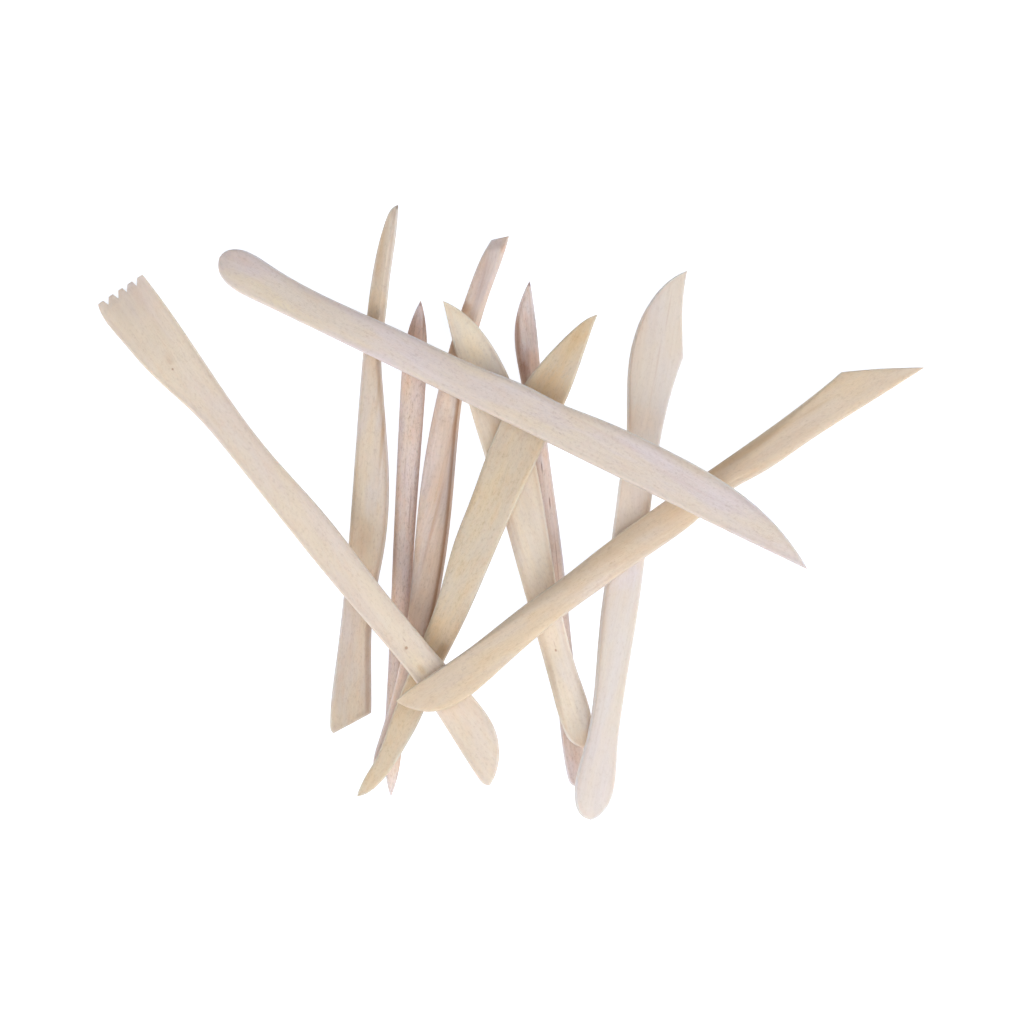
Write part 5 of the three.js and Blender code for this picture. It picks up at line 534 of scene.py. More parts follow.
            (93.44, 0, -0.41, 0.23, 0.58, 0.55, 3, 0, 0), (93.69, 0, -0.34, -0.34, 0.55, 0.55, 3, 0, 0),
        ],
    },
    "A": {
        "at": (0.915, 28.273, 17.585), "yaw": -0.482278, "rise": 0.161160, "lean": -0.037098,
        "blunt": (False, False),
        "rows": [
            (-102.62, 0, 1.46, 1.46, 1, 1, 2.2, 0, 0), (-102.35, 0, 0.38, 2.8, 1.07, 1, 2.2, 0, 0),
            (-101.95, 0, -0.62, 3.68, 1.18, 1, 2.2, 0, 0), (-101.68, 0, -1.12, 4.1, 1.25, 1, 2.2, 0, 0),
            (-101.41, 0, -1.54, 4.44, 1.32, 1, 2.2, 0, 0), (-100.74, 0, -2.35, 5.1, 1.48, 1, 2.2, 0, 0),
            (-100.61, 0, -2.49, 5.21, 1.51, 1, 2.2, 0, 0), (-99.94, 0, -3.07, 5.67, 1.63, 1, 2.2, 0, 0),
            (-99.26, 0, -3.53, 6.04, 1.72, 1, 2.2, 0, 0), (-97.79, 0, -4.25, 6.59, 1.88, 1, 2.2, 0, 0),
            (-96.04, 0, -4.78, 6.94, 2.03, 1, 2.2, 0, 0), (-95.91, 0, -4.81, 6.96, 2.04, 1, 2.2, 0, 0),
            (-92.55, 0, -5.23, 7.02, 2.24, 1, 2.2, 0, 0), (-91.48, 0, -5.27, 6.94, 2.29, 1, 2.2, 0, 0),
            (-89.19, 0, -5.26, 6.71, 2.38, 1.01, 2.2, 0, 0), (-85.84, 0, -5.15, 6.35, 2.49, 1.04, 2.2, 0, 0),
            (-82.48, 0, -5.03, 6.08, 2.58, 1.07, 2.2, 0, 0), (-79.12, 0, -4.92, 5.89, 2.64, 1.1, 2.2, 0, 0),
            (-78.99, 0, -4.92, 5.89, 2.64, 1.1, 2.2, 0, 0), (-75.76, 0, -4.81, 5.8, 2.69, 1.11, 2.2, 0, 0),
            (-72.68, 0, -4.71, 5.77, 2.73, 1.12, 2.21, 0, 0), (-72.41, 0, -4.71, 5.77, 2.73, 1.13, 2.21, 0, 0),
            (-69.05, 0, -4.6, 5.81, 2.77, 1.14, 2.22, 0, 0), (-65.69, 0, -4.5, 5.9, 2.8, 1.15, 2.23, 0, 0),
            (-65.56, 0, -4.5, 5.91, 2.8, 1.15, 2.23, 0, 0), (-62.34, 0, -4.4, 6.04, 2.83, 1.16, 2.24, 0, 0),
            (-58.98, 0, -4.3, 6.2, 2.85, 1.17, 2.26, 0, 0), (-55.62, 0, -4.21, 6.39, 2.88, 1.18, 2.28, 0, 0),
            (-54.55, 0, -4.18, 6.45, 2.88, 1.19, 2.29, 0, 0), (-52.26, 0, -4.12, 6.59, 2.89, 1.2, 2.3, 0, 0),
            (-48.91, 0, -4.03, 6.78, 2.9, 1.22, 2.32, 0, 0.01), (-45.55, 0, -3.94, 6.96, 2.92, 1.24, 2.36, 0, 0.04),
            (-43.4, 0, -3.88, 7.06, 2.92, 1.25, 2.38, 0, 0.07), (-42.19, 0, -3.85, 7.11, 2.93, 1.26, 2.39, 0, 0.09),
            (-38.84, 0, -3.77, 7.24, 2.94, 1.28, 2.44, 0, 0.16), (-35.48, 0, -3.68, 7.34, 2.95, 1.31, 2.49, 0, 0.24),
            (-32.12, 0, -3.6, 7.44, 2.95, 1.34, 2.54, 0, 0.33), (-28.76, 0, -3.52, 7.55, 2.96, 1.37, 2.6, 0, 0.43),
            (-25.41, 0, -3.44, 7.67, 2.96, 1.41, 2.66, 0, 0.54), (-22.05, 0, -3.36, 7.83, 2.97, 1.45, 2.72, 0, 0.66),
            (-20.84, 0, -3.33, 7.9, 2.97, 1.46, 2.75, 0, 0.7), (-18.69, 0, -3.28, 8.03, 2.97, 1.49, 2.79, 0, 0.78),
            (-15.34, 0, -3.2, 8.28, 2.97, 1.55, 2.86, 0, 0.93), (-11.98, 0, -3.12, 8.61, 2.96, 1.66, 2.95, 0, 1.17),
            (-8.62, 0, -3.04, 8.96, 2.94, 1.77, 3.05, 0, 1.43), (-5.26, 0, -2.96, 9.29, 2.92, 1.86, 3.14, 0, 1.66),
            (-1.91, 0, -2.87, 9.53, 2.9, 1.9, 3.2, 0, 1.8), (-1.5, 0, -2.86, 9.55, 2.9, 1.9, 3.21, 0, 1.81),
            (1.45, 0, -2.79, 9.63, 2.88, 1.9, 3.24, 0, 1.87), (4.81, 0, -2.71, 9.61, 2.86, 1.9, 3.28, 0, 1.93),
            (8.16, 0, -2.62, 9.59, 2.84, 1.9, 3.32, 0, 1.99), (11.52, 0, -2.54, 9.69, 2.81, 1.9, 3.35, 0, 2.03),
            (14.88, 0, -2.45, 9.96, 2.79, 1.9, 3.38, 0, 2.07), (18.24, 0, -2.37, 10.32, 2.76, 1.9, 3.39, 0, 2.09),
            (21.59, 0, -2.29, 10.71, 2.73, 1.9, 3.4, 0, 2.1), (24.68, 0, -2.22, 11.01, 2.71, 1.9, 3.4, 0, 2.1),
            (24.95, 0, -2.22, 11.03, 2.71, 1.9, 3.4, 0, 2.1), (28.31, 0, -2.14, 11.3, 2.68, 1.89, 3.4, 0, 2.1),
            (31.66, 0, -2.07, 11.5, 2.65, 1.87, 3.4, 0, 2.1), (32.2, 0, -2.06, 11.53, 2.65, 1.87, 3.4, 0, 2.1),
            (35.02, 0, -2, 11.66, 2.62, 1.85, 3.4, 0, 2.1), (38.38, 0, -1.94, 11.77, 2.59, 1.82, 3.4, 0, 2.1),
            (41.06, 0, -1.89, 11.83, 2.57, 1.8, 3.4, 0, 2.1), (41.74, 0, -1.88, 11.85, 2.56, 1.79, 3.4, 0, 2.1),
            (45.09, 0, -1.81, 11.89, 2.52, 1.76, 3.4, 0, 2.1), (48.45, 0, -1.75, 11.9, 2.49, 1.72, 3.4, 0, 2.1),
            (51.14, 0, -1.7, 11.89, 2.45, 1.69, 3.4, 0, 2.1), (51.81, 0, -1.69, 11.88, 2.45, 1.68, 3.4, 0, 2.1),
            (55.16, 0, -1.62, 11.81, 2.4, 1.64, 3.4, 0, 2.1), (58.52, 0, -1.55, 11.69, 2.35, 1.59, 3.4, 0, 2.08),
            (59.06, 0, -1.54, 11.66, 2.34, 1.58, 3.4, 0, 2.08), (61.88, 0, -1.48, 11.49, 2.29, 1.53, 3.4, 0, 2.04),
            (65.24, 0, -1.41, 11.2, 2.22, 1.47, 3.4, 0, 1.99), (65.91, 0, -1.4, 11.13, 2.21, 1.45, 3.4, 0, 1.97),
            (68.59, 0, -1.33, 10.8, 2.15, 1.39, 3.4, 0, 1.92), (71.95, 0, -1.25, 10.29, 2.07, 1.31, 3.4, 0, 1.85),
            (72.08, 0, -1.25, 10.26, 2.07, 1.31, 3.4, 0, 1.85), (75.31, 0, -1.17, 9.63, 1.98, 1.23, 3.4, 0, 1.79),
            (77.86, 0, -1.1, 9.03, 1.91, 1.17, 3.36, 0, 1.74), (78.67, 0, -1.07, 8.81, 1.89, 1.15, 3.34, 0, 1.72),
            (82.02, 0, -0.97, 7.82, 1.79, 1.07, 3.23, 0, 1.65), (83.36, 0, -0.93, 7.37, 1.74, 1.03, 3.17, 0, 1.61),
            (85.38, 0, -0.87, 6.63, 1.67, 0.97, 3.1, 0, 1.56), (88.74, 0, -0.75, 5.23, 1.51, 0.87, 3.02, 0, 1.47),
            (92.09, 0, -0.63, 3.61, 1.3, 0.75, 3, 0, 1.35), (93.97, 0, -0.56, 2.61, 1.11, 0.67, 3, 0, 1.26),
            (95.45, 0, -0.5, 1.76, 0.92, 0.61, 3, 0, 1.19), (96.12, 0, -0.47, 1.36, 0.83, 0.58, 3, 0, 1.15),
            (96.93, 0, -0.44, 0.87, 0.72, 0.54, 3, 0, 1.11), (97.6, 0, -0.41, 0.44, 0.62, 0.51, 3, 0, 1.07),
            (98.14, 0, -0.38, 0.09, 0.55, 0.48, 3, 0, 1.04), (98.54, 0, -0.37, -0.17, 0.49, 0.46, 3, 0, 1.02),
            (98.81, 0, -0.35, -0.35, 0.45, 0.45, 3, 0, 1),
        ],
    },
}

NODE = {
    "A": "A_long_round_end_knife", "B": "B_comb_spatula", "C": "C_skew_point_knife",
    "D": "D_slim_knife_chisel", "E": "E_twin_point_stylus", "F": "F_skew_chisel_tool",
    "G": "G_leaf_blade_tool", "H": "H_spear_blade_skew", "I": "I_slim_spear_rod",
    "J": "J_paddle_knife",
}
FLAT_UNDERSIDE = {"D": 2.65}
COMB = {
    "tops": [(-94.98, -8.68), (-94.96, -6.73), (-94.65, -4.76), (-94.48, -3.18), (-94.37, -1.26), (-94.49, 0.19), (-94.38, 2.11), (-94.33, 3.78), (-94.29, 5.60), (-94.13, 7.48)],
    "roots": [(-92.97, -6.13), (-92.68, -2.63), (-92.69, 0.54), (-92.39, 4.07)],
}

# ---------------------------------------------------------------- small helpers


def pchip(x, y, q):
    """Monotone cubic through (x, y), at q."""
    x = np.asarray(x, float)
    y = np.asarray(y, float)
    h = np.diff(x)
    s = np.diff(y) / h
    m = np.zeros_like(x)
    w1 = 2 * h[1:] + h[:-1]
    w2 = h[1:] + 2 * h[:-1]
    ok = s[:-1] * s[1:] > 0
    with np.errstate(divide="ignore", invalid="ignore"):
        inner = (w1 + w2) / (w1 / s[:-1] + w2 / s[1:])
    m[1:-1] = np.where(ok, inner, 0.0)
    m[0] = s[0]
    m[-1] = s[-1]
    i = np.clip(np.searchsorted(x, q, side="right") - 1, 0, len(x) - 2)
    t = (q - x[i]) / h[i]
    t2 = t * t
    t3 = t2 * t
    return ((2 * t3 - 3 * t2 + 1) * y[i] + (t3 - 2 * t2 + t) * h[i] * m[i]
            + (3 * t2 - 2 * t3) * y[i + 1] + (t3 - t2) * h[i] * m[i + 1])


def smooth(a, b, v):
    t = np.clip((v - a) / (b - a), 0.0, 1.0)
    return t * t * (3 - 2 * t)


def outline_distance(points, line):
    """Least distance from each point to a closed polyline, in mm."""
    a = line
    b = np.roll(line, -1, axis=0)
    d = b - a
    length2 = np.maximum((d * d).sum(1), 1e-12)
    best = np.full(len(points), 1e9)
    for k in range(len(a)):
        rel = points - a[k]
        t = np.clip(rel @ d[k] / length2[k], 0, 1)
        gap = rel - t[:, None] * d[k]
        best = np.minimum(best, (gap * gap).sum(1))
    return np.sqrt(best)


class Waves:
    """A gentle seeded unevenness: a sum of sines along and across a tool."""

    def __init__(self, seed, count=14, along=(0.05, 0.5), across=(0.0, 0.9)):
        rng = np.random.default_rng(seed)
        self.kx = rng.uniform(*along, count)
        self.ky = rng.uniform(*across, count) * rng.choice([-1, 1], count)
        self.ph = rng.uniform(0, 2 * math.pi, count)
        self.am = 1 / (0.3 + self.kx + abs(self.ky))
        self.am /= np.sqrt((self.am**2).sum() / 2)

    def at(self, x, y):
        out = np.zeros(np.shape(x))
        for kx, ky, ph, am in zip(self.kx, self.ky, self.ph, self.am):
            out = out + am * np.sin(kx * x + ky * y + ph)
        return out


def basis(spec):
    c, s = math.cos(spec["yaw"]), math.sin(spec["yaw"])
    ex = np.array([c, s, spec["rise"]])
    ex /= np.linalg.norm(ex)
    ey = np.array([-s, c, spec["lean"]])
    ey -= ex * ex.dot(ey)
    ey /= np.linalg.norm(ey)
    return np.column_stack([ex, ey, np.cross(ex, ey)])


# ---------------------------------------------------------------- tool meshes

EDGE_STEPS = np.array([0.0, 0.05, 0.13, 0.25, 0.42, 0.65])
END_STEPS = [0.05, 0.13, 0.25, 0.42, 0.65, 0.95]
INNER = 11


def columns(hw, low, high):
    """Places across one section, -1 to 1. They crowd at the edges and at the bevel ridges."""
    steps = EDGE_STEPS * min(1.0, 0.42 * hw / EDGE_STEPS[-1])
    rim = steps / hw
    near = 1 - rim[-1]
    mollify = min(0.14 / hw, 0.03)

    def ridge(bevel):
        plain = near - 0.14 * (1 + near)
        if bevel <= 0.02:
            return plain
        want = min(max(1 - bevel / hw, -0.7), near - 2.5 * mollify)
        w = float(smooth(0.05, 0.8, bevel))
        return plain * (1 - w) + want * w

    lo, hi = -ridge(low), ridge(high)
    if hi - lo < 5 * mollify:
        mid = (hi + lo) / 2
        lo, hi = mid - 2.5 * mollify, mid + 2.5 * mollify
    left = -1 + rim
    right = (1 - rim)[::-1]
    gap_l = left[-1] + (lo - mollify - left[-1]) * np.array([1 / 3, 2 / 3])
    gap_r = hi + mollify + (right[0] - hi - mollify) * np.array([1 / 3, 2 / 3])
    inner = np.linspace(lo + mollify, hi - mollify, INNER + 2)[1:-1]
    return np.concatenate([left, gap_l, [lo - mollify, lo, lo + mollify], inner,
                           [hi - mollify, hi, hi + mollify], gap_r, right])


N_COLS = 6 + 2 + 3 + INNER + 3 + 2 + 6
OFFSETS = np.linspace(-1, 1, 9)
# how far a bevel ridge is rubbed round on the handle, mm
SOFT = {"A": 0.5, "B": 0.8, "C": 1.9, "D": 0.45, "E": 0.4, "F": 1.3, "G": 0.7, "H": 1.5, "I": 0.4, "J": 0.6}


def section_height(s, hw, T, e, p, low, high):
    z = e + (T - e) * np.power(np.maximum(1 - np.abs(s) ** p, 0), 1 / p)
    if high > 0.02:
        z = np.minimum(z, e + (T - e) * np.minimum(1, (1 - s) * hw / high))
    if low > 0.02:
        z = np.minimum(z, e + (T - e) * np.minimum(1, (1 + s) * hw / low))
    return z


def comb_columns():
    """Columns for the comb end: both sides of each notch, its root, and between them."""
    tops, roots = COMB["tops"], COMB["roots"]
    ys, cuts = [], []
    y0, y1 = tops[0][1], tops[-1][1]

    def line_x(y):
        return tops[0][0] + (tops[-1][0] - tops[0][0]) * (y - y0) / (y1 - y0)

    for i, root in enumerate(roots):
        a, b = tops[2 * i + 1], tops[2 * i + 2]
        depth = root[0] - line_x(root[1])
        for y, share in ((a[1], 0.0), (a[1] * 0.55 + root[1] * 0.45, 0.47), (root[1] - 0.12, 0.95),
                         (root[1] + 0.12, 0.95), (b[1] * 0.55 + root[1] * 0.45, 0.47), (b[1], 0.0)):
            ys.append(y)
            cuts.append(depth * share)
    return np.array(ys), np.array(cuts)


SANDED = {"G": 0.12, "F": 0.09, "C": 0.08, "I": 0.07, "A": 0.06, "D": 0.05, "E": 0.04, "H": 0.03}


def build_tool(key, spec):
    rows = np.array(spec["rows"], float)
    X = rows[:, 0]
    x0, x1 = X[0], X[-1]
    qs = [X[0]]
    for a, b in zip(X[:-1], X[1:]):
        n = max(1, int(math.ceil((b - a) / 0.85)))
        qs += [a + (b - a) * (i + 1) / n for i in range(n)]
    qs = set(round(v, 4) for v in qs)
    if spec["blunt"][0]:
        qs = {v for v in qs if v == round(x0, 4) or v > x0 + 1.15} | {round(x0 + d, 4) for d in END_STEPS}
    if spec["blunt"][1]:
        qs = {v for v in qs if v == round(x1, 4) or v < x1 - 1.15} | {round(x1 - d, 4) for d in END_STEPS}
    q = np.array(sorted(qs))
    v = [pchip(X, rows[:, i], q) for i in range(1, 9)]
    slant, lo, hi, T, e, p, bl, bh = v
    # sanding has rounded the outline back a little; the points keep their length
    hw = np.maximum((hi - lo) / 2, 0)
    hw = hw - SANDED.get(key, 0.0) * smooth(0.5, 2.2, hw)
    mid = (hi + lo) / 2
    closed0, closed1 = not spec["blunt"][0], not spec["blunt"][1]
    nr = len(q)
    S = np.zeros((nr, N_COLS))
    Z = np.zeros((nr, N_COLS))
    PX = np.zeros((nr, N_COLS))
    PY = np.zeros((nr, N_COLS))
    for r in range(nr):
        w = max(hw[r], 1e-3)
        s = columns(w, bl[r], bh[r])
        if key == "B":
            near_end = q[r] - x0
            mix = 1 - float(smooth(3.0, 16.0, near_end))
            if mix > 0:
                ys, cuts = comb_columns()
                sc = (ys - mid[r]) / w
                # 24 comb columns stand between 4 rim columns on one side and 5 on the other
                rim_l = s[:4]
                rim_r = s[-5:]
                comb_s = np.concatenate([rim_l, sc, rim_r])
                s = s * (1 - mix) + comb_s * mix
        S[r] = s
        # bevel ridges rubbed soft, more on the handles than on the blades
        worn = SOFT[key] * float(smooth(0.10, 0.40, min(q[r] - x0, x1 - q[r]) / (x1 - x0)))
        off = np.minimum(max(0.15, worn) / w, 1 - np.abs(s))
        z = np.zeros(N_COLS)
        for o in OFFSETS:
            z += section_height(s + o * off, w, T[r], e[r], p[r], bl[r], bh[r])
        Z[r] = z / len(OFFSETS)
        PY[r] = mid[r] + w * s
        PX[r] = q[r] + slant[r] * PY[r]
    if key == "B":
        ys, cuts = comb_columns()
        cut = np.zeros(N_COLS)
        cut[4:4 + len(cuts)] = cuts
        reach = 3.4
        for r in range(nr):
            u = (q[r] - x0) / reach
            if u < 1:
                PX[r] += cut * (1 - u)
    # plan outline, for the distance to the nearest edge
    ring = np.vstack([
        np.column_stack([PX[0], PY[0]]),
        np.column_stack([PX[1:, -1], PY[1:, -1]]),
        np.column_stack([PX[-1, ::-1], PY[-1, ::-1]]),
        np.column_stack([PX[-2:0:-1, 0], PY[-2:0:-1, 0]]),
    ])
    keep = np.linalg.norm(ring - np.roll(ring, 1, axis=0), axis=1) > 1e-4
    ring = ring[keep]
    flat = np.column_stack([PX.ravel(), PY.ravel()])
    D = outline_distance(flat, ring).reshape(nr, N_COLS)
    D[:, 0] = 0
    D[:, -1] = 0
    if not closed0:
        D[0] = 0
    if not closed1:
        D[-1] = 0
    # worn, softened edge: a quarter round that is wider on the handle than on the blades
    wear = Waves(sum(map(ord, key)) + 5, along=(0.1, 1.1))
    rho = np.minimum(0.62 * e, 0.75)[:, None] * (1 + 0.16 * wear.at(PX, PY))
    rho = np.minimum(rho, 0.9 * e[:, None])
    if key == "B":
        rho = rho * (0.3 + 0.7 * smooth(2.5, 8.0, (q - x0))[:, None])
    rest = np.clip(rho - D, 0, None)
    drop = rho - np.sqrt(np.maximum(rho**2 - rest**2, 0))
    # hand-carved unevenness, only ever taking wood away
    knife = Waves(sum(map(ord, key)) * 7 + 1, along=(0.06, 0.42), across=(0.1, 0.8))
    body = smooth(0.2, 2.2, D)
    uneven_t = 0.045 * (knife.at(PX, PY) - 2.2) * 0.5 * body
    uneven_b = 0.045 * (knife.at(PX + 97, PY - 31) - 2.2) * 0.5 * body
    top = Z - drop + uneven_t
    under = Z.copy()
    if key in FLAT_UNDERSIDE:
        under = np.minimum(under, FLAT_UNDERSIDE[key])
        bottom = -(under - drop)
    else:
        bottom = -(under - drop + uneven_b)
    for (dx, dy, radius, depth) in DENTS.get(key, ()):
        g = np.exp(-(((PX - dx) ** 2 + ((PY - dy) * 1.25) ** 2) / radius**2))
        top = top - depth * g
    if closed0:
        top[0] = top[0].mean()
        bottom[0] = bottom[0].mean()
    if closed1:
        top[-1] = top[-1].mean()
        bottom[-1] = bottom[-1].mean()

    verts, ids_t, ids_b = [], np.zeros((nr, N_COLS), int), np.zeros((nr, N_COLS), int)
    dist, across_at = [], []

    def add(x, y, z, d, s=0.0):
        verts.append((x, y, z))
        dist.append(d)
        across_at.append(s)
        return len(verts) - 1

    for r in range(nr):
        one = (r == 0 and closed0) or (r == nr - 1 and closed1)
        if one:
            t = add(PX[r].mean(), PY[r].mean(), top[r, 0], 0.0)
            b = add(PX[r].mean(), PY[r].mean(), bottom[r, 0], 0.0)
            ids_t[r] = t
            ids_b[r] = b
            continue
        for c in range(N_COLS):
            ids_t[r, c] = add(PX[r, c], PY[r, c], top[r, c], D[r, c], S[r, c])
        for c in range(N_COLS):
            ids_b[r, c] = add(PX[r, c], PY[r, c], bottom[r, c], D[r, c], S[r, c])

    faces = []

    def quad(a, b, c, d):
        f = [a]
        for i in (b, c, d):
            if i not in f:
                f.append(i)
        if len(f) >= 3:
            faces.append(f)

    for r in range(nr - 1):
        for c in range(N_COLS - 1):
            quad(ids_t[r, c], ids_t[r + 1, c], ids_t[r + 1, c + 1], ids_t[r, c + 1])
            quad(ids_b[r, c], ids_b[r, c + 1], ids_b[r + 1, c + 1], ids_b[r + 1, c])
        quad(ids_t[r, 0], ids_b[r, 0], ids_b[r + 1, 0], ids_t[r + 1, 0])
        quad(ids_t[r, -1], ids_t[r + 1, -1], ids_b[r + 1, -1], ids_b[r, -1])
    for c in range(N_COLS - 1):
        if not closed0:
            quad(ids_t[0, c], ids_t[0, c + 1], ids_b[0, c + 1], ids_b[0, c])
        if not closed1:
            quad(ids_t[-1, c], ids_b[-1, c], ids_b[-1, c + 1], ids_t[-1, c + 1])

    P = np.array(verts)
    R = basis(spec)
    W = (P @ R.T + np.array(spec["at"])) / 1000.0 + np.array([0.0, 0.0, 1.0e-5])
    # faces wound so they look outward
    tri = np.array([(f[0], f[i], f[i + 1]) for f in faces for i in range(1, len(f) - 1)])
    a, b, c = P[tri[:, 0]], P[tri[:, 1]], P[tri[:, 2]]
    vol = np.einsum("ij,ij->i", a, np.cross(b, c)).sum() / 6
    if vol < 0:
        faces = [f[::-1] for f in faces]
    mesh = bpy.data.meshes.new("wood_" + key)
    mesh.from_pydata([tuple(map(float, w)) for w in W], [], [tuple(map(int, f)) for f in faces])
    mesh.update()
    mesh.validate()
    mesh.shade_smooth()
    piece = bpy.data.objects.new("tool_" + NODE[key], mesh)
    bpy.context.collection.objects.link(piece)

    grain = mesh.attributes.new("grain", "FLOAT_VECTOR", "POINT")
    grain.data.foreach_set("vector", P.astype(np.float32).ravel())
    edge = mesh.attributes.new("edge", "FLOAT", "POINT")
    edge.data.foreach_set("value", np.array(dist, np.float32))
    # how far the surface cuts across the grain, 0 on a face and 1 on an end cut
    normals = np.zeros(len(P) * 3, np.float32)
    mesh.vertex_normals.foreach_get("vector", normals)
    across = np.abs(normals.reshape(-1, 3) @ R[:, 0])
    endg = mesh.attributes.new("endgrain", "FLOAT", "POINT")
    endg.data.foreach_set("value", across.astype(np.float32))
    flank = mesh.attributes.new("flank", "FLOAT", "POINT")
    flank.data.foreach_set("value", np.array(across_at, np.float32))
    side = mesh.attributes.new("side", "FLOAT", "POINT")
    side.data.foreach_set("value", (normals.reshape(-1, 3) @ R[:, 1]).astype(np.float32))
    return piece


# small marks left in the wood: (x, y, radius, depth) in the tool's frame
DENTS = {
    "C": [(15.4, -4.4, 1.10, 0.16), (17.6, -0.4, 0.90, 0.14)],
    "H": [(39.6, 0.5, 0.80, 0.10)],
}
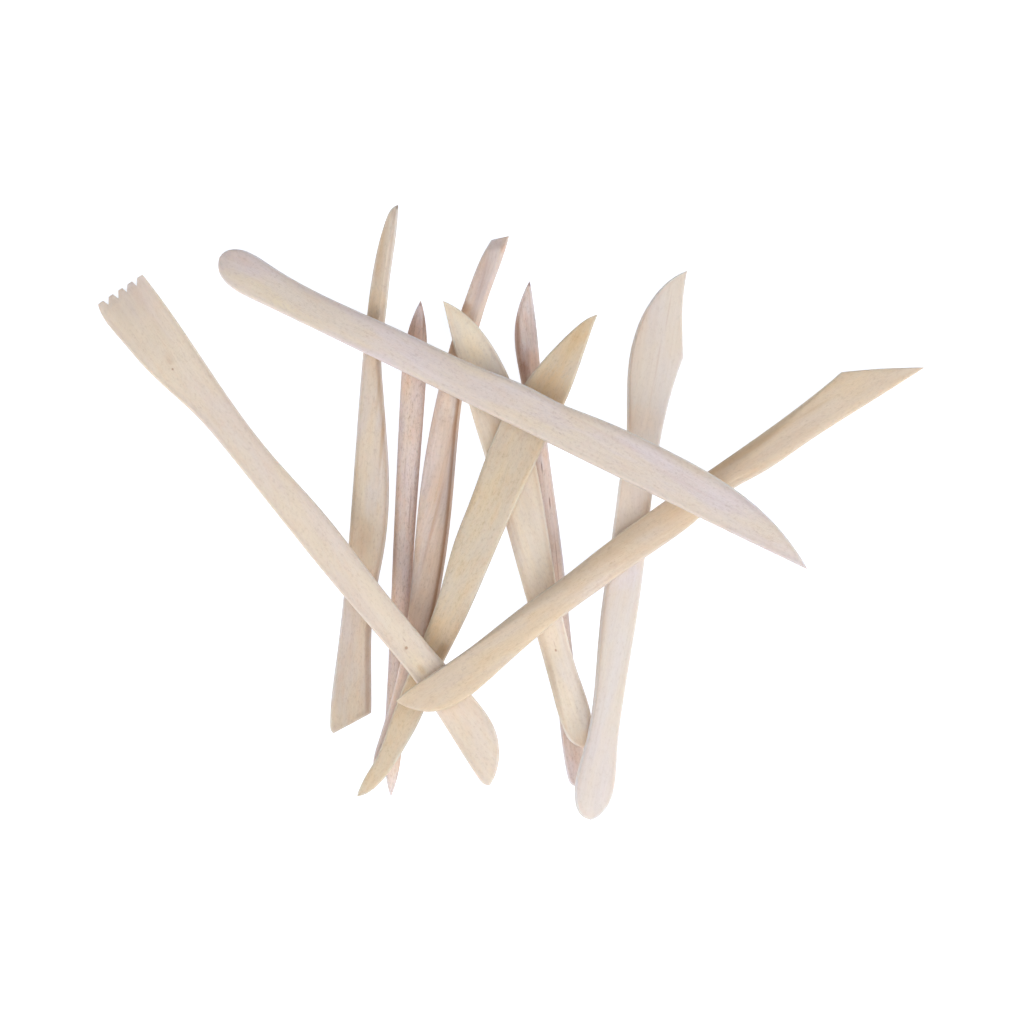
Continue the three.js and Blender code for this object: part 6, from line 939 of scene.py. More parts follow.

# ---------------------------------------------------------------- wood
# look of each tool: main colour, warm tint, cool tint, then how strong its streaks, rings, pores and speckle are,
# its painted pale edge light, its painted edge and side-wall shade, and spots that are partly its own tone and partly
# painted shadow and highlight

LOOKS = {
    "A": {"fleck": 0.12, "side_wall_shade": 0.05, "rim": (0.0, 1.1), "edge_shade": (0.3, 0.1), "base": 'e0cfc2', "warm": 'e1cdb6', "cool": 'dccac4', "streak": 0.13, "ring": 0.05, "fibre": 0.22, "speck": 0.62, "pore": 0.08, "hue": 0.35, "rough": 0.6, "relief": 1.4, "turn": 1.0, "spots_and_painted_shading": [(-97.1, 4.4, 11, 2.2, 0.6, (1.0, 0.965, 0.975, 1)), (-88.4, -2.5, 17, 3.6, 0.9, (1.02, 1.01, 0.87, 1)), (-71.8, -3.6, 14, 2.4, 0.5, (1.01, 1.0, 0.92, 1)), (-57.1, -1.9, 18, 1.2, 0.5, (1.0, 0.98, 0.92, 1)), (25.1, 7.4, 22, 1.0, 0.45, (0.95, 0.9, 0.91, 1)), (59.9, 5.3, 20, 0.5, 0.5, (0.94, 0.9, 0.9, 1)), (-100.2, 1.1, 1.6, 4.5, 0.5, (0.95, 0.93, 0.94, 1)), (-6.3, 2.7, 32, 6, 0.8, (1.0, 0.99, 0.93, 1)), (-22.2, 1.7, 12, 6, 0.6, (1.0, 0.99, 0.945, 1)), (13.4, 4.1, 12, 5, 0.5, (1.0, 0.995, 0.95, 1)), (-96.0, 2.5, 13, 6, 0.75, (0.945, 0.935, 0.94, 1)), (-67.2, -0.6, 30, 7, 0.6, (0.955, 0.955, 0.955, 1)), (-73.7, -0.1, 16, 6, 0.5, (0.975, 0.97, 0.955, 1))]},
    "B": {"fleck": 0.15, "side_wall_shade": 0.0, "rim": (0.0, 0.5), "edge_shade": (0.3, 0.15), "base": 'e6d2bc', "warm": 'e8d3b8', "cool": 'e3cebc', "streak": 0.11, "ring": 0.04, "fibre": 0.2, "speck": 0.55, "pore": 0.1, "hue": 0.4, "rough": 0.64, "relief": 1.3, "turn": -1.2, "spots_and_painted_shading": [(-94.9, -1.3, 15, 11, 0.85, (0.885, 0.875, 0.9, 1)), (-93.9, -0.5, 3.2, 9.5, 0.5, (0.92, 0.91, 0.94, 1)), (-88.1, 2.5, 6, 2.2, 0.5, (1.0, 0.96, 0.95, 1)), (-65.0, -2.0, 0.6, 0.5, 0.85, (0.62, 0.45, 0.38, 1)), (-67.5, -1.5, 1.4, 1.0, 0.35, (0.86, 0.76, 0.72, 1)), (45.1, 4.9, 0.75, 0.7, 0.85, (0.62, 0.45, 0.38, 1)), (45.6, 4.2, 1.6, 0.5, 0.35, (0.84, 0.74, 0.68, 1)), (42.8, 5.9, 1.1, 0.3, 0.4, (0.62, 0.45, 0.38, 1)), (52.9, 5.5, 4.2, 4.0, 0.7, (1.1, 1.1, 1.06, 1)), (48.3, 10.3, 5, 0.9, 0.55, (0.86, 0.78, 0.71, 1)), (-73.5, -0.9, 13, 6, 0.5, (0.95, 0.945, 0.95, 1)), (80.2, 3.9, 14, 3.2, 0.35, (1.0, 0.985, 0.94, 1)), (-82.0, -3.4, 14, 12, 0.75, (0.94, 0.93, 0.925, 1)), (50.9, 3.3, 6, 7, 0.75, (1.03, 1.035, 0.97, 1)), (52.8, 4.8, 2.4, 1.3, 0.6, (0.84, 0.72, 0.58, 1)), (53.0, -3.9, 2.0, 1.2, 0.5, (0.86, 0.75, 0.62, 1)), (-68.5, -0.8, 3.2, 1.8, 0.5, (0.9, 0.83, 0.79, 1)), (-30.7, -2.0, 16, 7, 0.6, (0.985, 1.0, 1.04, 1)), (80.2, 5.4, 22, 12, 0.7, (0.965, 0.965, 0.968, 1)), (61.0, 5.4, 6, 6, 0.5, (1.0, 0.985, 0.955, 1))]},
    "C": {"fleck": 0.25, "side_wall_shade": 0.0, "rim": (0.9, 0.2), "edge_shade": (0, 0), "base": 'dcc3a6', "warm": 'ddc3a1', "cool": 'd9c4ad', "streak": 0.15, "ring": 0.05, "fibre": 0.2, "speck": 0.5, "pore": 0.1, "hue": 0.45, "rough": 0.56, "relief": 1.4, "turn": 0.6, "spots_and_painted_shading": [(-35.4, -7.1, 22, 1.5, 0.5, (0.9, 0.8, 0.7, 1)), (-23.6, -5.2, 6, 4, 0.35, (0.9, 0.83, 0.75, 1)), (16.3, -2.5, 5, 2.4, 0.35, (0.9, 0.82, 0.78, 1)), (82.1, 3.2, 15, 5.0, 0.45, (0.97, 0.94, 0.89, 1)), (-59.7, -6.9, 9, 0.5, 0.5, (0.86, 0.8, 0.74, 1)), (16.5, 2.4, 30, 7, 0.85, (0.985, 1.005, 1.085, 1)), (15.6, -4.5, 0.9, 0.35, 0.7, (0.82, 0.74, 0.7, 1)), (17.6, -0.4, 0.9, 0.35, 0.7, (0.82, 0.74, 0.7, 1)), (16.9, -4.3, 0.8, 0.35, 0.5, (1.07, 1.08, 1.1, 1)), (-51.0, -5.9, 16, 9, 0.6, (0.955, 0.94, 0.94, 1)), (-33.2, -3.8, 7, 6, 0.6, (1.02, 0.99, 0.96, 1)), (2.6, 4.0, 24, 1.4, 0.4, (1.02, 1.01, 1.02, 1))]},
    "D": {"side_wall_shade": 0.3, "rim": (1.3, 1.3), "edge_shade": (0.1, 0.5), "edge_shade_tint": (0.8, 0.76, 0.72, 1), "base": 'd9c5b1', "warm": 'dcc6a9', "cool": 'd5c4b5', "streak": 0.18, "ring": 0.08, "fibre": 0.26, "speck": 0.6, "pore": 0.2, "hue": 0.7, "rough": 0.64, "relief": 1.5, "turn": -0.6, "spots_and_painted_shading": [(-77.9, -0.1, 1.0, 0.9, 0.85, (0.48, 0.43, 0.4, 1)), (-76.6, -1.1, 3.0, 1.6, 0.5, (0.84, 0.8, 0.76, 1)), (24.1, -1.4, 4.5, 3.2, 0.5, (0.88, 0.82, 0.76, 1)), (-47.6, -3.9, 3.2, 3.0, 0.5, (1.1, 1.1, 1.11, 1)), (-65.4, -4.3, 15, 1.7, 0.65, (0.92, 0.82, 0.71, 1)), (-67.7, -2.0, 13, 0.6, 0.6, (1.09, 1.11, 1.08, 1)), (-9.9, 1.6, 17, 0.8, 0.75, (0.82, 0.7, 0.58, 1)), (-20.8, -0.9, 9, 0.6, 0.5, (0.85, 0.76, 0.68, 1)), (55.0, -2.0, 14, 0.8, 0.4, (0.88, 0.82, 0.8, 1)), (29.2, -1.3, 12, 2.2, 0.3, (1.02, 0.99, 1.0, 1)), (80.5, -5.4, 3.2, 2.4, 0.35, (0.88, 0.82, 0.8, 1)), (-49.3, -4.7, 5, 6, 0.85, (1.07, 1.02, 0.92, 1)), (10.9, -0.5, 9, 5, 0.6, (1.045, 1.055, 1.05, 1)), (29.2, -1.3, 6, 5, 0.5, (0.99, 0.975, 0.93, 1))]},
    "E": {"side_wall_shade": 0.5, "rim": (0.9, -0.6), "edge_shade": (0, 0.12), "base": 'e2ccbc', "warm": 'e8d0b9', "cool": 'dec9bf', "streak": 0.22, "ring": 0.08, "fibre": 0.42, "speck": 1.0, "pore": 0.6, "hue": 1.1, "rough": 0.7, "relief": 2.4, "turn": 0.4, "spots_and_painted_shading": [(-11.5, 0.6, 9, 0.35, 0.7, (0.7, 0.58, 0.54, 1)), (-23.5, -1.6, 7, 0.25, 0.5, (0.74, 0.64, 0.6, 1)), (-68.4, 1.4, 6, 0.5, 0.75, (0.68, 0.58, 0.56, 1)), (-73.8, 0.0, 0.9, 0.7, 0.7, (0.5, 0.42, 0.42, 1)), (-2.2, -3.1, 16, 0.9, 0.45, (0.84, 0.74, 0.7, 1)), (-31.0, -2.1, 28, 4.5, 0.55, (0.9, 0.88, 0.88, 1)), (8.9, -1.8, 9, 3.0, 0.5, (1.08, 1.07, 1.07, 1)), (71.7, -0.1, 8, 4.0, 0.9, (1.0, 1.08, 1.19, 1)), (-65.5, -2.3, 9, 5, 0.9, (0.93, 0.8, 0.71, 1)), (-19.9, -1.4, 10, 4, 0.6, (0.98, 0.955, 0.935, 1)), (-5.4, -1.4, 10, 4, 0.6, (1.0, 0.985, 0.94, 1)), (13.4, -2.1, 6, 4, 0.6, (1.04, 1.03, 1.05, 1))]},
    "F": {"side_wall_shade": 0.15, "rim": (1.3, 0.2), "edge_shade": (0, 0.95), "edge_shade_tint": (0.6, 0.47, 0.38, 1), "base": 'dbc4b2', "warm": 'e3c6ac', "cool": 'd6c3b7', "streak": 0.24, "ring": 0.12, "fibre": 0.26, "speck": 0.55, "pore": 0.2, "hue": 0.8, "rough": 0.66, "relief": 1.5, "turn": 3.5, "sway": 8.0, "edge_shade_x": (-53.2, -36.6), "spots_and_painted_shading": [(-81.8, -0.8, 2.4, 4.0, 0.5, (0.84, 0.8, 0.82, 1)), (-79.8, 1.3, 1.8, 0.9, 0.6, (0.84, 0.7, 0.62, 1)), (-70.5, -2.5, 11, 0.5, 0.6, (0.9, 0.8, 0.76, 1)), (-74.3, -4.9, 9, 1.6, 0.4, (0.97, 0.96, 1.0, 1)), (-75.2, 1.7, 7, 0.6, 0.8, (1.1, 1.09, 1.06, 1)), (-59.9, -5.5, 2.6, 1.9, 0.6, (0.8, 0.64, 0.54, 1)), (-15.3, -0.8, 24, 1.0, 0.4, (0.92, 0.82, 0.72, 1)), (-69.2, -2.8, 12, 3.0, 0.7, (0.87, 0.83, 0.84, 1)), (-31.3, -4.0, 3.2, 2.4, 0.6, (1.12, 1.12, 1.12, 1)), (58.9, -0.5, 17, 3.4, 0.8, (1.12, 1.11, 1.15, 1)), (-15.0, -5.7, 18, 0.9, 0.85, (1.07, 1.09, 1.13, 1)), (2.2, 0.2, 12, 0.8, 0.6, (0.86, 0.72, 0.64, 1)), (12.5, -0.1, 13, 0.6, 0.5, (0.86, 0.74, 0.68, 1)), (76.5, -1.0, 5, 0.8, 0.3, (0.9, 0.84, 0.82, 1)), (-31.3, -2.5, 8, 5, 0.85, (1.11, 1.19, 1.24, 1)), (45.6, -0.3, 9, 3, 0.6, (1.05, 1.08, 1.13, 1)), (-16.3, -4.2, 10, 1.8, 0.75, (1.08, 1.11, 1.16, 1)), (-56.4, -4.4, 6, 4, 0.85, (0.93, 0.86, 0.78, 1)), (-6.8, -1.0, 9, 5, 0.6, (0.98, 0.945, 0.92, 1)), (8.5, -0.5, 9, 5, 0.6, (1.04, 1.055, 1.065, 1)), (26.2, 0.6, 6, 5, 0.7, (1.05, 1.07, 1.08, 1)), (61.1, -0.9, 9, 5, 0.5, (1.04, 1.05, 1.06, 1))]},
    "G": {"side_wall_shade": 0.1, "rim": (1.3, 1.1), "edge_shade": (0, 0), "base": 'd5bfa3', "warm": 'd9c09c', "cool": 'd1bfa8', "streak": 0.14, "ring": 0.05, "fibre": 0.24, "speck": 0.66, "pore": 0.2, "hue": 0.7, "rough": 0.62, "relief": 1.4, "turn": -0.8, "spots_and_painted_shading": [(-12.8, -8.1, 8, 1.4, 0.5, (1.02, 0.95, 0.84, 1)), (-53.6, -4.7, 9, 6, 0.4, (0.93, 0.85, 0.76, 1)), (-71.3, -2.8, 19, 6.5, 0.75, (1.0, 0.95, 0.86, 1)), (30.4, 3.8, 4, 2.6, 0.7, (0.8, 0.66, 0.5, 1)), (-31.3, -8.0, 14, 2.2, 0.3, (0.97, 0.95, 0.96, 1)), (-70.7, -2.6, 10, 1.4, 0.4, (0.92, 0.85, 0.76, 1)), (-52.7, -1.9, 11, 10, 0.75, (1.0, 0.905, 0.78, 1)), (24.7, 1.9, 7, 8, 0.85, (1.09, 1.01, 0.91, 1)), (-69.4, -1.9, 18, 9, 0.5, (1.0, 0.975, 0.955, 1)), (11.6, 0.0, 8, 7, 0.5, (1.03, 1.04, 1.05, 1))]},
    "H": {"fleck": 0.2, "side_wall_shade": 0.05, "rim": (0.3, 0.3), "edge_shade": (0.25, 0.4), "edge_shade_tint": (0.86, 0.79, 0.72, 1), "base": 'e4d2be', "warm": 'e7d3b7', "cool": 'e0d1c2', "streak": 0.12, "ring": 0.06, "fibre": 0.18, "speck": 0.5, "pore": 0.14, "hue": 0.35, "rough": 0.58, "relief": 1.2, "turn": 0.9, "spots_and_painted_shading": [(39.6, 0.5, 0.6, 0.45, 0.9, (0.62, 0.45, 0.38, 1)), (37.8, 0.7, 1.6, 0.2, 0.4, (0.62, 0.45, 0.38, 1)), (0.0, -0.2, 17, 0.7, 0.45, (0.9, 0.83, 0.77, 1)), (-28.1, 3.6, 5, 2.2, 0.55, (0.9, 0.8, 0.66, 1)), (-58.6, 4.8, 20, 9, 0.8, (1.035, 1.015, 0.93, 1)), (17.2, 6.3, 4, 3.0, 0.5, (1.1, 1.1, 1.1, 1)), (58.9, -3.4, 9, 0.8, 0.5, (1.08, 1.08, 1.1, 1)), (-66.9, 2.6, 5, 1.6, 0.4, (1.0, 0.975, 0.9, 1)), (-54.0, 3.3, 7, 6, 0.8, (1.09, 1.07, 1.02, 1)), (-57.2, 7.2, 13, 3.6, 0.6, (1.05, 1.06, 1.03, 1)), (-43.6, 6.3, 6, 6, 0.7, (0.95, 0.945, 0.94, 1)), (4.8, 4.9, 20, 6, 0.75, (1.01, 0.985, 0.91, 1)), (28.8, 3.9, 6, 5, 0.75, (0.97, 1.0, 1.09, 1)), (55.8, 1.7, 8, 6, 0.5, (1.03, 1.035, 1.035, 1)), (68.5, 0.2, 5, 5, 0.75, (1.03, 0.98, 0.9, 1))]},
    "I": {"side_wall_shade": 0.4, "rim": (1.1, 0.8), "edge_shade": (0.5, 0), "edge_shade_tint": (0.78, 0.7, 0.66, 1), "base": 'e3d2ca', "warm": 'e8d3c4', "cool": 'ddcfcb', "streak": 0.4, "ring": 0.16, "fibre": 0.46, "speck": 0.62, "pore": 0.44, "hue": 0.8, "rough": 0.68, "relief": 1.9, "turn": -0.3, "spots_and_painted_shading": [(-20.2, -1.5, 2.4, 0.22, 0.95, (0.42, 0.3, 0.28, 1)), (-9.5, -0.1, 2.4, 0.22, 0.95, (0.45, 0.33, 0.3, 1)), (-60.6, -5.3, 13, 1.6, 0.9, (0.7, 0.56, 0.48, 1)), (-49.3, -4.5, 5, 2.6, 0.8, (0.72, 0.58, 0.5, 1)), (-75.6, -0.1, 1.0, 0.9, 0.9, (0.45, 0.37, 0.38, 1)), (-64.3, -2.2, 6, 0.25, 0.4, (0.78, 0.68, 0.66, 1)), (-57.5, -4.1, 7, 0.22, 0.3, (0.78, 0.68, 0.64, 1)), (-60.1, -0.2, 10, 0.7, 0.7, (1.06, 1.04, 1.06, 1)), (8.1, 0.4, 14, 0.3, 0.6, (0.7, 0.56, 0.5, 1)), (70.1, -1.4, 8, 3.2, 0.75, (1.0, 1.02, 1.09, 1)), (71.5, -3.0, 4, 0.8, 0.3, (0.86, 0.82, 0.84, 1)), (-53.5, -3.5, 5, 2.2, 0.55, (0.82, 0.74, 0.7, 1)), (30.1, 1.4, 5, 1.5, 0.4, (1.1, 1.09, 1.09, 1)), (-61.2, -1.9, 6, 3, 0.7, (0.97, 0.93, 0.9, 1)), (-52.1, -2.2, 6, 4, 0.9, (0.93, 0.79, 0.69, 1)), (-67.2, -1.7, 18, 4, 0.6, (0.94, 0.9, 0.86, 1)), (-13.2, -0.3, 8, 3, 0.6, (1.03, 1.055, 1.09, 1)), (8.2, 0.7, 8, 3, 0.6, (1.05, 1.06, 1.05, 1))]},
    "J": {"fleck": 0.1, "side_wall_shade": 0.05, "rim": (1.0, 0.7), "edge_shade": (0.2, 0.1), "edge_shade_tint": (0.9, 0.78, 0.7, 1), "base": 'e0d0c0', "warm": 'e2d1bc', "cool": 'ddcfc3', "streak": 0.12, "ring": 0.07, "fibre": 0.15, "speck": 0.36, "pore": 0.12, "hue": 0.2, "rough": 0.62, "relief": 1.1, "turn": 2.4, "sway": 7.0, "spots_and_painted_shading": [(-71.1, -3.4, 9, 0.38, 0.55, (0.89, 0.81, 0.78, 1)), (-55.5, -4.1, 9, 0.38, 0.55, (0.89, 0.81, 0.78, 1)), (-44.4, -4.3, 6, 0.38, 0.45, (0.9, 0.83, 0.8, 1)), (-64.2, -10.8, 14, 1.1, 0.4, (0.96, 0.93, 0.91, 1)), (-72.2, -1.1, 9, 0.9, 0.4, (1.02, 1.0, 1.02, 1)), (-22.4, -3.5, 5, 4, 0.3, (0.93, 0.87, 0.82, 1)), (44.7, -2.9, 24, 0.6, 0.3, (0.94, 0.9, 0.88, 1)), (44.3, -0.5, 30, 2.0, 0.5, (1.0, 1.01, 1.04, 1)), (69.2, -0.5, 24, 9, 0.7, (0.99, 0.985, 1.04, 1)), (-66.5, -11.2, 24, 3.4, 0.6, (0.985, 0.95, 0.93, 1)), (-11.6, -0.1, 2.6, 1.3, 0.5, (0.86, 0.79, 0.73, 1)), (-61.7, -7.3, 26, 11, 0.8, (0.995, 0.972, 0.962, 1)), (-37.3, -6.1, 6, 8, 0.8, (1.03, 0.97, 0.92, 1)), (8.9, -3.6, 8, 8, 0.85, (0.98, 1.005, 1.12, 1)), (-12.3, -4.9, 5, 7, 0.5, (1.04, 1.02, 1.0, 1))]},
}


def rgb(h, k=1.0):
    out = []
    for i in (0, 2, 4):
        c = int(h[i:i + 2], 16) / 255
        c = c / 12.92 if c <= 0.04045 else ((c + 0.055) / 1.055) ** 2.4
        out.append(min(1.0, c * k))
    return (*out, 1.0)


class Nodes:
    """Short names for making and linking shader nodes."""

    def __init__(self, tree):
        self.tree = tree
        self.x = 0

    def new(self, kind, **sets):
        n = self.tree.nodes.new(kind)
        self.x += 40
        n.location = (self.x, 0)
        for k, v in sets.items():
            setattr(n, k, v)
        return n

    def link(self, a, b):
        self.tree.links.new(a, b)

    def put(self, socket, value):
        if isinstance(value, bpy.types.NodeSocket):
            self.link(value, socket)
        else:
            socket.default_value = value

    def math(self, op, a, b=0.0, c=None, clamp=False):
        n = self.new("ShaderNodeMath", operation=op, use_clamp=clamp)
        self.put(n.inputs[0], a)
        if len(n.inputs) > 1:
            self.put(n.inputs[1], b)
        if c is not None:
            self.put(n.inputs[2], c)
        return n.outputs[0]

    def scaled(self, vector, scale, shift=(0, 0, 0), turn=(0, 0, 0)):
        n = self.new("ShaderNodeMapping")
        n.inputs["Scale"].default_value = scale
        n.inputs["Location"].default_value = shift
        n.inputs["Rotation"].default_value = turn
        self.link(vector, n.inputs["Vector"])
        return n.outputs["Vector"]

    def noise(self, vector, detail=4.0, rough=0.55, distort=0.0):
        n = self.new("ShaderNodeTexNoise", noise_dimensions="3D")
        self.link(vector, n.inputs["Vector"])
        n.inputs["Scale"].default_value = 1.0
        n.inputs["Detail"].default_value = detail
        n.inputs["Roughness"].default_value = rough
        n.inputs["Distortion"].default_value = distort
        return n.outputs["Fac"]

    def span(self, value, a, b, c=0.0, d=1.0, style="SMOOTHSTEP"):
        n = self.new("ShaderNodeMapRange", interpolation_type=style, clamp=True)
        self.link(value, n.inputs["Value"])
        n.inputs["From Min"].default_value = a
        n.inputs["From Max"].default_value = b
        n.inputs["To Min"].default_value = c
        n.inputs["To Max"].default_value = d
        return n.outputs["Result"]

    def mix(self, fac, a, b, mode="MIX"):
        n = self.new("ShaderNodeMix", data_type="RGBA", blend_type=mode)
        self.put(n.inputs["Factor"], fac)
        self.put(n.inputs[6], a)
        self.put(n.inputs[7], b)
        return n.outputs[2]


def wood(key, look):
    mat = bpy.data.materials.new("wood_" + NODE[key])
    mat.use_nodes = True
    tree = mat.node_tree
    tree.nodes.clear()
    n = Nodes(tree)
    out = n.new("ShaderNodeOutputMaterial")
    bsdf = n.new("ShaderNodeBsdfPrincipled")
    n.link(bsdf.outputs[0], out.inputs[0])
    seed = (sum(map(ord, NODE[key])) % 97) * 3.7
    g = n.new("ShaderNodeAttribute", attribute_name="grain").outputs["Vector"]
    edge = n.new("ShaderNodeAttribute", attribute_name="edge").outputs["Fac"]
    endg = n.new("ShaderNodeAttribute", attribute_name="endgrain").outputs["Fac"]
    flank = n.new("ShaderNodeAttribute", attribute_name="flank").outputs["Fac"]
    side = n.math("ABSOLUTE", n.new("ShaderNodeAttribute", attribute_name="side").outputs["Fac"])

    turn = (0, 0, math.radians(look.get("turn", 0.8)))
    # the grain wanders a little along the tool
    sway = n.noise(n.scaled(g, (0.022, 0.05, 0.05), (seed, 3, 1)), 2.0, 0.5)
    sway_v = n.new("ShaderNodeCombineXYZ")
    n.put(sway_v.inputs[1], n.math("MULTIPLY", n.math("SUBTRACT", sway, 0.5), look.get("sway", 5.0)))
    n.put(sway_v.inputs[2], n.math("MULTIPLY", n.math("SUBTRACT", sway, 0.5), 1.5))
    bent = n.new("ShaderNodeVectorMath", operation="ADD")
    n.link(g, bent.inputs[0])
    n.link(sway_v.outputs[0], bent.inputs[1])
    gv = bent.outputs[0]

    mottle = n.noise(n.scaled(gv, (0.035, 0.16, 0.16), (seed + 7, 2, 5)), 3.0, 0.5)
    broad = n.noise(n.scaled(gv, (0.012, 0.42, 0.42), (seed + 1, 9, 4), turn), 4.0, 0.6)
    streak = n.noise(n.scaled(gv, (0.03, 1.9, 1.9), (seed + 2, 5, 8), turn), 5.0, 0.62)
    fibre = n.noise(n.scaled(gv, (0.22, 8.0, 8.0), (seed + 3, 1, 2), turn), 3.0, 0.6)
    speck = n.noise(n.scaled(gv, (0.75, 1.25, 1.25), (seed + 4, 6, 3)), 5.0, 0.72)
    pore_n = n.noise(n.scaled(gv, (0.75, 6.5, 6.5), (seed + 5, 4, 7), turn), 2.0, 0.5)
    fleck_n = n.noise(n.scaled(gv, (1.1, 2.4, 2.4), (seed + 6, 8, 6)), 2.0, 0.4)

    wave = n.new("ShaderNodeTexWave", wave_type="RINGS", rings_direction="X", wave_profile="SAW")
    n.link(n.scaled(gv, (0.03, 1.0, 1.0), (0.0, look.get("ring_y", 9.0), look.get("ring_z", -7.0)), turn), wave.inputs["Vector"])
    wave.inputs["Scale"].default_value = look.get("ring_scale", 0.28)
    wave.inputs["Distortion"].default_value = 2.2
    wave.inputs["Detail"].default_value = 3.0
    wave.inputs["Detail Scale"].default_value = 0.6
    wave.inputs["Detail Roughness"].default_value = 0.6
    ring = wave.outputs["Fac"]

    base, warm, cool = rgb(look["base"]), rgb(look["warm"]), rgb(look["cool"])
    col = n.mix(n.span(mottle, 0.36, 0.62), cool, warm)
    col = n.mix(look.get("even", 0.35), col, base)
    blush = n.noise(n.scaled(gv, (0.11, 0.27, 0.27), (seed + 8, 3, 9)), 3.0, 0.55)
    hue = look.get("hue", 1.0)
    col = n.mix(n.math("MULTIPLY", n.span(blush, 0.50, 0.66), 0.9 * hue), col, n.mix(1.0, col, (1.0, 0.945, 0.88, 1), "MULTIPLY"))
    col = n.mix(n.math("MULTIPLY", n.span(blush, 0.50, 0.34), 0.9 * hue), col, n.mix(1.0, col, (0.985, 1.0, 1.055, 1), "MULTIPLY"))
    tinge = n.noise(n.scaled(gv, (0.26, 0.55, 0.55), (seed + 11, 1, 6)), 3.0, 0.6)
    col = n.mix(n.math("MULTIPLY", n.span(tinge, 0.50, 0.66), 0.45 * hue), col, n.mix(1.0, col, (1.03, 0.955, 0.945, 1), "MULTIPLY"))
    col = n.mix(n.math("MULTIPLY", n.span(tinge, 0.50, 0.34), 0.45 * hue), col, n.mix(1.0, col, (0.975, 0.99, 0.985, 1), "MULTIPLY"))
    col = n.mix(n.math("MULTIPLY", n.span(broad, 0.35, 0.68), look["streak"]), col, n.mix(1.0, col, (0.80, 0.72, 0.64, 1), "MULTIPLY"))
    col = n.mix(n.math("MULTIPLY", n.span(streak, 0.42, 0.72), look["streak"] * 0.75), col, n.mix(1.0, col, (0.78, 0.70, 0.63, 1), "MULTIPLY"))
    col = n.mix(n.math("MULTIPLY", n.span(streak, 0.52, 0.25), look["streak"] * 0.5), col, n.mix(1.0, col, (1.07, 1.07, 1.08, 1), "MULTIPLY"))
    col = n.mix(n.math("MULTIPLY", n.span(ring, 0.55, 1.0, style="LINEAR"), look["ring"]), col, n.mix(1.0, col, (0.80, 0.70, 0.62, 1), "MULTIPLY"))
    col = n.mix(n.math("MULTIPLY", n.span(fibre, 0.5, 0.75), look["fibre"]), col, n.mix(1.0, col, (0.76, 0.69, 0.63, 1), "MULTIPLY"))
    col = n.mix(n.math("MULTIPLY", n.span(speck, 0.50, 0.70), look["speck"]), col, n.mix(1.0, col, (0.80, 0.74, 0.70, 1), "MULTIPLY"))
    col = n.mix(n.math("MULTIPLY", n.span(speck, 0.48, 0.30), look["speck"] * 0.6), col, n.mix(1.0, col, (1.08, 1.06, 1.04, 1), "MULTIPLY"))
    pores = n.span(pore_n, 0.60, 0.70)
    col = n.mix(n.math("MULTIPLY", pores, look["pore"]), col, n.mix(1.0, col, (0.52, 0.42, 0.36, 1), "MULTIPLY"))
    flecks = n.span(fleck_n, 0.735, 0.80)
    col = n.mix(n.math("MULTIPLY", flecks, look.get("fleck", 0.35)), col, n.mix(1.0, col, (0.55, 0.40, 0.32, 1), "MULTIPLY"))
    # ends cut across the grain drink more and look darker; side walls get painted shade, and edges a painted pale light
    col = n.mix(n.math("MULTIPLY", n.span(endg, 0.35, 0.95), 0.55), col, n.mix(1.0, col, (0.80, 0.72, 0.64, 1), "MULTIPLY"))
    # painted shade: the side walls are darkened and greyed by how far they face sideways
    col = n.mix(n.math("MULTIPLY", n.span(side, 0.55, 0.98), look.get("side_wall_shade", 0.6)), col, n.mix(1.0, col, (0.74, 0.68, 0.66, 1), "MULTIPLY"))
    # painted highlight along the edges, broken up by noise
    rim_n = n.noise(n.scaled(g, (0.5, 0.8, 0.8), (seed, 0, 0)), 3.0, 0.6)
    rim = n.math("MULTIPLY", n.span(edge, 0.72, 0.24), n.span(rim_n, 0.35, 0.65, 0.55, 1.0))
    # painted light: a pale cool rim along each edge, the bounce of the pale floor, and just inside it a strip of
    # painted shade;
    # how much differs between the two edges of a tool
    inner = n.math("MULTIPLY", n.span(edge, 0.40, 0.85), n.span(edge, 2.1, 1.0))
    along = n.new("ShaderNodeSeparateXYZ")
    n.link(g, along.inputs[0])
    reach = n.span(along.outputs[0], *look.get("edge_shade_x", (-500.0, -499.0)))
    for level, pale, edge_shade in zip((-1.0, 1.0), look["rim"], look["edge_shade"]):
        here = n.span(n.math("MULTIPLY", flank, level), 0.0, 0.35)
        tint = (0.98 + 0.055 * pale, 1 + 0.135 * pale, 1.03 + 0.215 * pale, 1)
        col = n.mix(n.math("MULTIPLY", rim, here), col, n.mix(1.0, col, tint, "MULTIPLY"))
        # painted shade just inside the edge, only over a stretch of the tool where one is given
        if edge_shade > 0:
            where = n.math("MULTIPLY", n.math("MULTIPLY", inner, here), reach)
            col = n.mix(n.math("MULTIPLY", where, edge_shade), col, n.mix(1.0, col, look.get("edge_shade_tint", (0.82, 0.84, 0.86, 1)), "MULTIPLY"))
    for (mx, my, lx, ly, amount, tint) in look.get("spots_and_painted_shading", ()):
        # a spot or streak at one place on the tool: some are the wood's own stains and grain lines, many are painted
        # shade and painted highlight, where other tools cross it or lie near it and around small dents
        rel = n.scaled(g, (1 / lx, 1 / ly, 0.0), (-mx / lx, -my / ly, 0.0))
        length = n.new("ShaderNodeVectorMath", operation="LENGTH")
        n.link(rel, length.inputs[0])
        ragged = n.math("ADD", length.outputs["Value"], n.math("MULTIPLY", n.math("SUBTRACT", speck, 0.5), 0.9))
        col = n.mix(n.math("MULTIPLY", n.span(ragged, 1.0, 0.3), amount), col, n.mix(1.0, col, tint, "MULTIPLY"))
    n.link(col, bsdf.inputs["Base Color"])

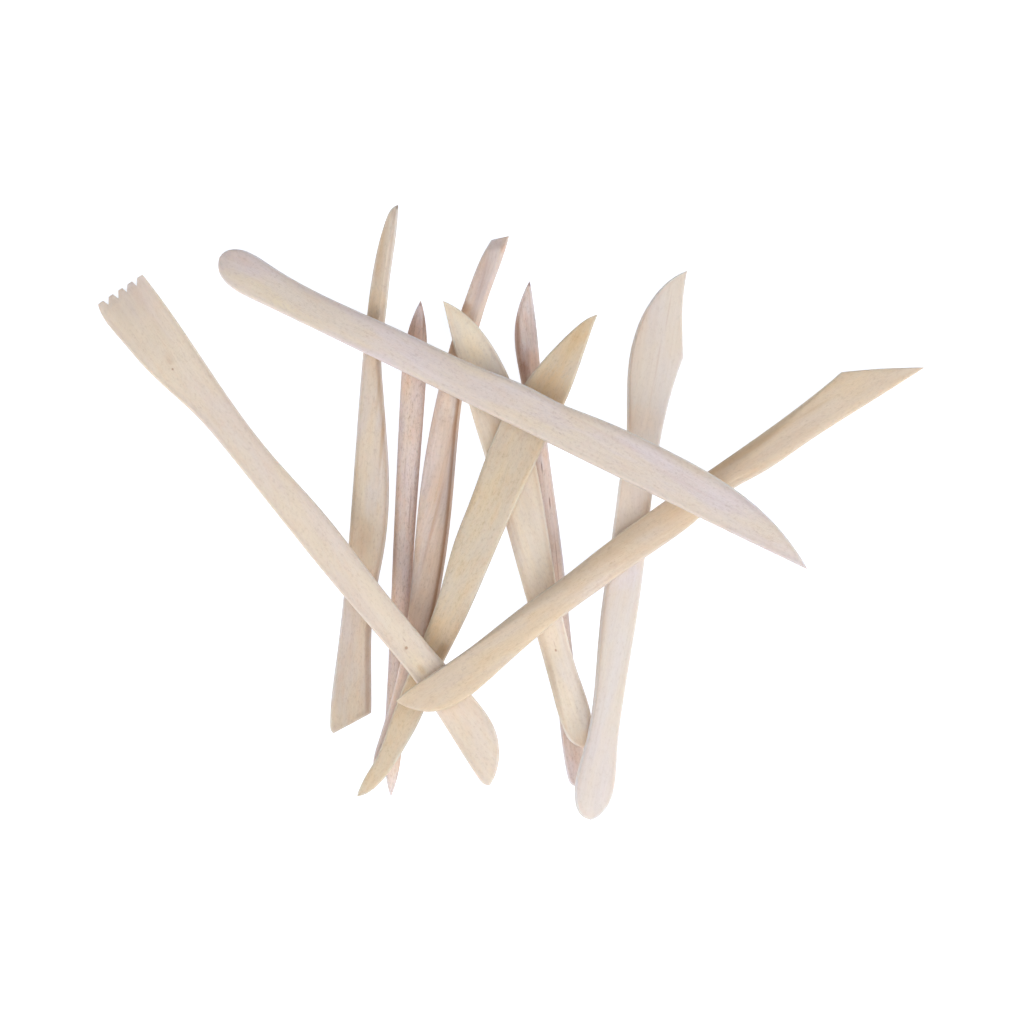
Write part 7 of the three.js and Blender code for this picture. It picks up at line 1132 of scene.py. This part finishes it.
    rough = n.math("ADD", n.span(streak, 0.3, 0.7, look["rough"] - 0.05, look["rough"] + 0.06), n.math("MULTIPLY", pores, 0.15))
    rough = n.math("SUBTRACT", rough, n.math("MULTIPLY", rim, 0.08))
    n.link(rough, bsdf.inputs["Roughness"])
    bsdf.inputs["Specular IOR Level"].default_value = 0.34
    bsdf.inputs["IOR"].default_value = 1.5
    bsdf.inputs["Subsurface Weight"].default_value = 0.14
    bsdf.inputs["Subsurface Radius"].default_value = (1.0, 0.6, 0.35)
    bsdf.inputs["Subsurface Scale"].default_value = 0.0014

    # relief: open pores, raised fibres, fine sanding scratches
    scratch = n.noise(n.scaled(g, (5.5, 0.5, 0.5), (seed + 9, 2, 2), (0, 0, math.radians(24))), 2.0, 0.6)
    h = n.math("MULTIPLY", pores, -0.9 * look["relief"])
    h = n.math("ADD", h, n.math("MULTIPLY", fibre, 0.55 * look["relief"]))
    h = n.math("ADD", h, n.math("MULTIPLY", speck, 0.45 * look["relief"]))
    h = n.math("ADD", h, n.math("MULTIPLY", streak, 0.5 * look["relief"]))
    h = n.math("ADD", h, n.math("MULTIPLY", scratch, 0.22))
    bump = n.new("ShaderNodeBump")
    bump.inputs["Strength"].default_value = 0.5
    bump.inputs["Distance"].default_value = 0.00009
    n.link(h, bump.inputs["Height"])
    n.link(bump.outputs[0], bsdf.inputs["Normal"])
    return mat


BODY_OF = {node: body for body, names in frame["record"]["behaviour"]["bodies"].items() for node in names}

for key, spec in TABLES.items():
    piece = build_tool(key, spec)
    piece.data.materials.append(wood(key, LOOKS[key]))
    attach(piece, BODY_OF[NODE[key]])
    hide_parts(NODE[key])

# ---------------------------------------------------------------- floor, light, camera

CAMERA_X, CAMERA_Y, CAMERA_Z = 0.000230, -0.000441, 1.161975

floor_mesh = bpy.data.meshes.new("floor")
S = 3.0
floor_mesh.from_pydata([(-S, -S, -0.0004), (S, -S, -0.0004), (S, S, -0.0004), (-S, S, -0.0004)], [], [(0, 1, 2, 3)])
floor = bpy.data.objects.new("floor", floor_mesh)
bpy.context.collection.objects.link(floor)
fm = bpy.data.materials.new("pale_floor")
fm.use_nodes = True
fb = fm.node_tree.nodes["Principled BSDF"]
fb.inputs["Base Color"].default_value = (0.35, 0.35, 0.35, 1)
fb.inputs["Roughness"].default_value = 0.9
fb.inputs["Specular IOR Level"].default_value = 0.1
fb.inputs["Emission Color"].default_value = (0.96, 1.0, 1.06, 1)
fb.inputs["Emission Strength"].default_value = 0.85
floor_mesh.materials.append(fm)


def area(name, at, to, size, watts, color=(1, 1, 1)):
    data = bpy.data.lights.new(name, "AREA")
    data.shape = "DISK"
    data.size = size
    data.energy = watts
    data.color = color
    lamp = bpy.data.objects.new(name, data)
    bpy.context.collection.objects.link(lamp)
    lamp.location = at
    x, y, z = (t - a for t, a in zip(to, at))
    lamp.rotation_euler = (math.atan2(math.hypot(x, y), -z), 0.0, math.atan2(y, x) - math.pi / 2)
    return lamp


area("tent_right", (1.292, 0.000, 0.658), (0.0, 0.0, 0.0), 0.75, 9.00, (0.93, 1.0, 1.10))
area("tent_left", (-1.268, 0.000, 0.703), (0.0, 0.0, 0.0), 0.75, 6.20, (0.93, 1.0, 1.10))
area("tent_front_left", (-0.881, -0.945, 0.658), (0.0, 0.0, 0.0), 0.75, 5.90, (0.93, 1.0, 1.10))
area("tent_front_right", (0.889, -0.921, 0.681), (0.0, 0.0, 0.0), 0.75, 4.60, (0.93, 1.0, 1.10))
area("tent_back_right", (0.929, 0.929, 0.613), (0.0, 0.0, 0.0), 0.70, 2.10, (0.93, 1.0, 1.10))
area("front_left", (-0.466, -0.807, 1.111), (0.0, 0.0, 0.0), 0.70, 3.70, (0.93, 1.0, 1.10))
area("front_right", (0.466, -0.807, 1.111), (0.0, 0.0, 0.0), 0.70, 3.70, (0.93, 1.0, 1.10))
area("overhead", (0.252, 0.000, 1.428), (0.0, 0.0, 0.0), 1.00, 7.00, (0.93, 1.0, 1.10))

world = bpy.data.worlds.new("studio")
bpy.context.scene.world = world
world.use_nodes = True
world.node_tree.nodes["Background"].inputs["Color"].default_value = (1.0, 0.99, 0.98, 1)
world.node_tree.nodes["Background"].inputs["Strength"].default_value = 0.03

cam_data = bpy.data.cameras.new("camera")
cam_data.sensor_fit = "HORIZONTAL"
cam_data.sensor_width = 36.0
cam_data.lens = 135.0
cam_data.clip_start = 0.01
cam_data.clip_end = 20.0
cam = bpy.data.objects.new("camera", cam_data)
bpy.context.collection.objects.link(cam)
cam.location = (CAMERA_X - 0.00004, CAMERA_Y + 0.00008, CAMERA_Z)
cam.rotation_euler = (0.0, 0.0, 0.0)
scene = bpy.context.scene
scene.camera = cam
scene.view_settings.view_transform = "Standard"
scene.view_settings.look = "None"
scene.view_settings.exposure = 0.0
scene.view_settings.gamma = 1.0
